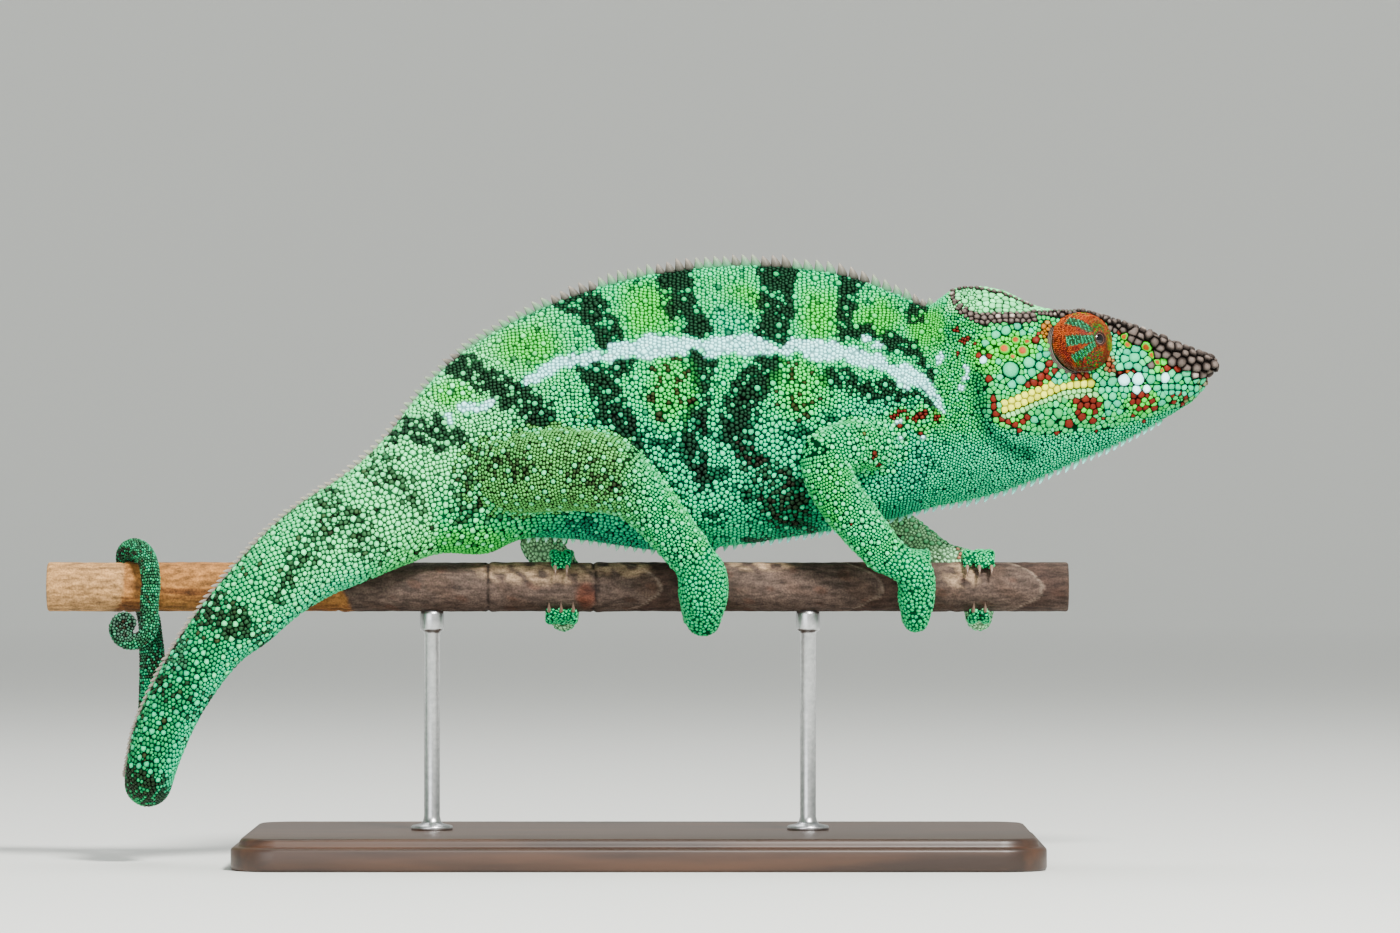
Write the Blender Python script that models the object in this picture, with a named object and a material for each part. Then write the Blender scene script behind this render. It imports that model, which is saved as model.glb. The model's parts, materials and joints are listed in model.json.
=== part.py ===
"""A male panther chameleon gripping a cut length of cane, on a plain display stand.

Blender 4.5, metres, +Z up. The animal faces +X and its right side faces -Y. The origin is the
middle of the stand's underside. Every size below is in millimetres and MM turns it into metres.
The body is one loft of named sections from snout to tail tip, parted by thin cuts. Limbs are
tubes along smooth paths, and toes are arcs that wrap round the cane.
"""

import math

import bmesh
import bpy
import numpy as np
from mathutils import Matrix, Vector

MM = 0.001
GAP = 0.3  # the clear space between neighbouring solids

# Stand and perch.
PERCH_RADIUS = 6.2
PERCH_AXIS_Z = 68.8
PERCH_ENDS = (-148.0, 107.0)
PERCH_SIDES = 18
BASE_LENGTH, BASE_DEPTH, BASE_HEIGHT = 200.0, 104.0, 8.0
BASE_CORNER, BASE_BEVEL = 12.0, 1.0
ROD_RADIUS, ROD_PLACES = 2.0, {"front": 42.0, "rear": -52.0}

# How finely the lofts are faceted.
BODY_SIDES = 18
LIMB_SIDES = 8
BUNDLE_STEPS = 5
CAP_STEPS = 1

# Half outlines of a section, from the crown to the keel: (height share, half width share).
TRUNK = ((1.00, 0.0), (0.95, 0.15), (0.76, 0.56), (0.44, 1.0), (0.17, 0.86), (0.04, 0.42), (0.0, 0.0))
ROUND = ((1.00, 0.0), (0.94, 0.36), (0.76, 0.80), (0.48, 1.0), (0.22, 0.86), (0.06, 0.44), (0.0, 0.0))

# Sections from the snout to the tail: top (x, z), bottom (x, z), sideways shift, half width, outline.
# Head outlines name crown, crest, upper side, cheek, lip, jaw and keel.
HEAD_SECTIONS = {
    "snout_end": ((141.2, 121.8), (140.6, 118.0), 0.0, 2.5,
                  ((1.0, 0.0), (0.96, 0.6), (0.8, 0.9), (0.6, 1.0), (0.36, 1.0), (0.12, 0.7), (0.0, 0.0))),
    "lip_front": ((137.5, 126.2), (137.2, 114.2), 0.0, 5.2,
                  ((1.0, 0.0), (1.05, 0.72), (0.93, 0.92), (0.72, 0.95), (0.43, 1.0), (0.2, 0.78), (0.0, 0.0))),
    "nostril": ((127.5, 130.2), (126.6, 108.0), 0.0, 8.0,
                ((1.0, 0.0), (1.04, 0.74), (0.92, 0.86), (0.76, 0.92), (0.52, 1.0), (0.28, 0.8), (0.0, 0.0))),
    "brow_front": ((119.5, 134.2), (118.0, 103.6), 0.0, 9.9,
                   ((1.0, 0.0), (1.03, 0.68), (0.91, 0.80), (0.73, 0.88), (0.51, 1.0), (0.29, 0.82), (0.0, 0.0))),
    "eye": ((111.0, 137.0), (109.0, 99.8), 0.0, 11.2,
            ((1.0, 0.0), (1.02, 0.62), (0.91, 0.80), (0.75, 0.92), (0.50, 1.0), (0.29, 0.80), (0.0, 0.0))),
    "temple": ((100.0, 138.8), (96.0, 94.2), 0.0, 14.0,
               ((1.0, 0.0), (0.965, 0.56), (0.87, 0.78), (0.67, 0.97), (0.42, 1.0), (0.23, 0.76), (0.0, 0.0))),
    "casque": ((90.0, 143.3), (84.0, 90.5), 0.0, 15.2,
               ((1.0, 0.0), (0.86, 0.60), (0.76, 0.76), (0.56, 0.98), (0.33, 0.97), (0.15, 0.70), (0.0, 0.0))),
    "casque_back": ((79.5, 144.0), (73.5, 88.5), 0.0, 14.4,
                    ((1.0, 0.0), (0.90, 0.40), (0.78, 0.58), (0.54, 0.94), (0.30, 1.0), (0.12, 0.68), (0.0, 0.0))),
    "nape": ((72.0, 139.6), (65.0, 86.0), 0.0, 13.6,
             ((1.0, 0.0), (0.94, 0.20), (0.79, 0.54), (0.52, 0.94), (0.28, 1.0), (0.10, 0.62), (0.0, 0.0))),
}
TRUNK_SECTIONS = {
    "neck": ((65.0, 142.2), (58.0, 84.4), 0.0, 13.8, TRUNK),
    "shoulder": ((52.5, 146.8), (48.8, 82.8), 0.0, 15.2, TRUNK),
    "chest": ((38.8, 149.0), (38.8, 81.2), 0.0, 17.0, TRUNK),
    "ribs": ((26.2, 149.6), (27.5, 79.4), 0.0, 18.0, TRUNK),
    "flank": ((13.8, 148.9), (15.0, 78.2), 0.0, 18.4, TRUNK),
    "belly": ((1.2, 147.0), (3.8, 77.8), 0.0, 18.2, TRUNK),
    "waist": ((-11.2, 143.8), (-7.0, 79.2), -0.4, 17.2, TRUNK),
    "loin": ((-23.8, 139.2), (-18.0, 80.6), -1.2, 15.6, TRUNK),
    "hip": ((-35.8, 133.2), (-29.0, 80.6), -2.4, 14.2, TRUNK),
    "rump": ((-46.2, 126.2), (-38.5, 76.8), -4.2, 13.2, TRUNK),
    "vent": ((-55.5, 116.4), (-49.5, 76.9), -6.4, 12.6, ROUND),
}
TAIL_SECTIONS = {
    "tail_1": ((-63.8, 105.6), (-58.6, 74.0), -9.8, 11.6, ROUND),
    "tail_2": ((-73.4, 97.0), (-66.8, 70.6), -13.0, 10.6, ROUND),
    "tail_3": ((-84.8, 89.6), (-75.9, 66.9), -15.4, 9.6, ROUND),
    "tail_4": ((-94.7, 80.8), (-84.0, 62.0), -16.6, 9.0, ROUND),
    "tail_5": ((-103.6, 70.8), (-92.2, 55.0), -17.0, 8.3, ROUND),
    "tail_6": ((-111.6, 60.6), (-99.4, 49.6), -16.8, 7.6, ROUND),
    "tail_7": ((-119.3, 48.2), (-106.8, 39.8), -16.0, 7.1, ROUND),
    "tail_8": ((-125.2, 35.6), (-111.4, 31.4), -14.4, 6.7, ROUND),
}
# The end of the tail: (x, y, z, radius) down, round the bend, up behind the cane and over it.
TAIL_BEND = (
    (-120.9, -12.2, 25.6, 6.6),
    (-122.2, -8.0, 21.2, 6.3),
    (-122.8, -2.6, 19.7, 6.0),
    (-122.6, 3.0, 21.6, 5.6),
    (-122.2, 7.2, 27.2, 5.2),
    (-122.0, 9.0, 35.0, 4.6),
    (-122.3, 10.0, 44.0, 4.0),
    (-122.8, 10.4, 53.0, 3.5),
    (-123.6, 10.2, 61.0, 3.2),
)
HOOK_STEPS = 9
HOOK_X = (-126.2, -128.4, -128.9, -127.6, -125.2, -123.2, -122.0, -121.6, -122.1)
HOOK_ANGLES = (0.0, 202.0)  # round the cane, from behind it over the top to the front
HOOK_RADII = (3.1, 2.75)
CURL_CENTRE = (-128.6, 58.6)
CURL_TURN = (12.0, -385.0)
CURL_RADII = (6.2, 1.3)
CURL_THICKNESS = (2.55, 0.95)
CURL_Y = (-9.4, -7.6)
CURL_STEPS = 16

# Rostral ridge on each side of the snout: (x, half distance, z, radius).
RIDGE = ((116.5, 7.4, 134.6, 1.3), (122.0, 6.8, 132.4, 1.9), (128.5, 5.8, 129.5, 2.4),
         (134.5, 4.4, 126.6, 2.8), (139.6, 2.9, 124.6, 2.8), (143.2, 1.4, 124.2, 2.2))
EYE_CENTRE, EYE_RADIUS = (110.0, 7.9, 129.9), 8.1
EYE_GAZE = (0.44, 0.89, 0.05)
EYE_RINGS = (108, 88, 68, 49, 31)  # degrees from the gaze to each ring of the turret
EYE_SIDES = 16
APERTURE_RADIUS = 2.6

# The mouth line from the snout to its corner, and the line under the casque.
MOUTH_LINE = ((146.0, 119.0), (127.0, 119.5), (111.5, 119.0), (103.5, 117.2), (90.0, 113.4))
THROAT_END = (86.0, 84.0)
CASQUE_LINE = ((106.0, 137.6), (96.0, 134.0), (86.0, 133.2), (75.0, 136.6))

# Limbs: centre (x, y, z) and radius along the upper limb, then along the lower one to the wrist.
LIMBS = {
    "fore_right": (
        ((63.0, -6.0, 104.5, 7.2), (57.0, -12.0, 104.2, 6.9), (50.5, -16.6, 103.6, 6.5), (45.4, -18.8, 101.0, 6.3)),
        ((45.6, -18.8, 101.4, 6.0), (46.6, -18.8, 96.6, 6.3), (50.0, -17.8, 90.6, 6.3), (54.6, -16.2, 84.6, 6.1),
         (61.2, -14.0, 76.8, 5.3)),
    ),
    "fore_left": (
        ((63.0, 6.0, 102.0, 7.0), (59.0, 12.4, 100.6, 6.8), (55.0, 17.4, 97.2, 6.3), (53.4, 19.4, 93.4, 5.9)),
        ((53.2, 19.4, 93.6, 5.5), (59.0, 18.6, 88.4, 5.4), (66.1, 16.8, 82.8, 4.9), (74.4, 14.0, 76.6, 4.6)),
    ),
    "hind_right": (
        ((-44.0, -6.0, 96.0, 9.6), (-33.0, -11.6, 97.0, 10.4), (-21.0, -15.6, 98.0, 10.6), (-11.0, -18.0, 97.6, 10.2),
         (-4.6, -18.8, 95.6, 9.2)),
        ((-5.2, -18.8, 96.2, 8.0), (-1.0, -18.8, 92.4, 7.6), (3.0, -18.2, 88.4, 6.8), (8.0, -16.6, 82.6, 6.3),
         (12.6, -14.4, 77.0, 6.0)),
    ),
    "hind_left": (
        ((-42.0, 4.0, 95.0, 9.2), (-33.0, 10.4, 97.0, 9.8), (-24.0, 16.0, 98.4, 9.4), (-17.0, 19.8, 97.4, 8.2)),
        ((-16.6, 20.2, 97.6, 6.9), (-18.4, 19.2, 91.6, 6.6), (-22.0, 17.2, 85.4, 6.2), (-25.4, 14.6, 79.0, 5.6)),
    ),
}
# Feet: x of the grip, side of the cane, half width, toes above and below.
FEET = {
    "fore_right": (68.4, -1.0, 5.0, 3, 2),
    "fore_left": (84.6, 1.0, 4.8, 3, 2),
    "hind_right": (15.4, -1.0, 6.5, 2, 3),
    "hind_left": (-19.6, 1.0, 5.0, 2, 3),
}
PALM_THICKNESS = 6.0
PALM_HEIGHT = 8.6
TOE_RADIUS = 1.75
TOE_ARC = {"above": 52.0, "below": 46.0}  # how far past the cane's far side line a bundle reaches
CLAW_LENGTH, CLAW_RADIUS = 4.0, 0.7

# Spines along the back and under the throat, as (first, last section, count, height, base half width).
BACK_SPINES = {
    "neck": ("nape", "shoulder", 7, 1.8),
    "chest": ("shoulder", "flank", 11, 2.3),
    "belly": ("flank", "loin", 12, 2.3),
    "pelvis": ("loin", "vent", 12, 1.7),
    "tail_base": ("vent", "tail_3", 12, 1.4),
    "tail_middle": ("tail_3", "tail_7", 14, 1.2),
}
SPINE_HALF_WIDTH = 0.75
SPINE_LEAN = 0.35

COLOURS = {
    "skin": ((0.06, 0.38, 0.20), 0.5, 0.0),
    "casque": ((0.20, 0.30, 0.24), 0.5, 0.0),
    "eye": ((0.42, 0.14, 0.04), 0.45, 0.0),
    "cane": ((0.30, 0.21, 0.15), 0.8, 0.0),
    "stand_wood": ((0.06, 0.035, 0.022), 0.4, 0.0),
    "stand_steel": ((0.55, 0.56, 0.58), 0.3, 1.0),
}


def clear_scene():
    """Remove every object that the file opened with."""
    for obj in list(bpy.data.objects):
        bpy.data.objects.remove(obj)


def make_materials():
    """One Principled material for each finish in COLOURS."""
    made = {}
    for name, (colour, roughness, metallic) in COLOURS.items():
        material = bpy.data.materials.new(name)
        material.use_nodes = True
        shader = material.node_tree.nodes["Principled BSDF"]
        shader.inputs["Base Color"].default_value = (*colour, 1.0)
        shader.inputs["Roughness"].default_value = roughness
        shader.inputs["Metallic"].default_value = metallic
        made[name] = material
    return made


def add_object(name, mesh):
    """Link a mesh into the scene as a named object."""
    obj = bpy.data.objects.new(name, mesh)
    bpy.context.scene.collection.objects.link(obj)
    return obj


def catmull(keys, at):
    """Read a smooth curve through the rows of keys at positions counted in rows."""
    keys = np.asarray(keys, float)
    at = np.clip(np.asarray(at, float), 0, len(keys) - 1)
    i = np.minimum(at.astype(int), len(keys) - 2)
    f = (at - i).reshape((-1,) + (1,) * (keys.ndim - 1))
    padded = np.concatenate([[2 * keys[0] - keys[1]], keys, [2 * keys[-1] - keys[-2]]])
    a, b, c, d = (padded[i + k] for k in range(4))
    return 0.5 * (2 * b + (c - a) * f + (2 * a - 5 * b + 4 * c - d) * f**2 + (3 * b - a - 3 * c + d) * f**3)


def tail_end_path():
    """The last stretch of tail as rows of x, y, z, radius: bend, hook over the cane, flat curl."""
    share = np.linspace(0, 1, HOOK_STEPS)
    angle = np.radians(HOOK_ANGLES[0] + (HOOK_ANGLES[1] - HOOK_ANGLES[0]) * share)
    thick = HOOK_RADII[0] + (HOOK_RADII[1] - HOOK_RADII[0]) * share
    reach = PERCH_RADIUS + GAP + 0.15 + thick
    hook = np.column_stack([HOOK_X, reach * np.cos(angle), PERCH_AXIS_Z + reach * np.sin(angle), thick])
    share = np.linspace(0, 1, CURL_STEPS)
    turn = np.radians(CURL_TURN[0] + (CURL_TURN[1] - CURL_TURN[0]) * share)
    swing = CURL_RADII[1] + (CURL_RADII[0] - CURL_RADII[1]) * (1 - share) ** 1.6
    curl = np.column_stack([
        CURL_CENTRE[0] + swing * np.cos(turn),
        CURL_Y[0] + (CURL_Y[1] - CURL_Y[0]) * share,
        CURL_CENTRE[1] + swing * np.sin(turn),
        CURL_THICKNESS[0] + (CURL_THICKNESS[1] - CURL_THICKNESS[0]) * share,
    ])
    return np.vstack([TAIL_BEND, hook, curl[1:]])


def carried_frames(points, up):
    """Up and side directions carried along a path without twisting, from a first up direction."""
    tangents = np.gradient(points, axis=0)
    tangents /= np.linalg.norm(tangents, axis=1)[:, None]
    ups = []
    for tangent in tangents:
        up = up - tangent * np.dot(up, tangent)
        up = up / np.linalg.norm(up)
        ups.append(up)
    ups = np.array(ups)
    return ups, np.cross(tangents, ups)


class Loft:
    """Sections along a body: a centre, an up and a side vector, and a half outline for each."""

    def __init__(self, centres, ups, sides, outlines, names=None):
        self.centres, self.ups = np.asarray(centres, float), np.asarray(ups, float)
        self.sides, self.outlines = np.asarray(sides, float), np.asarray(outlines, float)
        self.index = {name: i for i, name in enumerate(names or [])}

    @classmethod
    def tube(cls, rows, up=(0.0, 0.0, 1.0), widths=None):
        """A tube along rows of x, y, z, radius, round unless widths gives other half widths."""
        rows = np.asarray(rows, float)
        ups, sides = carried_frames(rows[:, :3], np.asarray(up, float))
        wide = rows[:, 3] if widths is None else widths
        return cls(rows[:, :3], ups * rows[:, 3:], sides * wide[:, None], [circle_outline()] * len(rows))

    def rings(self, at, sides, grow=0.0):
        """The rings of points at positions counted in sections, each point moved out by grow."""
        centre, up, side = (catmull(k, at) for k in (self.centres, self.ups, self.sides))
        outline = catmull(self.outlines, at)
        half = half_outline(outline, sides // 2 + 1)
        whole = np.concatenate([half, half[:, -2:0:-1] * [1.0, -1.0]], axis=1)
        up_length = np.linalg.norm(up, axis=1)[:, None]
        side_length = np.linalg.norm(side, axis=1)[:, None]
        height = (2 * whole[:, :, 0] - 1) * (1 + grow / up_length)
        width = whole[:, :, 1] * (1 + grow / side_length)
        return centre[:, None] + up[:, None] * height[..., None] + side[:, None] * width[..., None]

    def solid(self, name, first, last, steps, sides, grow=0.0, round_ends=(False, False)):
        """A closed mesh object of the loft between two positions."""
        at = np.linspace(first, last, steps + 1)
        rings = list(self.rings(at, sides, grow))
        if round_ends[0]:
            rings = rounded_cap(rings[0], rings[1])[::-1] + rings
        if round_ends[1]:
            rings = rings + rounded_cap(rings[-1], rings[-2])
        return ring_solid(name, rings)

    def line(self, at, height, grow=0.0):
        """Points on the middle plane at positions along the loft, at a share of the height."""
        centre, up = catmull(self.centres, at), catmull(self.ups, at)
        length = np.linalg.norm(up, axis=1)[:, None]
        return centre + up * (2 * height - 1) + up / length * grow


def circle_outline():
    """A half circle as seven (height share, half width share) points."""
    angle = np.linspace(0, math.pi, 7)
    return np.column_stack([(1 + np.cos(angle)) / 2, np.sin(angle)])


def half_outline(outline, count):
    """Smooth half outlines of count points through each section's seven, level at crown and keel."""
    mirrored = np.concatenate([outline[:, 1:2] * [1, -1], outline, outline[:, -2:-1] * [1, -1]], axis=1)
    rows = np.swapaxes(mirrored, 0, 1)
    return np.swapaxes(catmull(rows, np.linspace(1, len(rows) - 2, count)), 0, 1)


def rounded_cap(edge, before, steps=CAP_STEPS):
    """Rings that close an open end in a dome, from the last ring outwards."""
    middle = edge.mean(axis=0)
    ahead = middle - before.mean(axis=0)
    ahead /= np.linalg.norm(ahead)
    reach = 0.8 * np.linalg.norm(edge - middle, axis=1).min()
    found = []
    for k in range(1, steps + 1):
        angle = k * math.pi / 2 / (steps + 0.6)
        found.append(middle + (edge - middle) * math.cos(angle) + ahead * reach * math.sin(angle))
    return found


def ring_solid(name, rings):
    """A closed mesh object from rings of points, with flat ends."""
    count = len(rings[0])
    points = np.concatenate(rings) * MM
    faces = [
        (r * count + i, r * count + (i + 1) % count, (r + 1) * count + (i + 1) % count, (r + 1) * count + i)
        for r in range(len(rings) - 1)
        for i in range(count)
    ]
    last = (len(rings) - 1) * count
    faces += [tuple(range(count))[::-1], tuple(range(last, last + count))]
    mesh = bpy.data.meshes.new(name)
    mesh.from_pydata(points.tolist(), [], faces)
    face_outwards(mesh)
    return add_object(name, mesh)


def face_outwards(mesh):
    """Turn every face of a closed mesh to point out."""
    shape = bmesh.new()
    shape.from_mesh(mesh)
    bmesh.ops.recalc_face_normals(shape, faces=shape.faces)
    shape.to_mesh(mesh)
    shape.free()


def combine(target, others, operation="DIFFERENCE"):
    """Apply a Boolean with each of the others to target, and remove them."""
    for other in others:
        modifier = target.modifiers.new(operation.title(), "BOOLEAN")
        modifier.operation, modifier.solver, modifier.object = operation, "EXACT", other
    graph = bpy.context.evaluated_depsgraph_get()
    mesh = bpy.data.meshes.new_from_object(target.evaluated_get(graph))
    target.modifiers.clear()
    target.data = mesh
    drop_chips(mesh)
    for other in others:
        bpy.data.objects.remove(other)
    return target


def drop_chips(mesh):
    """Keep only the largest body of a mesh, so that a cut leaves no loose chip."""
    shape = bmesh.new()
    shape.from_mesh(mesh)
    waiting, bodies = set(shape.verts), []
    while waiting:
        body, edge = set(), {waiting.pop()}
        while edge:
            body |= edge
            edge = {e.other_vert(v) for v in edge for e in v.link_edges} - body
        waiting -= body
        bodies.append(body)
    chips = set().union(*sorted(bodies, key=len)[:-1])
    bmesh.ops.delete(shape, geom=list(chips), context="VERTS")
    shape.to_mesh(mesh)
    shape.free()


def prism(name, outline, depth=60.0):
    """A prism through the body: an outline in the x, z plane carried from -depth to depth in y."""
    rings = [np.array([(x, y, z) for x, z in outline]) for y in (-depth, depth)]
    return ring_solid(name, rings)


def body_loft():
    """The whole body from the snout to the tip of the tail."""
    sections = {**HEAD_SECTIONS, **TRUNK_SECTIONS, **TAIL_SECTIONS}
    centres, ups, sides, outlines = [], [], [], []
    for top, bottom, shift, half_width, outline in sections.values():
        centres.append(((top[0] + bottom[0]) / 2, shift, (top[1] + bottom[1]) / 2))
        ups.append(((top[0] - bottom[0]) / 2, 0.0, (top[1] - bottom[1]) / 2))
        sides.append((0.0, half_width, 0.0))
        outlines.append(outline)
    rows = tail_end_path()
    tail_ups, tail_sides = carried_frames(rows[:, :3], np.array(ups[-1]) / np.linalg.norm(ups[-1]))
    thin = min(1.0, float(np.dot(tail_sides[0], (0.0, 1.0, 0.0))))
    tail_sides = tail_sides * math.copysign(1.0, thin)
    centres = np.vstack([centres, rows[:, :3]])
    ups = np.vstack([ups, tail_ups * rows[:, 3:]])
    sides = np.vstack([sides, tail_sides * rows[:, 3:]])
    outlines = np.array([np.array(o) for o in outlines] + [circle_outline()] * len(rows))
    names = list(sections) + ["bend_%d" % i for i in range(len(TAIL_BEND))]
    names += ["hook_%d" % i for i in range(HOOK_STEPS)] + ["curl_%d" % i for i in range(1, CURL_STEPS)]
    return Loft(centres, ups, sides, outlines, names)


def span(loft, first, last, gap=GAP):
    """The positions of two named sections, pulled in by half a gap at each end."""
    a, b = loft.index[first], loft.index[last]
    step_a = np.linalg.norm(loft.centres[min(a + 1, len(loft.centres) - 1)] - loft.centres[a])
    step_b = np.linalg.norm(loft.centres[b] - loft.centres[b - 1])
    return a + gap / 2 / step_a, b - gap / 2 / step_b


def spine_row(name, loft, first, last, count, height):
    """A saw-toothed ridge on the back between two sections, rooted inside the body."""
    start, end = span(loft, first, last, 2.2)
    at = np.linspace(start, end, 2 * count + 1)
    roots = loft.line(at, 1.0, -1.6)
    backs = loft.line(at, 1.0, 0.1)
    along = np.gradient(backs, axis=0)
    along /= np.linalg.norm(along, axis=1)[:, None]
    tall = np.where(np.arange(len(at)) % 2 == 1, height, 0.0)[:, None]
    outwards = catmull(loft.ups, at)
    outwards /= np.linalg.norm(outwards, axis=1)[:, None]
    tips = backs + outwards * tall + along * tall * SPINE_LEAN
    aside = np.array([0.0, SPINE_HALF_WIDTH, 0.0])
    rings = [np.array([tip, root + aside, root - aside]) for tip, root in zip(tips, roots)]
    return ring_solid(name, rings)


def build_body(loft):
    """Head, jaw, casque, neck, trunk and tail lengths, each a closed solid of its own."""
    nodes = {}
    start, end = 0.0, span(loft, "snout_end", "nape")[1]
    skull = loft.solid("skull", start, end, 14, BODY_SIDES, round_ends=(True, False))
    ridges = [
        Loft.tube([(x, side * y, z, r) for x, y, z, r in RIDGE]).solid(
            "ridge", 0, len(RIDGE) - 1, 5, 6, round_ends=(False, True))
        for side in (-1.0, 1.0)
    ]
    combine(skull, ridges, "UNION")
    below_mouth = [*MOUTH_LINE, THROAT_END, (150.0, THROAT_END[1] - 4.0)]
    above_casque = [*CASQUE_LINE, (66.0, 139.6), (66.0, 150.0), (108.0, 150.0)]
    jaw, casque = (add_object(n, skull.data.copy()) for n in ("lower_jaw", "casque"))
    combine(jaw, [prism("mouth", below_mouth)], "INTERSECT")
    combine(casque, [prism("crown", above_casque)], "INTERSECT")
    combine(skull, [prism("mouth", offset_outline(below_mouth, GAP)),
                    prism("crown", offset_outline(above_casque, GAP))])
    skull.name = "head"
    nodes.update({"head": skull, "lower_jaw": jaw, "casque": casque})
    for name, (first, last, steps) in {
        "neck": ("nape", "shoulder", 4), "chest": ("shoulder", "flank", 5),
        "belly": ("flank", "loin", 5), "pelvis": ("loin", "vent", 5),
        "tail_base": ("vent", "tail_3", 5), "tail_middle": ("tail_3", "tail_7", 5),
        "tail_bend": ("tail_7", "bend_6", 10), "tail_hook": ("bend_6", "curl_1", 14),
    }.items():
        sides = BODY_SIDES if steps < 8 else 12 if steps < 12 else 8
        nodes[name] = loft.solid(name, *span(loft, first, last), steps, sides)
    nodes["tail_curl"] = loft.solid("tail_curl", span(loft, "curl_1", "curl_2")[0],
                                    len(loft.centres) - 1, 18, 8, round_ends=(False, True))
    for name, (first, last, count, height) in BACK_SPINES.items():
        combine(nodes[name], [spine_row("spines", loft, first, last, count, height)], "UNION")
    return nodes


def offset_outline(outline, by):
    """A closed outline in the plane moved outwards by a distance, corner by corner."""
    points = np.array(outline, float)
    area = 0.5 * np.sum(points[:, 0] * np.roll(points[:, 1], -1) - np.roll(points[:, 0], -1) * points[:, 1])
    before = points - np.roll(points, 1, axis=0)
    after = np.roll(points, -1, axis=0) - points
    normals = [np.column_stack([e[:, 1], -e[:, 0]]) / np.linalg.norm(e, axis=1)[:, None] for e in (before, after)]
    middle = normals[0] + normals[1]
    middle /= (1 + (normals[0] * normals[1]).sum(axis=1))[:, None]
    return (points + middle * by * math.copysign(1.0, area)).tolist()


def build_eye(name, side, grow=0.0):
    """An eye turret: a ball set in the head, its skin raised to a ring round the pupil."""
    centre = Vector((EYE_CENTRE[0], side * EYE_CENTRE[1], EYE_CENTRE[2]))
    gaze = Vector((EYE_GAZE[0], side * EYE_GAZE[1], EYE_GAZE[2])).normalized()
    radius = EYE_RADIUS + grow
    profile = [(radius * math.sin(a), radius * math.cos(a)) for a in np.radians(EYE_RINGS)]
    profile[0] = (profile[0][0], profile[0][1] - grow)
    profile += [(APERTURE_RADIUS + grow, radius + 0.55), (APERTURE_RADIUS * 0.55, radius + 0.35)]
    across = gaze.cross(Vector((0, 0, 1))).normalized()
    upright = across.cross(gaze)
    turns = np.linspace(0, 2 * math.pi, EYE_SIDES, endpoint=False)
    rings = [
        np.array([centre + gaze * along + (across * math.cos(t) + upright * math.sin(t)) * wide for t in turns])
        for wide, along in profile
    ]
    return ring_solid(name, rings)


def perch_cutter(grow):
    """The cane as a plain round bar, moved out by grow."""
    rows = [(x, 0.0, PERCH_AXIS_Z, PERCH_RADIUS + grow) for x in PERCH_ENDS]
    return Loft.tube(rows).solid("cane_cutter", 0, 1, 1, PERCH_SIDES)


def bundle_rows(foot, above):
    """Centre, thickness and half width along a bundle of fused toes: an arc round the cane."""
    grip_x, side, half_width, upper, lower = FEET[foot]
    reach = PERCH_RADIUS + GAP + 0.1 + TOE_RADIUS
    angles = np.radians(np.linspace(8.0, 90.0 + TOE_ARC["above" if above else "below"], BUNDLE_STEPS))
    share = np.linspace(0, 1, BUNDLE_STEPS)
    rise = 1.0 if above else -1.0
    wide = TOE_RADIUS * (0.15 + 0.92 * (upper if above else lower))
    return np.column_stack([
        np.full(len(share), grip_x),
        side * reach * np.cos(angles),
        PERCH_AXIS_Z + rise * reach * np.sin(angles),
        TOE_RADIUS * (1.1 - 0.3 * share),
        half_width + (wide - half_width) * share,
    ])


def build_foot(name, ankle):
    """A gripping foot: a palm on one side of the cane, with a bundle of toes above and below it."""
    grip_x, side, half_width, upper, lower = FEET[name]
    palm_rows = [
        (*ankle[:3], ankle[3] * 0.9),
        (grip_x, side * (PERCH_RADIUS + 6.4), PERCH_AXIS_Z + 3.6, half_width * 0.98),
        (grip_x + 0.4, side * (PERCH_RADIUS + PALM_THICKNESS * 0.52), PERCH_AXIS_Z - 2.0, half_width),
        (grip_x + 0.4, side * (PERCH_RADIUS - 0.4), PERCH_AXIS_Z - PALM_HEIGHT, half_width * 0.72),
    ]
    foot = Loft.tube(palm_rows, (0.0, side, 0.0)).solid(name, 0, 3, 5, LIMB_SIDES, round_ends=(False, True))
    pieces = []
    for above, count in ((True, upper), (False, lower)):
        rows = bundle_rows(name, above)
        bundle = Loft.tube(rows[:, :4], (0.0, side, 0.0), rows[:, 4])
        pieces.append(bundle.solid("bundle", 0, BUNDLE_STEPS - 1, BUNDLE_STEPS, LIMB_SIDES, round_ends=(False, True)))
        pieces += [build_claw(rows, (k - (count - 1) / 2) * TOE_RADIUS * 1.8) for k in range(count)]
    combine(foot, pieces, "UNION")
    return combine(foot, [perch_cutter(GAP)])


def build_claw(bundle, aside):
    """A short cone that carries on a bundle's arc at the tip of one toe."""
    tip, before = Vector(bundle[-1][:3]), Vector(bundle[-2][:3])
    ahead = (tip - before).normalized()
    out = Vector((0.0, tip.y, tip.z - PERCH_AXIS_Z)).normalized()
    start = tip + Vector((aside, 0.0, 0.0)) - ahead * 0.2
    along = (ahead + out * 0.08).normalized() * CLAW_LENGTH
    rows = [(*(start + along * s), CLAW_RADIUS * r) for s, r in ((0.0, 1.0), (0.6, 0.75), (1.0, 0.35))]
    return Loft.tube(rows, (1.0, 0.0, 0.0)).solid("claw", 0, 2, 1, 4)


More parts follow.
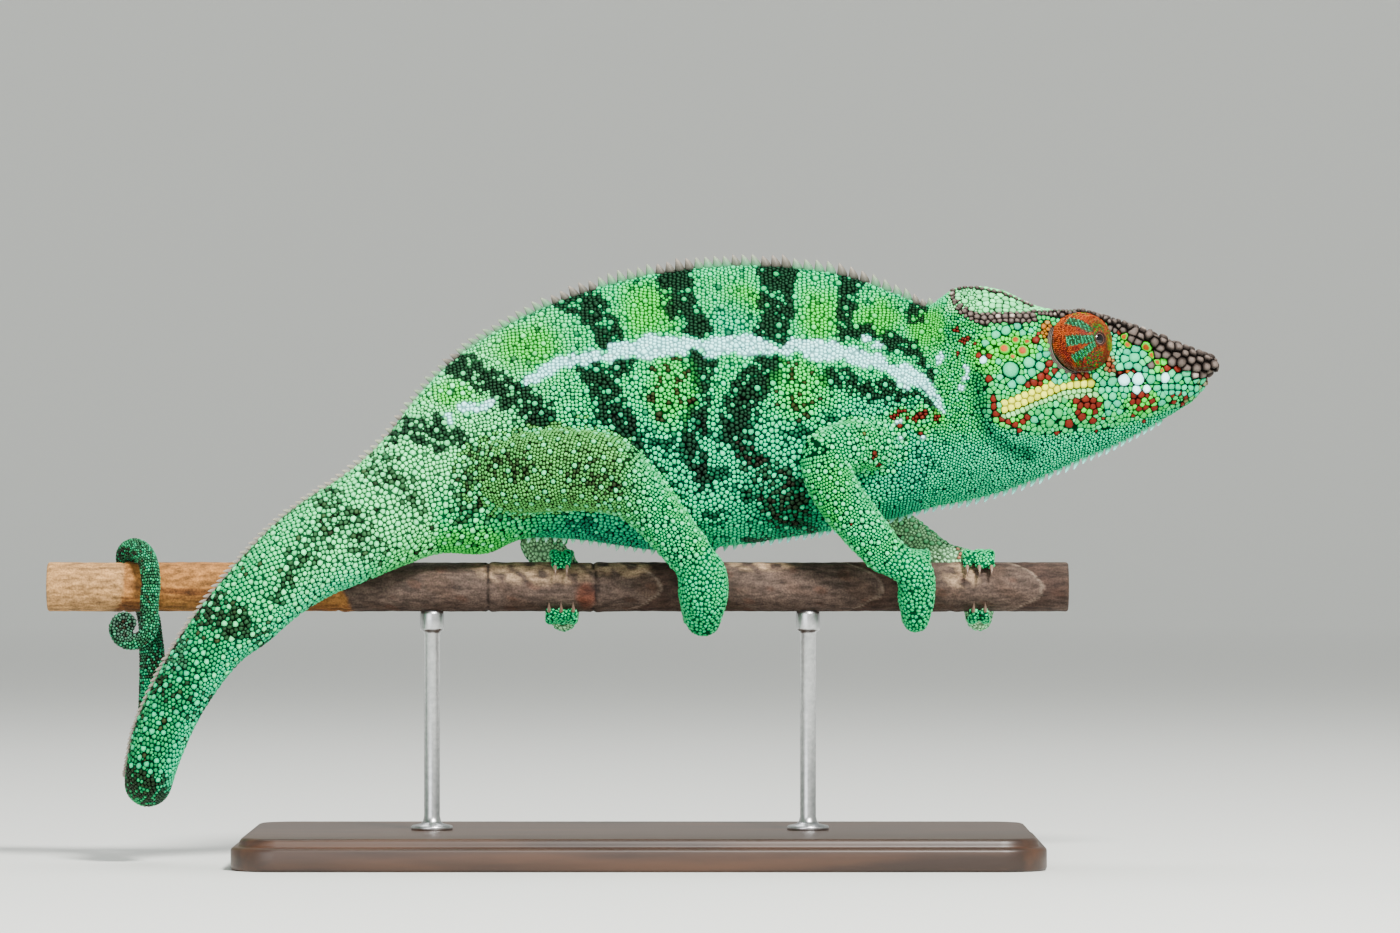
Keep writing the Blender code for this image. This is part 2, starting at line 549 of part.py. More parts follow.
def build_limb(name, loft):
    """Upper limb, lower limb and foot, each cut back by its neighbour and by the body."""
    upper_tube, lower_tube = (Loft.tube(rows) for rows in LIMBS[name])
    upper_end, lower_end = len(LIMBS[name][0]) - 1, len(LIMBS[name][1]) - 1
    upper = upper_tube.solid(name + "_upper", 0, upper_end, 6, LIMB_SIDES + 4, round_ends=(True, True))
    lower = lower_tube.solid(name + "_lower", 0, lower_end, 7, LIMB_SIDES + 2, round_ends=(False, True))
    foot = build_foot(name, LIMBS[name][1][-1])
    combine(upper, [body_cutter(loft)])
    elbow = upper_tube.solid("elbow", 0, upper_end, 6, LIMB_SIDES + 4, GAP, round_ends=(True, True))
    combine(lower, [body_cutter(loft), elbow, perch_cutter(GAP)])
    wrist = lower_tube.solid("wrist", 0, lower_end, 7, LIMB_SIDES + 2, GAP, round_ends=(False, True))
    combine(foot, [wrist, body_cutter(loft)])
    foot.name = name + "_foot"
    return {piece.name: piece for piece in (upper, lower, foot)}


def body_cutter(loft):
    """The body from the throat to the root of the tail, moved out by the gap."""
    return loft.solid("body_cutter", loft.index["casque"], loft.index["tail_2"], 24, BODY_SIDES, GAP)


def build_perch():
    """The cut cane: a plain straight length."""
    rows = [(x, 0.0, PERCH_AXIS_Z, PERCH_RADIUS) for x in PERCH_ENDS]
    return ring_solid("perch", list(Loft.tube(rows).rings(range(len(rows)), PERCH_SIDES)))


def build_stand():
    """A rounded plate and two rods up to the cane."""
    nodes = {}
    bpy.ops.mesh.primitive_cube_add(size=1.0, location=(0, 0, BASE_HEIGHT / 2 * MM))
    base = bpy.context.object
    base.name = "stand_base"
    base.data.transform(Matrix.Diagonal((BASE_LENGTH * MM, BASE_DEPTH * MM, BASE_HEIGHT * MM, 1.0)))
    shape = bmesh.new()
    shape.from_mesh(base.data)
    corners = [e for e in shape.edges if abs(e.verts[0].co.z - e.verts[1].co.z) > BASE_HEIGHT / 2 * MM]
    bmesh.ops.bevel(shape, geom=corners, offset=BASE_CORNER * MM, segments=4, affect="EDGES", profile=0.5)
    rim = [e for e in shape.edges if min(v.co.z for v in e.verts) > BASE_HEIGHT * 0.49 * MM]
    bmesh.ops.bevel(shape, geom=rim, offset=BASE_BEVEL * MM, segments=2, affect="EDGES", profile=0.5)
    shape.to_mesh(base.data)
    shape.free()
    nodes["stand_base"] = base
    for place, x in ROD_PLACES.items():
        rows = [(x, 0.0, BASE_HEIGHT + GAP, ROD_RADIUS), (x, 0.0, PERCH_AXIS_Z - PERCH_RADIUS + 1.5, ROD_RADIUS)]
        rod = Loft.tube(rows, (1.0, 0.0, 0.0)).solid("stand_rod_" + place, 0, 1, 1, 16)
        nodes[rod.name] = combine(rod, [perch_cutter(GAP)])
    return nodes


def main():
    """Build every node and give it its finish."""
    clear_scene()
    materials = make_materials()
    loft = body_loft()
    nodes = build_body(loft)
    for word, side in (("right", -1.0), ("left", 1.0)):
        nodes["eye_" + word] = build_eye("eye_" + word, side)
        for name in ("head", "casque"):
            combine(nodes[name], [build_eye("socket", side, GAP)])
    for name in LIMBS:
        nodes.update(build_limb(name, loft))
    nodes["perch"] = build_perch()
    nodes.update(build_stand())
    finishes = {"casque": "casque", "eye_right": "eye", "eye_left": "eye", "perch": "cane",
                "stand_base": "stand_wood", "stand_rod_front": "stand_steel", "stand_rod_rear": "stand_steel"}
    for name, node in nodes.items():
        node.data.materials.clear()
        node.data.materials.append(materials[finishes.get(name, "skin")])
        node.data.shade_smooth()
        node.data.set_sharp_from_angle(angle=math.radians(40))


main()
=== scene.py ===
"""A male panther chameleon gripping a cut cane on a plain stand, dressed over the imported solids.

The flesh nodes give way to one skin, made from the same sections as the solids and drawn together
with a voxel remesh. Every scale is a small closed dome of its own, grown from a root on that skin
and shaped by its neighbours. Sizes are in millimetres and MM turns them into metres.
"""

import itertools
import json
import logging
import math
from collections.abc import Callable
from dataclasses import dataclass, field
from enum import Enum

import bpy
import numpy as np
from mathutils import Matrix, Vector
from mathutils.bvhtree import BVHTree
from mathutils.kdtree import KDTree

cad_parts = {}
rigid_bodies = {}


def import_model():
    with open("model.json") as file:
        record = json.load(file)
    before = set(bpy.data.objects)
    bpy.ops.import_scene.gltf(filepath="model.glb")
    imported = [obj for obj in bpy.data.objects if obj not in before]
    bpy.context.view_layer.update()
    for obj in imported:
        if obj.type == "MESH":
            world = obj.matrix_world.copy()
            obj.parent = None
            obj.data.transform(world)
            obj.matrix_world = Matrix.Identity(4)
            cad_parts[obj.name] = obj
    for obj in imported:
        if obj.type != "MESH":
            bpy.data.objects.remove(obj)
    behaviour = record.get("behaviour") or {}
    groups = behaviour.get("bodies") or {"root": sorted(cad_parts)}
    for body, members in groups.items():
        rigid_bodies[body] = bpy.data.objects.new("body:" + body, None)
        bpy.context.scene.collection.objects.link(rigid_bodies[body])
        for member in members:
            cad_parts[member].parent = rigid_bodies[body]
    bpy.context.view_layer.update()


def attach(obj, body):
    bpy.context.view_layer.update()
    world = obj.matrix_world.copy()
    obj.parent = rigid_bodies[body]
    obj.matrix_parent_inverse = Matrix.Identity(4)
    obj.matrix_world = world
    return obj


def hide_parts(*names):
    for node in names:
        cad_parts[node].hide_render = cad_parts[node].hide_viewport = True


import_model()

LOG = logging.getLogger("chameleon")
MM = 0.001
SEED = 20
SCALE_DEPTH = 0.42  # how far the skin lies inside the solids, for the scales to stand on

PERCH_RADIUS = 6.2
PERCH_AXIS_Z = 68.8
CLEARANCE = 0.4  # between the bark and a toe's skin
BARK_MARGIN = 0.75  # no scale is rooted nearer to the bark than this
LIGHT_AIM = (0.0, 0.0, 0.09)  # where the lamps look, in metres

TRUNK = ((1.00, 0.0), (0.95, 0.15), (0.76, 0.56), (0.44, 1.0), (0.17, 0.86), (0.04, 0.42), (0.0, 0.0))
ROUND = ((1.00, 0.0), (0.94, 0.36), (0.76, 0.80), (0.48, 1.0), (0.22, 0.86), (0.06, 0.44), (0.0, 0.0))
# Sections: top (x, z), bottom (x, z), sideways shift, half width, outline from crown to keel.
SECTIONS = {
    "snout_end": ((141.2, 121.8), (140.6, 118.0), 0.0, 2.5,
                  ((1.0, 0.0), (0.96, 0.6), (0.8, 0.9), (0.6, 1.0), (0.36, 1.0), (0.12, 0.7), (0.0, 0.0))),
    "lip_front": ((137.5, 126.2), (137.2, 114.2), 0.0, 5.2,
                  ((1.0, 0.0), (1.05, 0.72), (0.93, 0.92), (0.72, 0.95), (0.43, 1.0), (0.2, 0.78),
                   (0.0, 0.0))),
    "nostril": ((127.5, 130.2), (126.6, 108.0), 0.0, 8.0,
                ((1.0, 0.0), (1.04, 0.74), (0.92, 0.86), (0.76, 0.92), (0.52, 1.0), (0.28, 0.8), (0.0, 0.0))),
    "brow_front": ((119.5, 134.2), (118.0, 103.6), 0.0, 9.9,
                   ((1.0, 0.0), (1.03, 0.68), (0.91, 0.80), (0.73, 0.88), (0.51, 1.0), (0.29, 0.82),
                    (0.0, 0.0))),
    "eye": ((111.0, 137.0), (109.0, 99.8), 0.0, 11.2,
            ((1.0, 0.0), (1.02, 0.62), (0.91, 0.80), (0.75, 0.92), (0.50, 1.0), (0.29, 0.80), (0.0, 0.0))),
    "temple": ((100.0, 138.8), (96.0, 94.2), 0.0, 14.0,
               ((1.0, 0.0), (0.965, 0.56), (0.87, 0.78), (0.67, 0.97), (0.42, 1.0), (0.23, 0.76),
                (0.0, 0.0))),
    "casque": ((90.0, 143.3), (84.0, 90.5), 0.0, 15.2,
               ((1.0, 0.0), (0.86, 0.60), (0.76, 0.76), (0.56, 0.98), (0.33, 0.97), (0.15, 0.70),
                (0.0, 0.0))),
    "casque_back": ((79.5, 144.0), (73.5, 88.5), 0.0, 14.4,
                    ((1.0, 0.0), (0.90, 0.40), (0.78, 0.58), (0.54, 0.94), (0.30, 1.0), (0.12, 0.68),
                     (0.0, 0.0))),
    "nape": ((72.0, 139.6), (65.0, 86.0), 0.0, 13.6,
             ((1.0, 0.0), (0.94, 0.20), (0.79, 0.54), (0.52, 0.94), (0.28, 1.0), (0.10, 0.62), (0.0, 0.0))),
    "neck": ((65.0, 142.2), (58.0, 84.4), 0.0, 13.8, TRUNK),
    "shoulder": ((52.5, 146.8), (48.8, 82.8), 0.0, 15.2, TRUNK),
    "chest": ((38.8, 149.0), (38.8, 81.2), 0.0, 17.0, TRUNK),
    "ribs": ((26.2, 149.6), (27.5, 79.4), 0.0, 18.0, TRUNK),
    "flank": ((13.8, 148.9), (15.0, 78.2), 0.0, 18.4, TRUNK),
    "belly": ((1.2, 147.0), (3.8, 77.8), 0.0, 18.2, TRUNK),
    "waist": ((-11.2, 143.8), (-7.0, 79.2), -0.4, 17.2, TRUNK),
    "loin": ((-23.8, 139.2), (-18.0, 80.6), -1.2, 15.6, TRUNK),
    "hip": ((-35.8, 133.2), (-29.0, 80.6), -2.4, 14.2, TRUNK),
    "rump": ((-46.2, 126.2), (-38.5, 76.8), -4.2, 13.2, TRUNK),
    "vent": ((-55.5, 116.4), (-49.5, 76.9), -6.4, 12.6, ROUND),
    "tail_1": ((-63.8, 105.6), (-58.6, 74.0), -9.8, 11.6, ROUND),
    "tail_2": ((-73.4, 97.0), (-66.8, 70.6), -13.0, 10.6, ROUND),
    "tail_3": ((-84.8, 89.6), (-75.9, 66.9), -15.4, 9.6, ROUND),
    "tail_4": ((-94.7, 80.8), (-84.0, 62.0), -16.6, 9.0, ROUND),
    "tail_5": ((-103.6, 70.8), (-92.2, 55.0), -17.0, 8.3, ROUND),
    "tail_6": ((-111.6, 60.6), (-99.4, 49.6), -16.8, 7.6, ROUND),
    "tail_7": ((-119.3, 48.2), (-106.8, 39.8), -16.0, 7.1, ROUND),
    "tail_8": ((-125.2, 35.6), (-111.4, 31.4), -14.4, 6.7, ROUND),
}
# The end of the tail: (x, y, z, radius) down, round the bend, up behind the cane and over it.
TAIL_BEND = (
    (-120.9, -12.2, 25.6, 6.6), (-122.2, -8.0, 21.2, 6.3), (-122.8, -2.6, 19.7, 6.0),
    (-122.6, 3.0, 21.6, 5.6), (-122.2, 7.2, 27.2, 5.2), (-122.0, 9.0, 35.0, 4.6), (-122.3, 10.0, 44.0, 4.0),
    (-122.8, 10.4, 53.0, 3.5), (-123.6, 10.2, 61.0, 3.2),
)
HOOK_STEPS = 9
HOOK_X = (-126.2, -128.4, -128.9, -127.6, -125.2, -123.2, -122.0, -121.6, -122.1)
HOOK_ANGLES = (0.0, 202.0)
HOOK_RADII = (3.1, 2.75)
CURL_CENTRE = (-127.6, 59.4)
CURL_TURN = (12.0, -450.0)
CURL_RADII = (6.2, 0.9)
CURL_THICKNESS = (2.55, 1.35)
CURL_Y = (-9.4, -7.6)
CURL_STEPS = 20

RIDGE = ((98.5, 6.4, 136.2, 0.8), (102.5, 7.8, 137.0, 1.0), (107.5, 8.8, 137.1, 1.1),
         (112.0, 8.8, 136.6, 1.2), (116.5, 7.6, 134.9, 1.4), (122.0, 6.8, 132.4, 1.9),
         (128.5, 5.8, 129.5, 2.4), (134.5, 4.4, 126.6, 2.8), (139.6, 2.9, 124.6, 2.8),
         (143.2, 1.4, 124.2, 2.2))

# Limbs: centre (x, y, z) and radius along the upper limb, then along the lower one to the wrist.
LIMBS = {
    "fore_right": (
        ((63.0, -6.0, 104.5, 7.2), (57.0, -12.0, 104.2, 6.9), (50.5, -16.6, 103.6, 6.5),
         (45.4, -18.8, 101.0, 6.3)),
        ((45.6, -18.8, 101.4, 6.0), (46.6, -18.8, 96.6, 6.3), (50.0, -17.8, 90.6, 6.3),
         (54.6, -16.2, 84.6, 6.1), (61.2, -14.0, 76.8, 5.3)),
    ),
    "fore_left": (
        ((63.0, 6.0, 102.0, 7.0), (59.0, 12.4, 100.6, 6.8), (55.0, 17.4, 97.2, 6.3), (53.4, 19.4, 93.4, 5.9)),
        ((53.2, 19.4, 93.6, 5.5), (59.0, 18.6, 88.4, 5.4), (66.1, 16.8, 82.8, 4.9), (74.4, 14.0, 76.6, 4.6)),
    ),
    "hind_right": (
        ((-44.0, -6.0, 96.0, 9.6), (-33.0, -11.6, 97.0, 10.4), (-21.0, -15.6, 98.0, 10.6),
         (-11.0, -18.0, 97.6, 10.2), (-4.6, -18.8, 95.6, 9.2)),
        ((-5.2, -18.8, 96.2, 8.0), (-1.0, -18.8, 92.4, 7.6), (3.0, -18.2, 88.4, 6.8), (8.0, -16.6, 82.6, 6.3),
         (12.6, -14.4, 77.0, 6.0)),
    ),
    "hind_left": (
        ((-42.0, 4.0, 95.0, 9.2), (-33.0, 10.4, 97.0, 9.8), (-24.0, 16.0, 98.4, 9.4),
         (-17.0, 19.8, 97.4, 8.2)),
        ((-16.6, 20.2, 97.6, 6.9), (-18.4, 19.2, 91.6, 6.6), (-22.0, 17.2, 85.4, 6.2),
         (-25.4, 14.6, 79.0, 5.6)),
    ),
}
# Feet: x of the grip, side of the cane, half width, toes above and below.
FEET = {
    "fore_right": (68.4, -1.0, 5.0, 3, 2),
    "fore_left": (84.6, 1.0, 4.8, 3, 2),
    "hind_right": (15.4, -1.0, 6.5, 2, 3),
    "hind_left": (-19.6, 1.0, 5.0, 2, 3),
}
PALM_THICKNESS = 6.0
PALM_HEIGHT = 8.6
TOE_RADIUS = 1.75
TOE_ARC = {True: 52.0, False: 46.0}  # degrees past the cane's far side line, above and below

Array = np.ndarray


def paint(red: float, green: float, blue: float) -> Array:
    """Turn a colour as a screen shows it, from 0 to 255, into linear light."""
    share = np.array([red, green, blue]) / 255.0
    return np.where(share <= 0.04045, share / 12.92, ((share + 0.055) / 1.055) ** 2.4)


def smooth(low: float, high: float, value: Array) -> Array:
    """Climb from 0 at low to 1 at high along a cubic with level ends."""
    share = np.clip((value - low) / (high - low), 0.0, 1.0)
    return share * share * (3.0 - 2.0 * share)


def blend(base: Array, other: Array, share: Array) -> Array:
    """Mix rows of colours towards another colour, or other rows, by a share for each row."""
    return base + (other - base) * np.clip(share, 0.0, 1.0)[:, None]


def unit(rows: Array) -> Array:
    """Scale each row to length one."""
    return rows / np.maximum(np.linalg.norm(rows, axis=-1, keepdims=True), 1e-9)


def catmull(keys: Array, at: Array) -> Array:
    """Read a smooth curve through the rows of keys at positions counted in rows.

    Between two rows it is the Catmull-Rom cubic of the four rows round them, and the first and
    last rows are carried on in a straight line.

    Args:
        keys: one row for each key.
        at: the positions, held between the first key and the last.
    Returns:
        One row for each position.
    """
    keys = np.asarray(keys, float)
    at = np.clip(np.asarray(at, float), 0, len(keys) - 1)
    i = np.minimum(at.astype(int), len(keys) - 2)
    f = (at - i).reshape((-1,) + (1,) * (keys.ndim - 1))
    padded = np.concatenate([[2 * keys[0] - keys[1]], keys, [2 * keys[-1] - keys[-2]]])
    a, b, c, d = (padded[i + k] for k in range(4))
    return 0.5 * (2 * b + (c - a) * f + (2 * a - 5 * b + 4 * c - d) * f**2 + (3 * b - a - 3 * c + d) * f**3)


def ripple(x: Array, y: Array, z: Array, size: float, turn: float = 0.0) -> Array:
    """A smooth uneven field from about -1 to 1, mixed from three slanted sine waves.

    Args:
        x, y, z: the places, in millimetres.
        size: about how long the waves are, in millimetres.
        turn: a shift of the waves, for another pattern.
    Returns:
        One value for each place.
    """
    k = 2 * math.pi / size
    a = np.sin(k * (0.91 * x + 0.38 * z + 0.21 * y) + turn)
    b = np.sin(k * 0.73 * (0.52 * z - 0.83 * x + 0.35 * y) + 1.7 + 2.1 * turn)
    c = np.sin(k * 1.37 * (0.64 * z + 0.47 * x - 0.51 * y) + 0.6 - turn)
    return (a + b * c + 0.6 * b) / 2.2


def build_mesh(name: str, points: Array, corners: Array, sizes: Array, soft: bool = True) -> bpy.types.Object:
    """Put points in millimetres and faces, as a run of corners and each face's corner count, in a new
    object.

    Args:
        name: the object's name.
        points: rows of x, y, z in millimetres.
        corners: the points of the faces, one face after another.
        sizes: how many corners each face has.
        soft: whether the faces are shaded smoothly.
    Returns:
        The object, linked to the scene.
    """
    mesh = bpy.data.meshes.new(name)
    mesh.vertices.add(len(points))
    mesh.vertices.foreach_set("co", (np.asarray(points) * MM).ravel().astype(np.float32))
    mesh.loops.add(len(corners))
    mesh.loops.foreach_set("vertex_index", np.asarray(corners, np.int32))
    mesh.polygons.add(len(sizes))
    starts = np.concatenate([[0], np.cumsum(sizes)[:-1]]).astype(np.int32)
    mesh.polygons.foreach_set("loop_start", starts)
    mesh.update(calc_edges=True)
    mesh.validate()
    mesh.polygons.foreach_set("use_smooth", np.full(len(sizes), soft))
    obj = bpy.data.objects.new(name, mesh)
    bpy.context.scene.collection.objects.link(obj)
    return obj


def set_colours(obj: bpy.types.Object, colours: Array, name: str = "paint") -> None:
    """Store one colour for each vertex as an attribute."""
    layer = obj.data.attributes.new(name, "FLOAT_COLOR", "POINT")
    layer.data.foreach_set("color", np.asarray(colours, np.float32).ravel())


def ring_faces(rings: int, around: int, start: int = 0) -> tuple[Array, Array]:
    """Faces of a closed tube of rings with an n-sided cap at each end, wound to face outwards.

    Args:
        rings: how many rings there are.
        around: how many points a ring has.
        start: the number of the first ring's first point.
    Returns:
        The corners of the faces, one face after another, and how many each face has.
    """
    r, i = np.meshgrid(np.arange(rings - 1), np.arange(around), indexing="ij")
    n = (i + 1) % around
    quads = np.stack([r * around + i, r * around + n, (r + 1) * around + n, (r + 1) * around + i],
                     -1).reshape(-1)
    first = np.arange(around)[::-1]
    last = (rings - 1) * around + np.arange(around)
    sizes = np.concatenate([np.full((rings - 1) * around, 4), [around, around]])
    return np.concatenate([quads, first, last]) + start, sizes


class Shells:
    """Closed tubes gathered to be drawn together into one skin."""

    def __init__(self) -> None:
        """Start without any tube."""
        self.points: list[Array] = []
        self.corners: list[Array] = []
        self.sizes: list[Array] = []
        self.count = 0

    def add(self, rings: Array) -> None:
        """Add a closed tube, turned to face outwards.

        Args:
            rings: rings of points from one end to the other, each with as many points.
        """
        rings = np.asarray(rings, float)
        middle = rings.mean(axis=1)
        ahead = unit(np.gradient(middle, axis=0))
        spoke = rings - middle[:, None]
        turn = np.einsum("rij,rj->", np.cross(spoke[:, :-1], spoke[:, 1:]), ahead)
        if turn < 0:
            rings = rings[:, ::-1]
        corners, sizes = ring_faces(len(rings), rings.shape[1], self.count)
        self.points.append(rings.reshape(-1, 3))
        self.corners.append(corners)
        self.sizes.append(sizes)
        self.count += rings.shape[0] * rings.shape[1]

    def join(self, name: str) -> bpy.types.Object:
        """Make one object of all the tubes."""
        return build_mesh(name, np.concatenate(self.points), np.concatenate(self.corners),
                          np.concatenate(self.sizes))


def carried_frames(points: Array, up: Array) -> tuple[Array, Array]:
    """Up and side directions carried along a path without twisting, from a first up direction.

    Args:
        points: rows of x, y, z along the path.
        up: the first up direction.
    Returns:
        A row for the up direction and one for the side direction at each point.
    """
    tangents = unit(np.gradient(points, axis=0))
    ups = []
    for tangent in tangents:
        up = up - tangent * np.dot(up, tangent)
        up = up / np.linalg.norm(up)
        ups.append(up)
    ups_array = np.array(ups)
    return ups_array, np.cross(tangents, ups_array)


def circle_outline() -> Array:
    """A half circle as seven (height share, half width share) points."""
    angle = np.linspace(0, math.pi, 7)
    return np.column_stack([(1 + np.cos(angle)) / 2, np.sin(angle)])


KEEL = 6.0  # the outline position of the keel: the crown is 0, and the animal's right side is negative


class Loft:
    """Sections along a body: a centre, an up and a side vector, and a half outline for each."""

    def __init__(self, centres: Array, ups: Array, sides: Array, outlines: Array, names: tuple = ()) -> None:
        """Take the sections and measure the centre line.

        Args:
            centres: the centre of each section.
            ups: the way from each centre to the crown.
            sides: the way from each centre to the widest place on the left.
            outlines: seven rows of height share and half width share for each section, from crown
                to keel.
            names: the names of the sections, if they have any.
        """
        self.centres, self.ups = np.asarray(centres, float), np.asarray(ups, float)
        self.sides, self.outlines = np.asarray(sides, float), np.asarray(outlines, float)
        self.index = {name: i for i, name in enumerate(names)}
        self.last = len(self.centres) - 1
        fine = np.linspace(0, self.last, self.last * 20 + 1)
        self.fine = fine
        steps = np.linalg.norm(np.diff(catmull(self.centres, fine), axis=0), axis=1)
        self.length_at_fine = np.concatenate([[0.0], np.cumsum(steps)])

    @classmethod
    def tube(cls, rows: Array, up: tuple = (0.0, 0.0, 1.0)) -> "Loft":
        """A round tube along rows of x, y, z, radius.

        Args:
            rows: x, y, z and radius of each section.
            up: the first up direction.
        Returns:
            The tube's loft.
        """
        rows = np.asarray(rows, float)
        ups, sides = carried_frames(rows[:, :3], np.asarray(up, float))
        return cls(rows[:, :3], ups * rows[:, 3:], sides * rows[:, 3:],
                   np.array([circle_outline()] * len(rows)))

    def point(self, s: Array, q: Array, grow: float = 0.0) -> Array:
        """Places on the surface.

        The half outline at s is read between its seven points by a Catmull-Rom cubic in |q|, mirrored
        at crown and keel, then carried by the section's up and side vectors from its centre.

        Args:
            s: position along, counted in sections.
            q: position round, from 0 at the crown to 6 at the keel, negative on the right side.
            grow: how far outside the surface, in millimetres.
        Returns:
            One row of x, y, z for each position.
        """
        centre, up, side = (catmull(k, s) for k in (self.centres, self.ups, self.sides))
        outline = catmull(self.outlines, s)
        padded = np.concatenate([outline[:, 1:2] * [1, -1], outline, outline[:, -2:-1] * [1, -1]], axis=1)
        a = np.clip(np.abs(q), 0, KEEL)
        i = np.minimum(a.astype(int), int(KEEL) - 1)
        f = (a - i)[:, None]
        rows = np.arange(len(a))
        k0, k1, k2, k3 = (padded[rows, i + k] for k in range(4))
        half = (0.5 * (2 * k1 + (k2 - k0) * f + (2 * k0 - 5 * k1 + 4 * k2 - k3) * f**2
                       + (3 * k1 - k0 - 3 * k2 + k3) * f**3))
        high = (2 * half[:, 0] - 1) * (1 + grow / np.linalg.norm(up, axis=1))
        wide = half[:, 1] * np.sign(q) * (1 + grow / np.linalg.norm(side, axis=1))
        return centre + up * high[:, None] + side * wide[:, None]

    def ahead(self, s: Array) -> Array:
        """The direction along the body, towards higher s."""
        return unit(catmull(self.centres, np.asarray(s) + 0.02) - catmull(self.centres, np.asarray(s) - 0.02))

    def rings(self, first: float, last: float, count: int, around: int, grow: float = 0.0) -> Array:
        """Rings of points between two positions, with a rounded cap of four rings at each end.

        Args:
            first: where the first ring stands, counted in sections.
            last: where the last ring stands.
            count: how many rings stand between, both ends counted.
            around: how many points a ring has.
            grow: how far outside the surface, in millimetres.
        Returns:
            An array of rings of points.
        """
        s = np.repeat(np.linspace(first, last, count), around)
        q = np.tile(np.linspace(-KEEL, KEEL, around, endpoint=False) + 1e-6, count)
        body = self.point(s, q, grow).reshape(count, around, 3)
        return np.concatenate([dome(body[0], body[1])[::-1], body, dome(body[-1], body[-2])])

    def length(self, s: Array) -> Array:
        """The distance along the centre line at positions s."""
        return np.interp(s, self.fine, self.length_at_fine)

    def at_length(self, length: Array) -> Array:
        """The positions s at distances along the centre line."""
        return np.interp(length, self.length_at_fine, self.fine)


def dome(edge: Array, before: Array) -> Array:
    """Four rings that close an open end: each shrinks by a cosine and moves on by a sine.

    Args:
        edge: the last ring of the tube.
        before: the ring before it.
    Returns:
        Four rings, from the edge outwards.
    """
    middle = edge.mean(axis=0)
    ahead = middle - before.mean(axis=0)
    ahead = ahead / np.linalg.norm(ahead)
    reach = 0.8 * np.linalg.norm(edge - middle, axis=1).min()
    angle = np.radians([25.0, 48.0, 68.0, 84.0])[:, None, None]
    return middle + (edge - middle)[None] * np.cos(angle) + ahead * reach * np.sin(angle)


def tail_end_rows() -> Array:
    """Rows of x, y, z, radius along the end of the tail: the bend, the hook over the cane, the flat
    curl.

    Returns:
        One row for each section.
    """
    share = np.linspace(0, 1, HOOK_STEPS)
    angle = np.radians(HOOK_ANGLES[0] + (HOOK_ANGLES[1] - HOOK_ANGLES[0]) * share)
    thick = HOOK_RADII[0] + (HOOK_RADII[1] - HOOK_RADII[0]) * share
    reach = PERCH_RADIUS + 0.45 + thick
    hook = np.column_stack([HOOK_X, reach * np.cos(angle), PERCH_AXIS_Z + reach * np.sin(angle), thick])
    share = np.linspace(0, 1, CURL_STEPS)
    turn = np.radians(CURL_TURN[0] + (CURL_TURN[1] - CURL_TURN[0]) * share)
    swing = CURL_RADII[1] + (CURL_RADII[0] - CURL_RADII[1]) * (1 - share) ** 1.9
    curl = np.column_stack([
        CURL_CENTRE[0] + swing * np.cos(turn), CURL_Y[0] + (CURL_Y[1] - CURL_Y[0]) * share,
        CURL_CENTRE[1] + swing * np.sin(turn),
        CURL_THICKNESS[0] + (CURL_THICKNESS[1] - CURL_THICKNESS[0]) * share,
    ])
    return np.vstack([TAIL_BEND, hook, curl[1:]])


def body_loft() -> Loft:
    """The whole body from the snout to the tip of the tail, as one loft with named sections.

    Returns:
        The loft, its sections numbered from the snout.
    """
    centres, ups, sides, outlines = [], [], [], []
    for top, bottom, shift, half_width, outline in SECTIONS.values():
        centres.append(((top[0] + bottom[0]) / 2, shift, (top[1] + bottom[1]) / 2))
        ups.append(((top[0] - bottom[0]) / 2, 0.0, (top[1] - bottom[1]) / 2))
        sides.append((0.0, half_width, 0.0))
        outlines.append(np.array(outline))
    rows = tail_end_rows()
    tail_ups, tail_sides = carried_frames(rows[:, :3], np.array(ups[-1]) / np.linalg.norm(ups[-1]))
    tail_sides = tail_sides * math.copysign(1.0, float(tail_sides[0][1]))
    names = list(SECTIONS) + [f"bend_{i}" for i in range(len(TAIL_BEND))]
    names += [f"hook_{i}" for i in range(HOOK_STEPS)] + [f"curl_{i}" for i in range(1, CURL_STEPS)]
    outlines += [circle_outline()] * len(rows)
    return Loft(np.vstack([centres, rows[:, :3]]), np.vstack([ups, tail_ups * rows[:, 3:]]),
                np.vstack([sides, tail_sides * rows[:, 3:]]), np.array(outlines), tuple(names))


def toe_rows(foot: str, above: bool, number: int) -> Array:
    """Rows of x, y, z, radius of one toe: an arc round the cane from the palm to the tip.

    Args:
        foot: the foot's name, as in FEET.
        above: whether the toe goes over the cane, not under it.
        number: its place in the row, from the rear.
    Returns:
        Nine rows, from the palm to the tip.
    """
    grip_x, side, half_width, upper, lower = FEET[foot]
    count = upper if above else lower
    share = np.linspace(0, 1, 9)
    reach = PERCH_RADIUS + CLEARANCE + TOE_RADIUS
    angle = np.radians(8.0 + (82.0 + TOE_ARC[above]) * share)
    pitch = ((number - (count - 1) / 2)
             * (TOE_RADIUS * 1.72 + (half_width * 2 / count - TOE_RADIUS * 1.9) * (1 - share)))
    rise = 1.0 if above else -1.0
    thick = TOE_RADIUS * (1.08 - 0.26 * share)
    return np.column_stack([grip_x + pitch, side * reach * np.cos(angle),
                            PERCH_AXIS_Z + rise * reach * np.sin(angle),
                            thick])


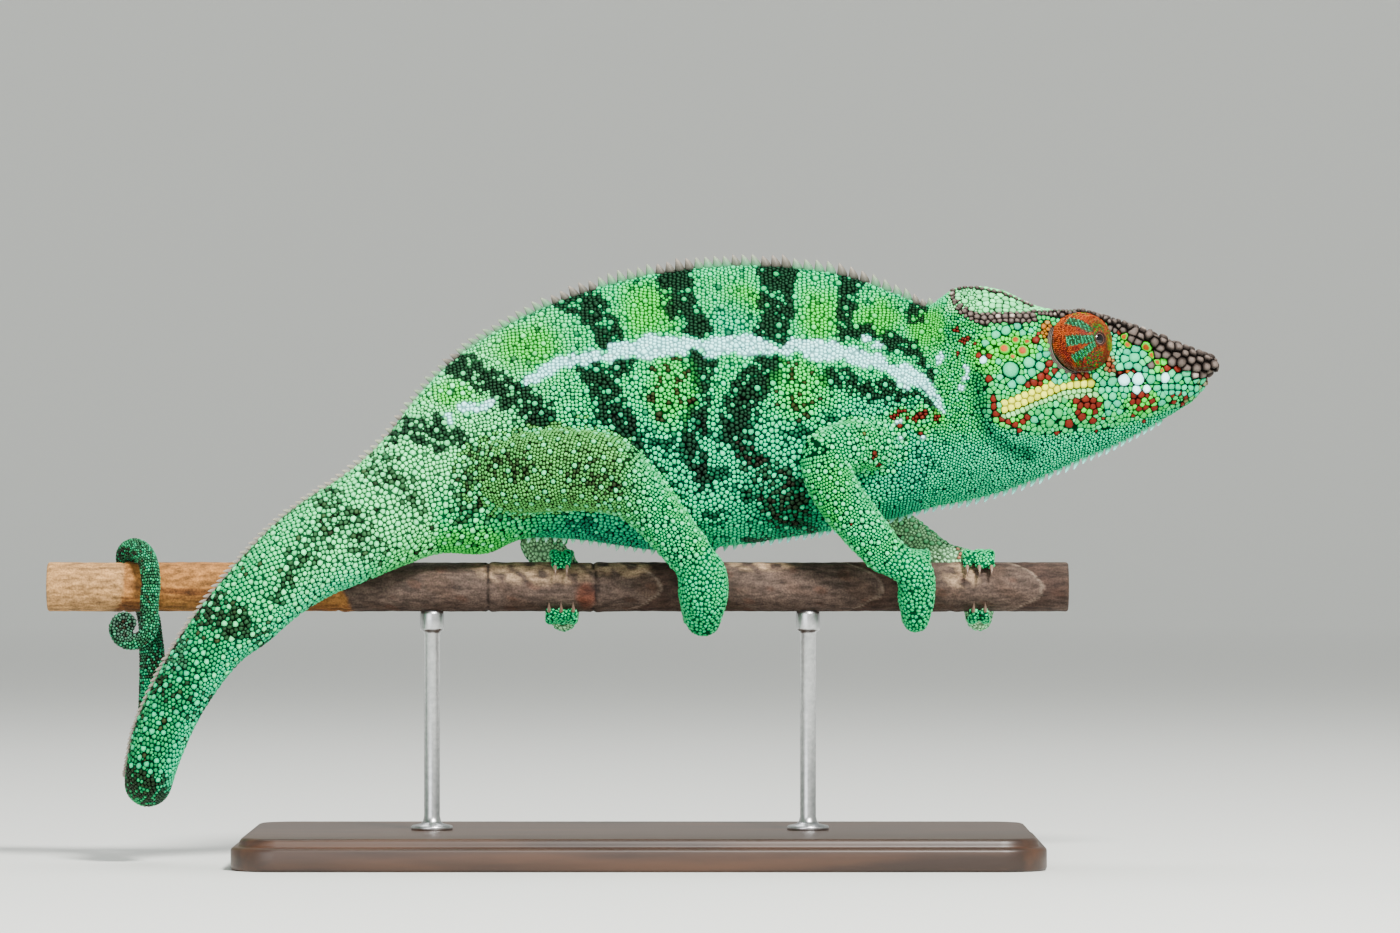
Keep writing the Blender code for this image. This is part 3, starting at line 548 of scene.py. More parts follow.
def palm_rows(foot: str) -> Array:
    """Rows of x, y, z, radius from the wrist down the outside of the cane.

    Args:
        foot: the foot's name, as in FEET.
    Returns:
        Four rows, from the wrist down.
    """
    grip_x, side, half_width, _, _ = FEET[foot]
    x, y, z, radius = LIMBS[foot][1][-1]
    return np.array([
        (x, y, z, radius * 0.9),
        (grip_x, side * (PERCH_RADIUS + 6.4), PERCH_AXIS_Z + 3.6, half_width * 0.98),
        (grip_x + 0.4, side * (PERCH_RADIUS + PALM_THICKNESS * 0.52), PERCH_AXIS_Z - 2.0, half_width),
        (grip_x + 0.4, side * (PERCH_RADIUS - 0.4), PERCH_AXIS_Z - PALM_HEIGHT, half_width * 0.72),
    ])


class Part(Enum):
    """The kinds of place that scales grow on."""

    HEAD = 0
    TRUNK = 1
    TAIL = 2
    ARM = 3
    LEG = 4
    FOOT = 5
    TOE = 6


LIMB_ORDER = ("fore_right", "fore_left", "hind_right", "hind_left")


@dataclass
class Grove:
    """Roots of scales, one row or value each: where they stand and how large they may grow."""

    place: Array
    radius: Array
    rank: Array
    part: Array
    firm: Array
    along: Array
    chart: Array
    swell: Array
    tint: Array  # a row of PLATE_COLOURS for a marked plate, or -1
    around: Array
    home: Array  # 0 for head, trunk and tail, then 1 to 4 for the limbs in LIMB_ORDER
    normal: Array = field(default_factory=lambda: np.zeros((0, 3)))

    NAMES = ("place", "radius", "rank", "part", "firm", "along", "chart", "swell", "tint", "around", "home")

    @classmethod
    def make(cls, place: Array, radius: Array, part: Part, rank: Array, along: Array, around: Array,
             chart: Array, swell: float = 0.5, firm: bool = False, home: int = 0) -> "Grove":
        """A grove of one part, with single values spread over all its roots.

        Args:
            place: where each scale is rooted.
            radius: how large it may grow.
            part: the kind of place they all stand on.
            rank: which of two crowded scales stays: the higher.
            along: the direction each scale's length follows.
            around: the share round, from 0 at the crown to 1 at the keel, negative on the right.
            chart: each root's place on the unwrap.
            swell: how high a scale bulges, as a share of its reach.
            firm: whether the roots hold their place when others are eased apart.
            home: 0 for head, trunk and tail, or the limb's number.
        Returns:
            The grove.
        """
        n = len(place)
        return cls(place, np.broadcast_to(radius, n).astype(float), np.broadcast_to(rank, n).astype(float),
                   np.full(n, part.value), np.full(n, firm), along, chart,
                   np.broadcast_to(swell, n).astype(float),
                   np.full(n, -1), np.broadcast_to(around, n).astype(float), np.full(n, home))

    @classmethod
    def gather(cls, groves: list["Grove"]) -> "Grove":
        """Join several groves into one."""
        return cls(**{n: np.concatenate([getattr(g, n) for g in groves]) for n in cls.NAMES})

    def on(self, *parts: Part) -> Array:
        """Which roots stand on any of these kinds of place."""
        return np.isin(self.part, [part.value for part in parts])

    def keep(self, chosen: Array) -> None:
        """Keep only some of the roots.

        Args:
            chosen: which roots stay.
        """
        for name in (*self.NAMES, "normal"):
            value = getattr(self, name)
            if len(value) == len(chosen):
                setattr(self, name, value[chosen])


def tree_of(points: Array) -> KDTree:
    """Make a look-up tree of points.

    Args:
        points: rows of x, y, z.
    Returns:
        The tree, which knows each point by its row's number.
    """
    tree = KDTree(len(points))
    for number, point in enumerate(points.tolist()):
        tree.insert(point, number)
    tree.balance()
    return tree


def nearest_in(tree: KDTree, places: Array) -> Array:
    """The number of the tree's nearest point for each place."""
    return np.array([tree.find(place)[1] for place in places.tolist()])


def near_pairs(points: Array, reach: float) -> tuple[Array, Array]:
    """Every ordered pair of points closer than reach, found by sorting the points into cubes of that
    size.

    Args:
        points: rows of x, y, z.
        reach: the distance that a pair stays within.
    Returns:
        The number of the first point and of the second point of each pair.
    """
    cube = np.floor(points / reach).astype(np.int64)
    cube -= cube.min(axis=0) - 1
    size = cube.max(axis=0) + 2
    key = (cube[:, 0] * size[1] + cube[:, 1]) * size[2] + cube[:, 2]
    order = np.argsort(key, kind="stable")
    ordered = key[order]
    firsts, seconds = [], []
    for dx, dy, dz in itertools.product((-1, 0, 1), repeat=3):
        want = key + (dx * size[1] + dy) * size[2] + dz
        low, high = np.searchsorted(ordered, want, "left"), np.searchsorted(ordered, want, "right")
        count = high - low
        i = np.repeat(np.arange(len(points)), count)
        j = order[np.repeat(low, count) + np.arange(count.sum()) - np.repeat(np.cumsum(count) - count, count)]
        close = (((points[i] - points[j]) ** 2).sum(axis=1) < reach * reach) & (i != j)
        firsts.append(i[close])
        seconds.append(j[close])
    return np.concatenate(firsts), np.concatenate(seconds)


def rivals(place: Array, radius: Array, reach: float, big_from: float = 1.08) -> tuple[Array, Array, Array]:
    """Ordered pairs of roots near enough to touch, with their distances.

    Small scales are paired within reach. The few large ones are measured against all the
    others.

    Args:
        place: where each root stands.
        radius: how large it may grow.
        reach: the distance within which small scales are paired.
        big_from: the radius above which a scale counts as large.
    Returns:
        The numbers of the two roots of each pair, and how far apart they stand.
    """
    i, j = near_pairs(place, reach)
    big = np.flatnonzero(radius > big_from)
    square = (place**2).sum(axis=1)
    apart = square[big][:, None] + square[None] - 2 * place[big] @ place.T
    b, other = np.nonzero((apart >= reach**2) & (apart < (1.35 * (radius[big][:, None] + radius[None])) ** 2))
    b = big[b]
    small = radius[other] <= big_from
    i = np.concatenate([i, b, other[small]])
    j = np.concatenate([j, other, b[small]])
    return i, j, np.linalg.norm(place[i] - place[j], axis=1)


def thin_out(grove: Grove, share: float, reach: float, big_from: float = 1.08) -> Array:
    """Choose roots so that no two stand closer than a share of their radii together.

    Round by round, a root that outranks every rival still in play stays and its rivals go.

    Args:
        grove: the roots.
        share: the share of their radii that two roots have to keep apart.
        reach: the distance within which small scales are paired.
        big_from: the radius above which a scale counts as large.
    Returns:
        Which roots stay.
    """
    i, j, apart = rivals(grove.place, grove.radius, reach, big_from)
    close = (apart < share * (grove.radius[i] + grove.radius[j])) & ~(grove.firm[i] & grove.firm[j])
    i, j = i[close], j[close]
    rank = grove.rank + grove.firm * 10.0
    state = np.zeros(len(rank), int)  # 0 in play, 1 stays, 2 goes
    for _ in range(40):
        live = (state[i] == 0) & (state[j] == 0)
        i, j = i[live], j[live]
        if not len(i):
            break
        best = np.full(len(rank), -9.0)
        np.maximum.at(best, i, rank[j])
        wins = (state == 0) & (rank > best)
        state[j[wins[i]]] = 2
        state[wins] = 1
    return state != 2


class Skin:
    """The one skin under the scales: every tube drawn together, smoothed, and ready to be stood on."""

    voxel = 0.8
    smoothing = 4

    def __init__(self, shells: Shells) -> None:
        """Join the tubes with a voxel remesh, smooth them, press the folds in and prepare look-ups.

        Args:
            shells: the tubes of flesh.
        """
        rough = shells.join("skin_rough")
        remesh = rough.modifiers.new("Remesh", "REMESH")
        remesh.mode, remesh.voxel_size, remesh.use_smooth_shade = "VOXEL", self.voxel * MM, True
        ease = rough.modifiers.new("Smooth", "SMOOTH")
        ease.factor, ease.iterations = 0.5, self.smoothing
        graph = bpy.context.evaluated_depsgraph_get()
        mesh = bpy.data.meshes.new_from_object(rough.evaluated_get(graph))
        bpy.data.objects.remove(rough)
        self.obj = bpy.data.objects.new("skin", mesh)
        bpy.context.scene.collection.objects.link(self.obj)
        mesh.polygons.foreach_set("use_smooth", np.ones(len(mesh.polygons), bool))
        self.points = self.read(mesh.vertices, "co", 3) / MM
        self.crease()
        mesh.calc_loop_triangles()
        triangles = self.read(mesh.loop_triangles, "vertices", 3, np.int32)
        self.tree = BVHTree.FromPolygons(self.points.tolist(), triangles.tolist())
        corners = self.points[triangles]
        self.triangles = triangles
        self.areas = (np.linalg.norm(np.cross(corners[:, 1] - corners[:, 0], corners[:, 2] - corners[:, 0]),
                                     axis=1) / 2)

    @staticmethod
    def read(items: bpy.types.bpy_prop_collection, name: str, width: int, kind: type = np.float32) -> Array:
        """Read one property of every item as rows.

        Args:
            items: vertices, triangles or other items of a mesh.
            name: the property's name.
            width: how many values it has for an item.
            kind: the kind of number to read.
        Returns:
            One row for each item.
        """
        found = np.empty(len(items) * width, kind)
        items.foreach_get(name, found)
        return found.reshape(-1, width)

    def crease(self) -> None:
        """Press the mouth line and a few soft folds into the skin, along its normals.

        Each fold is a bell curve of the distance, in the side view, to a line.
        """
        mesh = self.obj.data
        normals = self.read(mesh.vertices, "normal", 3)
        x, y, z = self.points.T
        push = np.zeros(len(x))
        for line, width, depth in FOLDS:
            away, _ = line_distance(x, z, np.array(line))
            push -= depth * np.exp(-((away / width) ** 2))
        push *= smooth(0.25, 0.7, np.abs(normals[:, 1]))
        outside = (x < 44) & (z < 108) & (np.abs(y) > 17.0)
        self.points = self.points + normals * np.where(outside, 0.0, push)[:, None]
        mesh.vertices.foreach_set("co", (self.points * MM).ravel().astype(np.float32))
        mesh.update()

    def settle(self, places: Array) -> tuple[Array, Array]:
        """Move places to the nearest points of the skin, and give the skin's normals there."""
        found = [self.tree.find_nearest(p) for p in places.tolist()]
        return np.array([tuple(f[0]) for f in found]), np.array([tuple(f[1]) for f in found])

    def scatter(self, count: int, random: np.random.Generator) -> Array:
        """Random points spread evenly over the whole skin by area.

        Args:
            count: how many points.
            random: the generator that random choices are drawn from.
        Returns:
            One row of x, y, z for each point.
        """
        chosen = random.choice(len(self.areas), count, p=self.areas / self.areas.sum())
        a, b = random.random((2, count, 1))
        flip = (a + b) > 1
        a, b = np.where(flip, 1 - a, a), np.where(flip, 1 - b, b)
        p, q, r = np.swapaxes(self.points[self.triangles[chosen]], 0, 1)
        return p + (q - p) * a + (r - p) * b

    def from_side(self, x: float, z: float, side: float) -> Array | None:
        """The outermost point of the skin on one side at x, z."""
        hit, _, _, _ = self.tree.ray_cast(Vector((x, side * 60.0, z)), Vector((0.0, -side, 0.0)))
        return np.array(hit) if hit else None


def line_distance(x: Array, z: Array, path: Array) -> tuple[Array, Array]:
    """The distance from x, z to a broken line, and how far along it, in corners, the nearest point is.

    Args:
        x, z: the places seen from the side, in millimetres.
        path: the corners of the line, of which the first two values are used.
    Returns:
        The distance and the position along the line of each place.
    """
    best, where = np.full(len(x), 1e9), np.zeros(len(x))
    for k in range(len(path) - 1):
        ax, az = path[k][:2]
        bx, bz = path[k + 1][:2]
        length = (bx - ax) ** 2 + (bz - az) ** 2
        share = np.clip(((x - ax) * (bx - ax) + (z - az) * (bz - az)) / length, 0, 1)
        away = np.hypot(x - ax - share * (bx - ax), z - az - share * (bz - az))
        nearer = away < best
        best, where = np.where(nearer, away, best), np.where(nearer, k + share, where)
    return best, where


MOUTH = ((89.8, 111.8), (92.8, 112.75), (95.0, 113.7), (98.0, 114.9), (101.1, 116.05), (105.3, 117.8),
         (109.0, 118.3), (113.6, 118.6), (120.0, 118.9), (126.8, 119.3), (132.5, 119.6), (139.5, 119.2),
         (147.0, 118.8))
# Folds of the skin: a line in the side view, then width and depth.
FOLDS = (
    (MOUTH, 0.75, 0.9),
    (((87.0, 114.2), (87.6, 111.0), (90.0, 108.0)), 1.1, 0.4),
    (((84.0, 121.0), (84.4, 113.0), (86.6, 107.6), (91.0, 103.6), (97.0, 101.4)), 1.8, 0.7),
    (((79.0, 131.5), (82.0, 124.0), (83.5, 117.0)), 2.2, 0.7),
    (((70.0, 132.0), (71.5, 120.0), (74.0, 108.0)), 2.6, 0.5),
    (((62.0, 114.0), (66.0, 106.0), (70.5, 98.0)), 2.0, 0.6),
    (((102.0, 134.4), (96.0, 131.6), (89.0, 131.0), (83.5, 132.2)), 1.8, 0.6),
)


def stroke(x: Array, z: Array, path: tuple, soft: float = 0.9) -> Array:
    """How deep x, z lies in a brush stroke along rows of x, z, half width: 1 inside, 0 outside.

    Args:
        x, z: the places seen from the side, in millimetres.
        path: rows of x, z, half width.
        soft: half the width of the stroke's soft edge.
    Returns:
        One depth for each place.
    """
    rows = np.array(path)
    away, where = line_distance(x, z, rows)
    width = np.interp(where, np.arange(len(rows)), rows[:, 2])
    return 1.0 - smooth(-soft, soft, away - width)


def spot(x: Array, z: Array, spots: tuple, soft: float = 0.35) -> Array:
    """How deep x, z lies in any of several ovals given as x, z, half length, half height.

    Args:
        x, z: the places seen from the side, in millimetres.
        spots: x, z, half length and half height of each oval.
        soft: half the width of an oval's soft edge, as a share of its size.
    Returns:
        One depth for each place.
    """
    depth = np.zeros(len(x))
    for cx, cz, rx, rz in spots:
        away = np.hypot((x - cx) / rx, (z - cz) / rz)
        depth = np.maximum(depth, 1.0 - smooth(1.0 - soft, 1.0 + soft, away))
    return depth


def in_wrinkles(x: Array, z: Array) -> Array:
    """Whether x, z, taken from the middle of an eye, lie in the sector of its wrinkles."""
    turn = np.degrees(np.arctan2(z, x)) % 360.0
    return (turn > WRINKLE_TURNS[0]) & (turn < WRINKLE_TURNS[1])


STRIPE = ((-28.6, 119.3, 1.0), (-26.6, 120.6, 1.1), (-24.0, 122.5, 1.5), (-18.8, 125.0, 1.6),
          (-11.2, 126.2, 1.4), (-2.5, 128.0, 2.0), (6.0, 129.0, 2.6), (13.5, 128.8, 1.0), (19.0, 129.0, 2.1),
          (25.0, 129.2, 2.5), (33.5, 128.2, 0.9), (42.8, 128.4, 2.3), (51.8, 126.8, 1.7), (59.5, 124.6, 1.8),
          (67.0, 121.4, 2.0), (73.2, 117.0, 1.6), (75.5, 113.5, 0.8))
WHITE_BLOTCHES = ((-42.0, 113.4, 2.2, 1.3), (-38.0, 114.4, 2.4, 0.9), (-47.6, 111.3, 1.5, 0.9),
                  (59.2, 129.2, 1.5, 1.1), (56.0, 130.4, 1.2, 0.8))
BARS = (
    ((-17.5, 143.5, 5.5), (-8.8, 133.6, 3.4), (-4.5, 124.0, 3.0)),
    ((-12.5, 123.6, 2.0), (-8.0, 117.5, 3.4), (-4.0, 109.5, 3.6), (0.6, 102.0, 2.4), (4.0, 96.0, 2.0)),
    ((8.5, 149.5, 4.6), (9.2, 141.0, 3.6), (12.0, 136.0, 3.2), (14.8, 131.6, 3.6)),
    ((14.9, 128.0, 3.6), (15.5, 121.4, 3.2), (14.0, 112.0, 2.2), (13.3, 105.5, 2.8), (15.6, 96.0, 2.6)),
    ((35.2, 150.0, 4.7), (33.8, 140.0, 4.4), (33.0, 131.4, 4.6)),
    ((33.2, 127.4, 3.2), (31.6, 122.6, 3.6), (26.4, 117.0, 4.4), (23.4, 110.4, 3.6), (26.0, 103.0, 2.6)),
    ((53.2, 148.0, 3.6), (51.4, 139.0, 2.5), (50.6, 132.4, 1.4)),
    ((50.4, 131.9, 1.3), (57.0, 132.0, 1.7), (62.0, 130.4, 2.0), (69.0, 127.6, 1.8), (73.4, 120.5, 1.3)),
    ((69.8, 141.5, 2.2), (68.8, 135.5, 1.5)),
    ((46.6, 120.8, 2.6), (51.4, 120.4, 2.4)),
    ((54.0, 118.0, 1.8), (61.0, 117.4, 2.6), (70.0, 116.4, 2.0), (74.6, 114.4, 1.2)),
    ((-49.5, 126.8, 3.0), (-40.0, 121.6, 3.2), (-32.0, 117.4, 3.4), (-25.0, 112.2, 4.4)),
    ((-62.0, 108.6, 2.4), (-53.0, 107.8, 3.6), (-46.0, 106.4, 3.0)),
)
# Weaker speckled bands: the last value says how many of their scales are dark.
FAINT_BARS = (
    # the first band, low on the flank behind the forearm, is partly its own speckle and partly a painted
    # shadow of the forearm
    (((27.0, 102.0, 3.0), (31.0, 96.0, 5.6), (37.0, 90.0, 5.6)), 0.42),
    (((-64.0, 99.0, 3.0), (-56.0, 91.0, 3.6)), 0.30),
    (((-78.0, 91.0, 2.4), (-71.5, 85.0, 3.6), (-65.0, 78.0, 3.0)), 0.62),
    (((-78.0, 82.5, 2.6), (-84.0, 75.0, 3.0), (-89.0, 68.0, 2.4)), 0.50),
    (((-112.0, 67.0, 3.4), (-103.0, 62.4, 4.0), (-95.5, 57.5, 2.8)), 0.80),
    (((-122.0, 48.5, 3.0), (-114.0, 42.6, 3.4), (-107.0, 38.0, 2.4)), 0.45),
    (((-131.0, 24.0, 4.0), (-121.0, 17.0, 4.6)), 0.70),
    (((-43.5, 95.5, 2.6), (-42.0, 85.5, 3.0)), 0.45),
    (((-40.5, 101.0, 2.6), (-30.0, 98.5, 3.4)), 0.36),
    (((-14.5, 97.0, 3.6), (-5.0, 93.5, 3.0)), 0.30),
)
YELLOW_PATCHES = ((-28.0, 128.6, 8.5, 5.5), (2.0, 138.0, 7.0, 7.5), (44.8, 136.0, 5.4, 6.5),
                  (59.5, 136.0, 6.5, 4.0), (72.0, 134.0, 5.0, 6.0), (-47.0, 117.0, 7.0, 3.0),
                  (83.0, 122.0, 7.0, 12.0), (26.0, 140.0, 5.0, 4.0))
RED_DOT_PATCHES = ((7.4, 118.0, 5.4, 8.6), (39.8, 118.4, 5.6, 7.6))
TEAL_PATCHES = ((22.8, 134.6, 5.0, 6.0), (60.0, 112.5, 10.0, 3.4), (62.0, 97.0, 9.0, 4.0))
RUST_FLECKS = ((62.4, 111.2, 1.1, 0.6), (64.8, 112.0, 1.5, 0.8), (67.0, 110.0, 0.9, 1.3),
               (69.6, 111.8, 1.6, 0.8), (73.8, 111.2, 1.2, 1.0), (70.2, 108.2, 0.9, 0.7),
               (64.6, 108.6, 0.9, 0.5), (56.0, 106.4, 0.6, 0.9), (58.7, 101.3, 0.8, 0.8),
               (60.0, 99.0, 0.6, 0.5), (52.6, 85.0, 0.6, 0.5), (79.0, 133.0, 0.9, 0.7),
               (81.4, 130.6, 0.8, 0.9), (79.6, 126.8, 0.6, 0.5), (83.6, 128.8, 0.5, 0.7))
WHITE_FLECKS = ((64.5, 109.8, 1.1, 0.7), (70.5, 107.3, 0.6, 0.6), (74.4, 125.6, 0.8, 1.2),
                (81.8, 123.4, 0.9, 1.1), (81.0, 121.2, 0.7, 0.9), (79.4, 118.6, 0.7, 0.9),
                (64.6, 105.6, 0.6, 0.6))

# Head plates: x, z, radius, colour name.
CHEEK_PLATES = (
    (92.2, 122.9, 2.3, "mint"), (96.7, 124.7, 1.6, "mint"), (99.2, 126.3, 1.0, "mint"),
    (101.0, 126.7, 0.9, "teal"), (99.6, 123.7, 1.25, "mint"), (97.4, 122.2, 1.25, "mint"),
    (94.7, 120.4, 1.35, "mint"), (92.4, 119.2, 1.15, "teal"), (89.2, 124.9, 0.9, "mint"),
    (89.4, 121.0, 0.9, "mint"), (89.8, 118.6, 0.8, "green"), (91.2, 132.7, 1.3, "mint"),
    (93.9, 133.7, 0.9, "teal"), (95.3, 132.0, 0.9, "mint"), (88.6, 131.6, 1.2, "mint"),
    (86.0, 129.6, 1.0, "mint"), (97.4, 132.6, 0.8, "teal"), (99.4, 128.2, 0.8, "teal"),
    (93.6, 130.2, 1.3, "ringed"), (96.4, 129.8, 1.0, "ringed"), (98.6, 130.4, 1.05, "rust"),
    (99.2, 131.9, 0.6, "rust"), (90.8, 128.0, 1.6, "orange"), (95.3, 127.5, 1.75, "ringed"),
    (92.8, 126.1, 0.8, "ringed"), (85.4, 125.2, 1.0, "white"), (87.0, 126.2, 0.7, "rust"),
    (84.2, 126.4, 0.7, "rust"), (86.8, 120.6, 0.95, "rust"), (101.8, 124.4, 1.0, "rust"),
    (103.0, 122.6, 0.8, "rust"), (101.1, 122.7, 0.8, "rust"), (99.7, 121.1, 1.1, "rust"),
    (101.4, 121.0, 0.8, "rust"), (98.0, 119.6, 1.0, "rust"), (96.5, 119.0, 0.8, "rust"),
    (99.6, 119.4, 0.75, "rust"), (103.0, 119.9, 0.85, "teal"), (104.5, 119.9, 0.8, "mint"),
    (105.8, 121.0, 0.8, "teal"), (104.1, 121.6, 0.8, "mint"), (107.6, 121.0, 0.7, "rust"),
    (109.4, 121.2, 0.7, "rust"), (111.2, 121.6, 0.8, "rust"), (113.4, 121.4, 0.9, "teal"),
    (87.8, 115.6, 0.8, "rust"), (88.0, 113.8, 0.8, "rust"), (88.6, 112.0, 0.75, "rust"),
    (90.0, 110.6, 0.75, "rust"), (91.6, 109.9, 0.7, "rust"), (93.4, 109.4, 0.75, "rust"),
    (95.2, 110.0, 0.8, "rust"), (96.4, 111.0, 0.8, "rust"), (94.4, 107.8, 0.6, "rust"),
    (108.5, 115.2, 0.9, "rust"), (111.0, 115.8, 1.05, "rust"), (112.9, 115.4, 0.8, "rust"),
    (109.6, 113.9, 0.9, "rust"), (111.3, 114.1, 0.8, "rust"), (112.8, 113.8, 0.8, "rust"),
    (114.3, 114.3, 0.8, "rust"), (113.4, 112.5, 0.8, "rust"), (109.0, 112.5, 0.7, "rust"),
    (110.1, 111.2, 1.1, "rust"), (106.8, 109.8, 1.15, "rust"), (112.9, 110.3, 1.0, "rust"),
    (115.4, 110.9, 0.5, "rust"), (103.8, 107.2, 0.6, "rust"), (113.8, 107.8, 0.5, "rust"),
    (122.8, 116.6, 0.8, "rust"), (125.0, 116.8, 0.85, "rust"), (126.5, 116.5, 0.65, "rust"),
    (122.7, 115.0, 0.8, "rust"), (124.2, 115.0, 0.75, "rust"), (127.7, 115.2, 0.85, "rust"),
    (124.4, 113.3, 0.85, "rust"), (128.3, 113.5, 0.8, "rust"), (126.1, 113.7, 0.65, "rust"),
    (123.0, 111.6, 0.6, "rust"), (125.8, 110.2, 0.55, "rust"), (132.8, 116.6, 0.6, "rust"),
    (134.6, 117.0, 0.65, "rust"), (136.2, 116.2, 0.6, "rust"), (133.4, 115.0, 0.6, "rust"),
    (135.6, 114.6, 0.55, "rust"), (104.2, 112.2, 1.25, "green"), (101.9, 109.7, 1.25, "green"),
    (97.9, 110.5, 1.0, "mint"), (105.6, 115.4, 1.0, "green"), (101.4, 112.4, 1.0, "green"),
    (98.9, 112.4, 0.9, "green"), (106.9, 112.6, 0.9, "green"), (99.4, 108.2, 0.8, "green"),
    (117.8, 116.5, 1.1, "mint"), (118.9, 114.6, 1.05, "teal"), (116.4, 114.2, 1.0, "mint"),
    (120.6, 116.6, 1.0, "mint"), (116.8, 112.2, 0.9, "teal"), (119.4, 112.6, 0.9, "mint"),
    (130.4, 116.8, 1.0, "mint"), (130.2, 114.8, 0.9, "teal"), (117.6, 120.0, 1.3, "mint"),
    (120.6, 120.35, 1.65, "white"), (124.1, 120.6, 1.7, "white"), (127.4, 120.6, 1.35, "mint"),
    (131.0, 121.0, 1.3, "white"), (134.0, 120.9, 1.1, "mint"), (136.6, 120.5, 1.0, "mint"),
    (115.2, 119.7, 0.95, "mint"), (123.7, 118.0, 1.25, "white"), (126.3, 118.2, 1.15, "white"),
    (121.0, 117.8, 1.0, "mint"), (128.8, 118.4, 1.0, "mint"), (120.7, 131.2, 0.95, "ringed"),
    (121.5, 129.3, 0.95, "orange"), (119.3, 132.2, 0.6, "rust"), (123.7, 128.1, 1.1, "teal"),
    (123.6, 126.1, 1.2, "mint"), (124.2, 123.6, 1.0, "mint"), (121.1, 127.4, 0.85, "teal"),
    (120.7, 125.7, 0.95, "mint"), (121.6, 123.9, 0.9, "teal"), (126.3, 128.7, 1.3, "ringed"),
    (127.5, 124.0, 1.05, "crest"), (127.6, 126.6, 0.8, "ringed"), (129.0, 124.8, 0.9, "ringed"),
    (131.5, 123.4, 0.75, "rust"), (130.0, 122.8, 0.6, "orange"), (134.0, 123.2, 0.65, "rust"),
    (126.0, 122.9, 0.8, "teal"), (119.6, 122.2, 0.5, "rust"), (121.6, 122.4, 0.5, "orange"),
    (122.9, 122.4, 0.45, "rust"),
)
# Wrinkles behind and below each eye: distance from its middle in the side view, and thickness.
WRINKLES = ((7.60, 0.17), (7.98, 0.16), (8.34, 0.15))
WRINKLE_TURNS = (150.0, 262.0)

LATERAL_CREST = ((77.9, 142.6), (78.75, 140.0), (80.5, 137.75), (83.25, 136.2), (86.0, 135.6), (90.0, 136.0),
                 (94.25, 136.0), (97.0, 135.9), (98.5, 136.4))
PARIETAL_CREST = ((98.5, 139.4), (95.0, 141.0), (92.5, 142.2), (89.75, 143.2), (84.25, 144.3), (80.5, 144.4),
                  (77.6, 143.4))
# The lower jaw and throat carry even rows of granules below this line.
THROAT_LINE = ((60.0, 150.0), (84.0, 150.0), (84.5, 112.0), (90.0, 108.4), (98.0, 106.6), (112.0, 107.4),
               (122.0, 109.4), (131.0, 112.6), (137.0, 114.6))

GREEN = paint(0, 178, 90)
MINT = paint(0, 232, 158)
YELLOW_GREEN = paint(34, 190, 30)
TEAL = paint(0, 158, 114)
DEEP_GREEN = paint(0, 62, 34)
NIGHT = paint(6, 20, 12)
RED_BLACK = paint(46, 8, 4)
BROWN_BLACK = paint(26, 18, 12)
STRIPE_WHITE = paint(166, 250, 250)
RUST = paint(94, 25, 13)
ORANGE = paint(146, 62, 10)
LEMON = paint(228, 234, 40)
CRESTING = paint(74, 65, 60)
CREST_WHITE = paint(146, 136, 126)
PALE_MINT = paint(112, 242, 150)
# pale inner sides of limbs and feet, raised 1.5 times as painted light where the far limbs lie in the body's
# shadow
PALE_INNER_WITH_PAINTED_LIGHT = paint(150, 196, 150) * 1.5
PLATE_COLOURS = {"mint": MINT * 0.5, "green": GREEN * 0.8, "teal": TEAL * 1.0, "rust": RUST * 0.9,
                 "ringed": ORANGE * 0.75, "white": STRIPE_WHITE, "orange": ORANGE, "lemon": LEMON * 0.85,
                 "pale_lemon": LEMON * 0.22 + MINT * 0.42, "crest": CRESTING * 1.35,
                 "crest_white": CREST_WHITE,
                 "pale_mint": PALE_MINT * 0.6}
# Plates of two colours: these are the rims. Ringed and orange plates have yellow-green rims of their own; the
# crest knobs' darker rim under a lighter top of the same colour is a painted highlight, and the pale knobs'
# dark rim is partly their own colour and partly that painted highlight.
RIMS = {"ringed": YELLOW_GREEN * 1.0, "orange": YELLOW_GREEN * 0.8, "crest": CRESTING * 0.7,
        "crest_white": CRESTING}


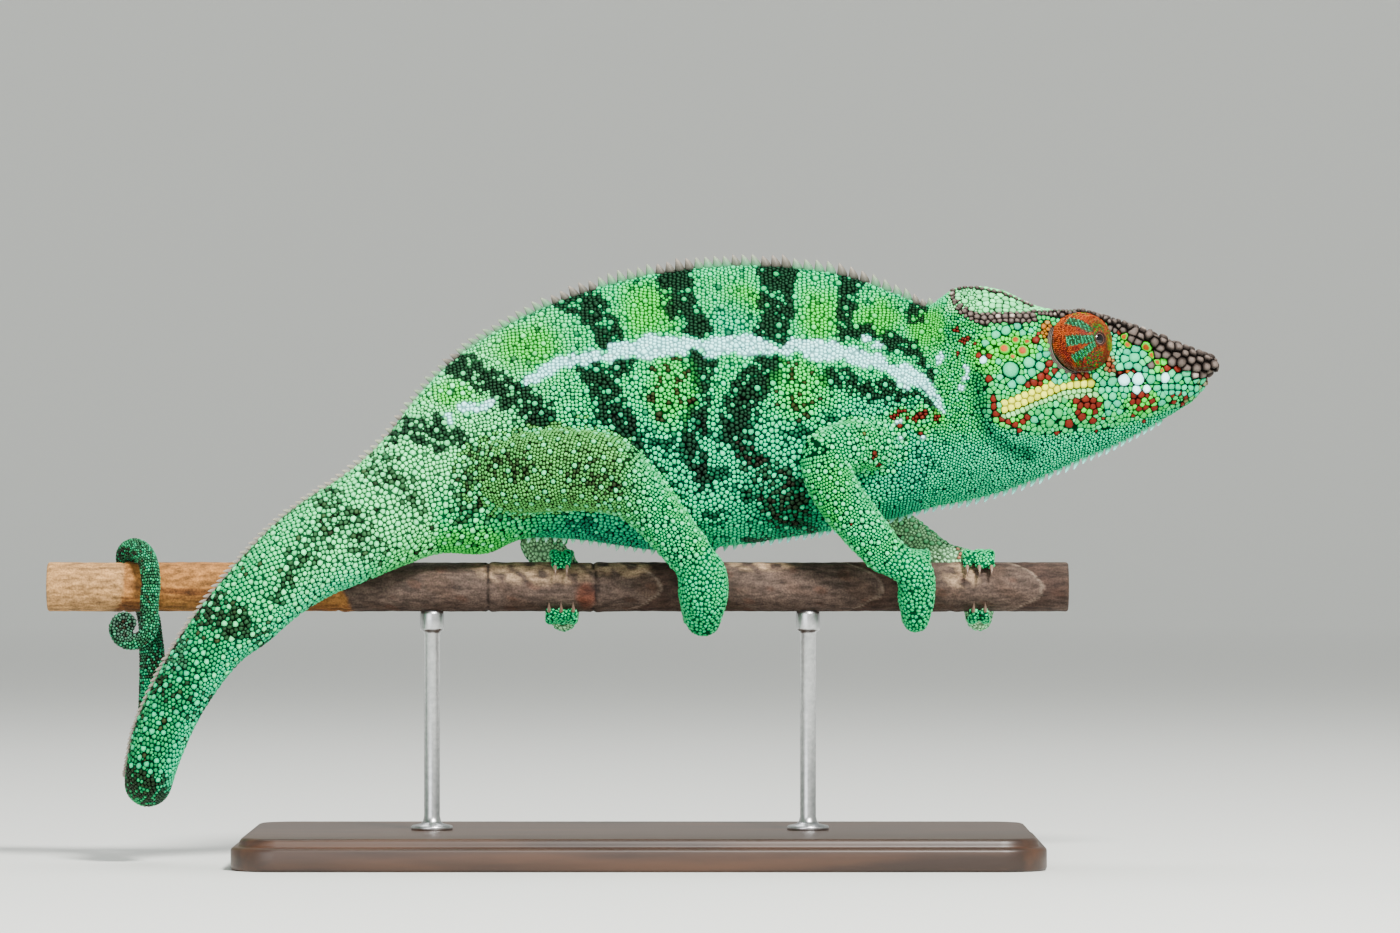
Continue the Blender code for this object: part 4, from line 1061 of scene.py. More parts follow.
class Coat:
    """All the scales: their roots, thinned and eased apart on the skin, their shapes and their colours."""

    reach = 2.5  # how far apart two small scales can still touch
    crowding = 0.72  # the least distance of two roots, as a share of their radii together
    relaxations = 4
    sown = 2.2  # how far from the skin a root may be sown
    scatter = 110000  # roots thrown over the whole skin
    trunk_tubercles = 5200  # tried on trunk and tail before thinning
    limb_tubercles = 900  # tried on each half of a limb

    def __init__(self, loft: Loft, skin: Skin, random: np.random.Generator) -> None:
        """Sow the roots, settle them on the skin, thin them out and ease them apart.

        Args:
            loft: the body's loft.
            skin: the skin that the scales stand on.
            random: the generator that random choices are drawn from.
        """
        self.loft, self.skin, self.random = loft, skin, random
        self.limbs = {f: (Loft.tube(LIMBS[f][0]), Loft.tube(LIMBS[f][1])) for f in LIMB_ORDER}
        self.labels: list[tuple] = []
        self.grove = Grove.gather([*self.trunk_rows(), *self.limb_rows(), *self.head_plates(),
                                   self.scattered()])
        LOG.info("%d roots sown", len(self.grove.place))
        self.settle(self.sown)
        self.grove.keep(thin_out(self.grove, self.crowding, 1.6))
        self.ease_apart()
        LOG.info("%d roots grow", len(self.grove.place))

    # --- roots -----------------------------------------------------------------------------------

    def rows_on(self, loft: Loft, first: float, last: float, spacing: Callable) -> tuple[Array, Array, Array]:
        """A staggered lattice of places over a loft.

        Rows stand one spacing apart along the body, and within a row the places are one spacing apart
        round the girth, shifted by half a spacing in every other row.

        Args:
            loft: the surface to cover.
            first, last: the positions between which rows stand.
            spacing: the distance between places, as a function of position and place round.
        Returns:
            positions along and round of every place, and the spacing there.
        """
        start, end = float(loft.length(first)), float(loft.length(last))
        rows, at = [], start
        while at < end:
            rows.append(at)
            at += 0.88 * float(spacing(loft.at_length(np.array([at])), np.array([3.0]))[0])
        fine = np.linspace(0, KEEL, 61)
        found_s, found_q = [], []
        for number, length in enumerate(rows):
            s = float(loft.at_length(np.array([length]))[0])
            girth_line = loft.point(np.full(61, s), fine)
            steps = np.linalg.norm(np.diff(girth_line, axis=0), axis=1)
            local = spacing(np.full(60, s), (fine[1:] + fine[:-1]) / 2)
            count = np.concatenate([[0.0], np.cumsum(steps / local)])
            wanted = np.arange(0.5 * (number % 2), count[-1], 1.0)
            q = np.interp(wanted, count, fine)
            q = np.concatenate([q, -q[q > 1e-6]])
            found_q.append(q)
            found_s.append(np.full(len(q), s))
        s, q = np.concatenate(found_s), np.concatenate(found_q)
        return s, q, spacing(s, np.abs(q))

    def chart_of(self, strip: int, strips: int, along: Array, around: Array) -> Array:
        """A place on the unwrap: strips lie one above the other, each with its length along u."""
        v = (strip + 0.04 + 0.92 * np.clip(around, 0, 1)) / strips
        return np.column_stack([0.02 + 0.96 * np.clip(along, 0, 1), v])

    def body_chart(self, s: Array, q: Array) -> Array:
        """The unwrap of head, trunk and tail: three strips of the length, by the share round one side.

        Args:
            s: positions along, counted in sections.
            q: positions round, from 0 at the crown to 6 at the keel.
        Returns:
            One row of u, v for each place.
        """
        share = self.loft.length(s) / self.loft.length_at_fine[-1]
        strip = np.minimum((share * 3).astype(int), 2)
        v = (strip + 0.04 + 0.92 * np.abs(q) / KEEL) / 3
        return np.column_stack([0.02 + 0.96 * (share * 3 - strip), v])

    def trunk_rows(self) -> list[Grove]:
        """Rows of scales over neck, trunk and tail, with larger tubercles strewn among them.

        Returns:
            The groves of jaw, trunk and tail, then that of the tubercles.
        """
        loft, groves = self.loft, []
        nape, vent = loft.index["casque_back"] + 0.35, loft.index["vent"]
        bend, last = loft.index["bend_3"], loft.last

        def trunk_spacing(s: Array, q: Array) -> Array:
            """Finer on the crown of the neck and along the keel, coarser low on the flank."""
            flank = 0.90 + 0.30 * smooth(2.2, 3.4, q) - 0.24 * smooth(4.6, 5.8, q)
            return flank - 0.20 * (1 - smooth(nape + 1.0, nape + 3.6, s))

        def tail_spacing(s: Array, q: Array) -> Array:
            """Finer as the tail thins."""
            thin = np.linalg.norm(catmull(loft.ups, np.clip(s, 0, last)), axis=1)
            return np.clip(0.56 + 0.072 * thin, 0.70, 1.24)

        def jaw_spacing(s: Array, q: Array) -> Array:
            """Even and fine."""
            return np.full(len(q), 0.80)

        for first, end, spacing, part in ((loft.index["nostril"] - 0.7, nape, jaw_spacing, Part.HEAD),
                                          (nape, vent, trunk_spacing, Part.TRUNK),
                                          (vent, last - 0.1, tail_spacing, Part.TAIL)):
            s, q, space = self.rows_on(loft, first, end, spacing)
            s = s + self.random.normal(0, 0.012, len(s))
            q = q + self.random.normal(0, 0.008, len(q))
            place = loft.point(s, q, -SCALE_DEPTH)
            radius = space * 0.52 * (1 + self.random.normal(0, 0.06, len(s)))
            rows = Grove.make(place, radius, part, 1 + self.random.random(len(s)), loft.ahead(s), q / KEEL,
                              self.body_chart(s, q))
            if part is Part.HEAD:
                rows.keep(place[:, 2] < np.interp(place[:, 0], *np.array(THROAT_LINE).T))
            groves.append(rows)
        count = self.trunk_tubercles
        s = self.random.uniform(nape, loft.index["tail_8"] + 1.0, count)
        q = self.random.uniform(-5.2, 5.2, count)
        rear = smooth(loft.index["loin"], loft.index["rump"], s)
        low = smooth(2.6, 3.6, np.abs(q)) * (1 - rear)
        radius = self.random.uniform(0.70, 0.86, count) - 0.06 * low
        tubercles = Grove.make(loft.point(s, q, -SCALE_DEPTH), radius, Part.TRUNK,
                               2 + self.random.random(count),
                               loft.ahead(s), q / KEEL, self.body_chart(s, q), 0.62)
        tubercles.part = np.where(s > vent, Part.TAIL.value, Part.TRUNK.value)
        apart = Grove.gather([tubercles])
        apart.radius = apart.radius + 1.2 - 0.45 * rear + 0.7 * low
        tubercles.keep(thin_out(apart, 0.72, 3.4, 9.0))
        groves.append(tubercles)
        return groves

    def limb_rows(self) -> list[Grove]:
        """Rows of scales round the upper and lower limbs, with tubercles among them.

        Returns:
            Two groves for each half of each limb.
        """
        groves = []
        for number, name in enumerate(LIMB_ORDER):
            part = Part.ARM if name.startswith("fore") else Part.LEG
            for half, tube in enumerate(self.limbs[name]):
                size = 0.84 if half else 0.9

                def spacing(s: Array, q: Array, size: float = size) -> Array:
                    """Even over the whole of a limb's half."""
                    return np.full(len(q), size)

                s, q, space = self.rows_on(tube, 0.0, float(tube.last), spacing)
                q = q + self.random.normal(0, 0.03, len(q))
                radius = space * 0.52 * (1 + self.random.normal(0, 0.08, len(s)))
                chart = self.chart_of(half, 4, s / tube.last, q / 12 + 0.5)
                groves.append(Grove.make(tube.point(s, q, -SCALE_DEPTH), radius, part,
                                         1 + self.random.random(len(s)),
                                         tube.ahead(s), q / KEEL, chart, home=number + 1))
                count = self.limb_tubercles
                s = self.random.uniform(0.2, tube.last, count)
                q = self.random.uniform(-KEEL, KEEL, count)
                big = Grove.make(tube.point(s, q, -SCALE_DEPTH), self.random.uniform(0.66, 0.80, count), part,
                                 2 + self.random.random(count), tube.ahead(s), q / KEEL,
                                 self.chart_of(half, 4, s / tube.last, q / 12 + 0.5), 0.62, home=number + 1)
                wide = Grove.gather([big])
                wide.radius = wide.radius + (0.42 if half or part is Part.ARM else 0.95)
                big.keep(thin_out(wide, 0.74, 3.0, 9.0))
                groves.append(big)
        return groves

    def plates(self, rows: list[tuple], swell: float) -> Grove:
        """Firm plates on both sides of the head.

        Args:
            rows: x, z, radius and colour name of each plate.
            swell: how high they bulge, as a share of their reach.
        Returns:
            The grove of those plates that meet the head.
        """
        found = []
        for side in (-1.0, 1.0):
            for x, z, radius, colour in rows:
                place = self.skin.from_side(x, z, side)
                if place is not None and abs(place[1]) < 17.5:
                    found.append((*place, radius, list(PLATE_COLOURS).index(colour), side))
        table = np.array(found)
        s, q = self.locate(table[:, :3])
        along = np.tile([-1.0, 0.0, 0.0], (len(table), 1))
        grove = Grove.make(table[:, :3], table[:, 3], Part.HEAD, 3 + self.random.random(len(table)), along,
                           q / KEEL, self.body_chart(s, q), swell, True)
        grove.tint = table[:, 4].astype(int)
        return grove

    def locate(self, places: Array) -> tuple[Array, Array]:
        """The nearest position along and round the body loft for each place, from a table of its
        surface.

        Args:
            places: rows of x, y, z on or near the body.
        Returns:
            The positions along and round.
        """
        if not self.labels:
            s = np.repeat(np.linspace(0, self.loft.last, self.loft.last * 6 + 1), 49)
            q = np.tile(np.linspace(-KEEL, KEEL, 49), self.loft.last * 6 + 1)
            self.labels = [s, q, tree_of(self.loft.point(s, q))]
        s, q, tree = self.labels
        nearest = nearest_in(tree, places)
        return s[nearest], q[nearest]

    def spaced(self, path: tuple, step: float) -> Array:
        """Points a step apart along a broken line.

        Args:
            path: rows of x, z.
            step: the distance between two points.
        Returns:
            One row of x, z for each point.
        """
        rows = np.array(path)
        length = np.concatenate([[0.0], np.cumsum(np.linalg.norm(np.diff(rows, axis=0), axis=1))])
        at = np.arange(step / 2, length[-1], step)
        return np.column_stack([np.interp(at, length, rows[:, k]) for k in range(2)])

    def head_plates(self) -> list[Grove]:
        """The plates of the head that have a place of their own: lips, crests, casque, cheek and chin.

        Returns:
            Four groves: crests, plates, casque and snout ridges.
        """
        rows = list(CHEEK_PLATES)
        lips = ((1.0, 1.75, 1.0, 89.0, 113.5, "lemon"), (2.6, 1.8, 1.0, 89.0, 103.5, "lemon"),
                (1.1, 1.7, 0.85, 138.0, 148.0, "mint"), (-0.8, 1.25, 0.68, 89.0, 113.0, "pale_lemon"),
                (-1.9, 1.5, 0.78, 104.0, 113.5, "pale_lemon"), (-0.9, 1.7, 0.9, 113.5, 120.4, "mint"),
                (-0.9, 1.6, 0.8, 129.6, 148.0, "mint"), (-2.3, 1.6, 0.78, 129.0, 142.0, "teal"))
        for offset, step, radius, first, last, colour in lips:
            rows += [(x, z, radius, colour)
                     for x, z in self.spaced(tuple((x, z + offset) for x, z in MOUTH), step)
                     if first < x < last]
        crest = []
        for path in (LATERAL_CREST, PARIETAL_CREST):
            for shift, step, radius in ((0.0, 1.75, 0.86), (0.95, 1.45, 0.6), (-0.95, 1.45, 0.6)):
                for x, z in self.spaced(tuple((x, z + shift) for x, z in path), step):
                    pale = self.random.random() < (0.3 if shift == 0 else 0.05)
                    crest.append((x, z, radius, "crest_white" if pale else "crest"))
        return [self.plates(crest, 0.95), self.plates(rows, 0.46), self.plates(self.casque_rows(), 0.36),
                self.rostral_rows()]

    @staticmethod
    def casque_rows() -> list[tuple]:
        """Long plates between the two crests of the casque, staggered like bricks.

        Returns:
            Rows of x, z, radius, colour name.
        """
        rows = []
        for row, share in enumerate((0.12, 0.37, 0.63, 0.88)):
            for x in np.arange(79.4 + 1.7 * (row % 2), 98.0, 3.4):
                top = np.interp(x, [77.6, 84.25, 92.5, 98.5], [142.0, 143.0, 140.8, 138.4])
                low = np.interp(x, [77.6, 80.5, 83.25, 94.0, 98.5], [143.2, 139.0, 137.2, 137.2, 138.0])
                if top - low > 1.0:
                    rows.append((x, low + share * (top - low), 0.9, "pale_mint"))
        return rows

    def rostral_rows(self) -> Grove:
        """Knobbly plates all over the two ridges that run forward from the eyes over the snout.

        Returns:
            One grove for both ridges.
        """
        groves = []
        for side in (-1.0, 1.0):
            ridge = Loft.tube([(x, side * y, z, r) for x, y, z, r in RIDGE])
            s, q, space = self.rows_on(ridge, 0.1, ridge.last - 0.05,
                                       lambda s, q: 1.1 + 1.25 * smooth(3.0, 6.5, s + 0 * q))
            place = ridge.point(s, q, -SCALE_DEPTH)
            body_s, body_q = self.locate(place)
            knobs = Grove.make(place, space * self.random.uniform(0.46, 0.6, len(s)), Part.HEAD,
                               4 + self.random.random(len(s)),
                               -ridge.ahead(s), np.full(len(s), side * 0.2), self.body_chart(body_s, body_q),
                               1.0)
            pale = self.random.random(len(s)) < 0.07
            names = list(PLATE_COLOURS)
            knobs.tint = np.where(pale, names.index("crest_white"), names.index("crest"))
            groves.append(knobs)
        return Grove.gather(groves)

    def scattered(self) -> Grove:
        """Roots thrown over the whole skin: they cover head and feet, and fill what the rows leave bare.

        Returns:
            One grove, of head, feet and the gaps elsewhere.
        """
        place = self.skin.scatter(self.scatter, self.random)
        nearest, known = self.nearest_label(place)
        part, home = known["part"][nearest], known["home"][nearest]
        spare = (part == Part.HEAD.value) | (part == Part.FOOT.value) | (part == Part.TOE.value)
        kept = spare | (self.random.random(len(place)) < 0.25)
        place, nearest, part, home = place[kept], nearest[kept], part[kept], home[kept]
        x, y, z = place.T
        head, foot, toe = part == Part.HEAD.value, part == Part.FOOT.value, part == Part.TOE.value
        radius = np.where(part == Part.TAIL.value, 0.34, 0.40)
        radius = np.where(foot, self.random.uniform(0.42, 0.56, len(x)), radius)
        radius = np.where(toe, self.random.uniform(0.36, 0.46, len(x)), radius)
        radius = np.where(head, self.head_size(x, y, z) * self.random.uniform(0.85, 1.2, len(x)), radius)
        rank = self.random.random(len(x)) + head * radius * 0.4
        return Grove(place, radius, rank, part, np.zeros(len(x), bool), known["along"][nearest],
                     known["chart"][nearest], np.where(head, 0.42, 0.4), np.full(len(x), -1),
                     known["around"][nearest], home)

    @staticmethod
    def head_size(x: Array, y: Array, z: Array) -> Array:
        """The radius of a head scale: plates on crown and snout, smaller on the throat and round the
        eye.

        Args:
            x, y, z: the places, in millimetres.
        Returns:
            One radius for each place.
        """
        size = 0.60 + 0.14 * ripple(x, y, z, 7.0) + 0.34 * smooth(114, 120, x) * smooth(119, 122, z)
        size = np.where(z < 118.0, 0.62 + 0.14 * ripple(x, y, z, 7.0), size)
        size = np.where((x < 86) & (z < 137), 0.44, size)
        size = np.where(z > 137.5, 0.8, size)
        size = np.where(np.hypot(x - 110.5, z - 130.0) < 10.5, np.minimum(size, 0.5), size)
        return np.where(z < np.interp(x, *np.array(THROAT_LINE).T), 0.36, np.clip(size, 0.4, 1.0))

    def nearest_label(self, place: Array) -> tuple[Array, dict[str, Array]]:
        """The nearest point of every tube's own surface for each place, and what is known of those
        points.

        Args:
            place: rows of x, y, z.
        Returns:
            The number of the nearest point for each place, and a table of each fact by its name.
        """
        body, nape, vent = self.loft, self.loft.index["casque_back"] + 0.4, self.loft.index["vent"]
        s, q = self.surface_grid(body, 5, 33)
        part = np.where(s < nape, Part.HEAD.value, np.where(s < vent, Part.TRUNK.value, Part.TAIL.value))
        rows = [(body.point(s, q, -SCALE_DEPTH), part, body.ahead(s), self.body_chart(s, q), q / KEEL,
                 0 * part)]
        for number, name in enumerate(LIMB_ORDER):
            kind = Part.ARM if name.startswith("fore") else Part.LEG
            inward = (0.0, FEET[name][1], 0.0)
            tubes = [(tube, kind, half, 4) for half, tube in enumerate(self.limbs[name])]
            tubes.append((Loft.tube(palm_rows(name), inward), Part.FOOT, 0, 6))
            tubes += [(Loft.tube(toe_rows(name, above, toe), inward), Part.TOE, 1 + k, 6)
                      for k, (above, toe) in enumerate(toes_of(name))]
            for tube, kind, strip, strips in tubes:
                s, q = self.surface_grid(tube, 6, 17)
                rows.append((tube.point(s, q, -SCALE_DEPTH), np.full(len(s), kind.value), tube.ahead(s),
                             self.chart_of(strip, strips, s / tube.last, q / 12 + 0.5), q / KEEL,
                             np.full(len(s), number + 1)))
        spots, *facts = (np.concatenate(column) for column in zip(*rows))
        known = dict(zip(("part", "along", "chart", "around", "home"), facts))
        return nearest_in(tree_of(spots), place), known

    @staticmethod
    def surface_grid(loft: Loft, steps: int, around: int) -> tuple[Array, Array]:
        """Positions along and round that cover a loft, with so many steps between two sections.

        Args:
            loft: the surface.
            steps: how many steps lie between two sections.
            around: how many points lie round it.
        Returns:
            The positions along and round.
        """
        s = np.repeat(np.linspace(0, loft.last, loft.last * steps + 1), around)
        q = np.tile(np.linspace(-KEEL, KEEL, around), loft.last * steps + 1)
        return s, q

    # --- growth ----------------------------------------------------------------------------------

    def settle(self, most: float) -> None:
        """Bring every root onto the skin, and drop those that were sown too far from it or under the
        bark.

        Args:
            most: how far from the skin a root may be sown, in millimetres.
        """
        grove = self.grove
        place, normal = self.skin.settle(grove.place)
        moved = np.linalg.norm(place - grove.place, axis=1)
        grove.place, grove.normal = place, normal
        bark = np.hypot(place[:, 1], place[:, 2] - PERCH_AXIS_Z) < PERCH_RADIUS + BARK_MARGIN
        eye = np.minimum(*(np.linalg.norm(place - Turret.middle(side), axis=1)
                           for side in (-1.0, 1.0))) < Turret.radius - 0.3
        x, z = place[:, 0] - Turret.centre[0], place[:, 2] - Turret.centre[2]
        folds = (np.hypot(x, z) < WRINKLES[-1][0] + 0.3) & in_wrinkles(x, z)
        seam = (line_distance(place[:, 0], place[:, 2], np.array(MOUTH))[0] < 0.4) & (place[:, 0] > 88)
        grove.keep((moved < most) & ~(bark & (place[:, 0] < 108)) & ~eye & ~folds & ~(seam & ~grove.firm))

    def ease_apart(self) -> None:
        """Push neighbours that overlap away from each other along the skin, a few times over."""
        grove = self.grove
        for _ in range(self.relaxations):
            i, j, apart = rivals(grove.place, grove.radius, self.reach)
            want = 0.93 * (grove.radius[i] + grove.radius[j])
            push = np.clip(want - apart, 0, 0.6) * (grove.radius[j] / (grove.radius[i] + grove.radius[j]))
            push = push * ~grove.firm[i]
            step = (grove.place[i] - grove.place[j]) / np.maximum(apart, 1e-3)[:, None] * push[:, None] * 0.5
            move = np.column_stack([np.bincount(i, step[:, k], len(grove.place)) for k in range(3)])
            length = np.linalg.norm(move, axis=1)
            move *= np.minimum(1.0, 0.35 / np.maximum(length, 1e-6))[:, None]
            grove.place, grove.normal = self.skin.settle(grove.place + move)
        i, j, apart = rivals(grove.place, grove.radius, self.reach)
        weight = np.exp(-((apart / 1.3) ** 2))
        mixed = (grove.normal + np.column_stack([np.bincount(i, grove.normal[j, k] * weight, len(grove.place))
                                                 for k in range(3)]))
        grove.normal = unit(mixed)


class Domes:
    """Closed domes on roots, each bounded by its neighbours like cells of a tiling."""

    power = 11.0
    most = 1.6  # a dome's longest reach, in radii

    def __init__(self, place: Array, normal: Array, along: Array, radius: Array, swell: Array, chart: Array,
                 reach: float, random: np.random.Generator) -> None:
        """Take the roots, give each its own frame and find its neighbours.

        Args:
            place: where each dome is rooted.
            normal: the way up from the skin there.
            along: the direction its length follows.
            radius: how large it may grow.
            swell: its height as a share of its reach.
            chart: its place on the unwrap.
            reach: the distance within which small domes are neighbours.
            random: the generator that random choices are drawn from.
        """
        self.place, self.normal, self.radius, self.swell, self.chart = place, normal, radius, swell, chart
        self.ahead = unit(along - normal * (along * normal).sum(axis=1)[:, None] + 1e-6)
        self.side = np.cross(normal, self.ahead)
        self.phase = random.uniform(0, 2 * math.pi, len(place))
        self.pairs = rivals(place, radius, reach)

    def cells(self, angles: Array) -> Array:
        """How far each dome reaches along each spoke before it meets its neighbours.

        Two domes meet where their circles have equal power. The reach along a spoke is a soft minimum,
        a p-norm, of the distances to all those meeting lines and of the dome's own cap.

        Args:
            angles: the spokes' angles, one row for each dome.
        Returns:
            One row of reaches for each dome.
        """
        i, j, _ = self.pairs
        gap = self.place[j] - self.place[i]
        x, y = (gap * self.ahead[i]).sum(axis=1), (gap * self.side[i]).sum(axis=1)
        flat = np.maximum(np.hypot(x, y), 1e-3)
        meet = (flat**2 + self.radius[i] ** 2 - self.radius[j] ** 2) / (2 * flat)
        meet = np.maximum(meet, 0.3 * self.radius[i])
        facing = (self.normal[i] * self.normal[j]).sum(axis=1) > 0.2
        reach = np.empty_like(angles)
        cap = (1 / (self.most * self.radius)) ** self.power
        for k in range(angles.shape[1]):
            cosine = (x * np.cos(angles[i, k]) + y * np.sin(angles[i, k])) / flat
            share = np.where(facing, np.maximum(cosine, 0) / meet, 0.0) ** self.power
            reach[:, k] = (cap + np.bincount(i, share, len(self.place))) ** (-1 / self.power)
        return reach

    def grow(self, chosen: Array, name: str, colours: Array, rims: Array, corners: int,
             profile: tuple) -> bpy.types.Object:
        """Grow domes on the chosen roots as one closed mesh.

        Args:
            chosen: which roots.
            name: the object's name.
            colours: a row of linear red, green, blue and lightness of the groove for every root.
            rims: the same, for the lower rings of each dome.
            corners: the number of corners of each dome.
            profile: (share of the reach, share of the height) from the rim upwards, before the apex.
        Returns:
            The object, with a colour attribute whose fourth value climbs from rim to apex, for the finish's
            painted groove shade and painted top highlight.
        """
        index = np.flatnonzero(chosen)
        n, rings = len(index), len(profile)
        phase = self.phase[:, None] + np.arange(corners) * 2 * math.pi / corners
        reach, angle = self.cells(phase)[index], phase[index]
        place, normal, ahead, side = (a[index][:, None, None]
                                      for a in (self.place, self.normal, self.ahead, self.side))
        mean = reach.mean(axis=1)
        height = self.swell[index] * mean
        wide, high = (np.array(column)[None, :, None] for column in zip(*profile))
        lean = 0.16 * mean[:, None, None]  # the apex lies towards the tail or the toes
        shrink = (1.0 - 0.035 / np.maximum(mean, 0.3))[:, None, None]
        local_x = (np.cos(angle) * reach)[:, None] * wide * shrink + lean * np.maximum(high, 0)
        local_y = (np.sin(angle) * reach)[:, None] * wide * shrink
        up = np.where(high < 0, -0.22, high * height[:, None, None]) * np.ones((1, 1, corners))
        points = place + ahead * local_x[..., None] + side * local_y[..., None] + normal * up[..., None]
        apex = (place + ahead * lean[..., None] * 1.1 + normal * height[:, None, None, None]).reshape(n, 1, 3)
        points = np.concatenate([points.reshape(n, rings * corners, 3), apex], axis=1)
        per = rings * corners + 1
        one, sizes = self.faces(rings, corners)
        faces = (one[None] + (np.arange(n) * per)[:, None]).ravel()
        obj = build_mesh(name, points.reshape(-1, 3), faces, np.tile(sizes, n))
        rise = np.concatenate([np.repeat(np.clip(high.ravel(), 0, 1) * 0.8, corners), [1.0]])
        upper = np.arange(per) >= (rings - 1) * corners
        values = np.where(upper[None, :, None], colours[index][:, None], rims[index][:, None])
        values[..., 3] = np.maximum(rise[None], values[..., 3])
        set_colours(obj, values.reshape(-1, 4))
        offset = np.stack([local_x, local_y], -1).reshape(n, -1, 2) / mean[:, None, None]
        self.unwrap(obj, index, np.concatenate([offset, np.zeros((n, 1, 2))], axis=1), faces)
        return obj

    @staticmethod
    def faces(rings: int, corners: int) -> tuple[Array, Array]:
        """Faces of one closed dome: bands of quads, a fan at the apex and a flat underside.

        Args:
            rings: how many rings lie below the apex.
            corners: how many corners a ring has.
        Returns:
            The corners of the faces, one face after another, and how many each face has.
        """
        i = np.arange(corners)
        n = (i + 1) % corners
        bands = [np.stack([r * corners + i, r * corners + n, (r + 1) * corners + n, (r + 1) * corners + i],
                          1).ravel()
                 for r in range(rings - 1)]
        top = (rings - 1) * corners
        fan = np.stack([top + i, top + n, np.full(corners, rings * corners)], 1).ravel()
        sizes = [4] * (corners * (rings - 1)) + [3] * corners + [corners]
        return np.concatenate([*bands, fan, i[::-1]]), np.array(sizes)

    def unwrap(self, obj: bpy.types.Object, index: Array, offset: Array, faces: Array) -> None:
        """Give each dome a small patch round its root's place on the unwrap, as the map OFBake.

        Args:
            obj: the mesh of the domes.
            index: the numbers of their roots.
            offset: each point's place across its dome, in shares of its reach.
            faces: the points of the faces, one face after another.
        """
        patch = 0.0014
        flat = self.chart[index][:, None] + np.clip(offset, -1.5, 1.5) * patch
        layer = obj.data.uv_layers.new(name="OFBake")
        layer.data.foreach_set("uv", flat.reshape(-1, 2)[faces].astype(np.float32).ravel())


def toes_of(foot: str) -> list[tuple[bool, int]]:
    """Every toe of a foot, as above or below the cane and its number."""
    _, _, _, upper, lower = FEET[foot]
    return [(True, k) for k in range(upper)] + [(False, k) for k in range(lower)]


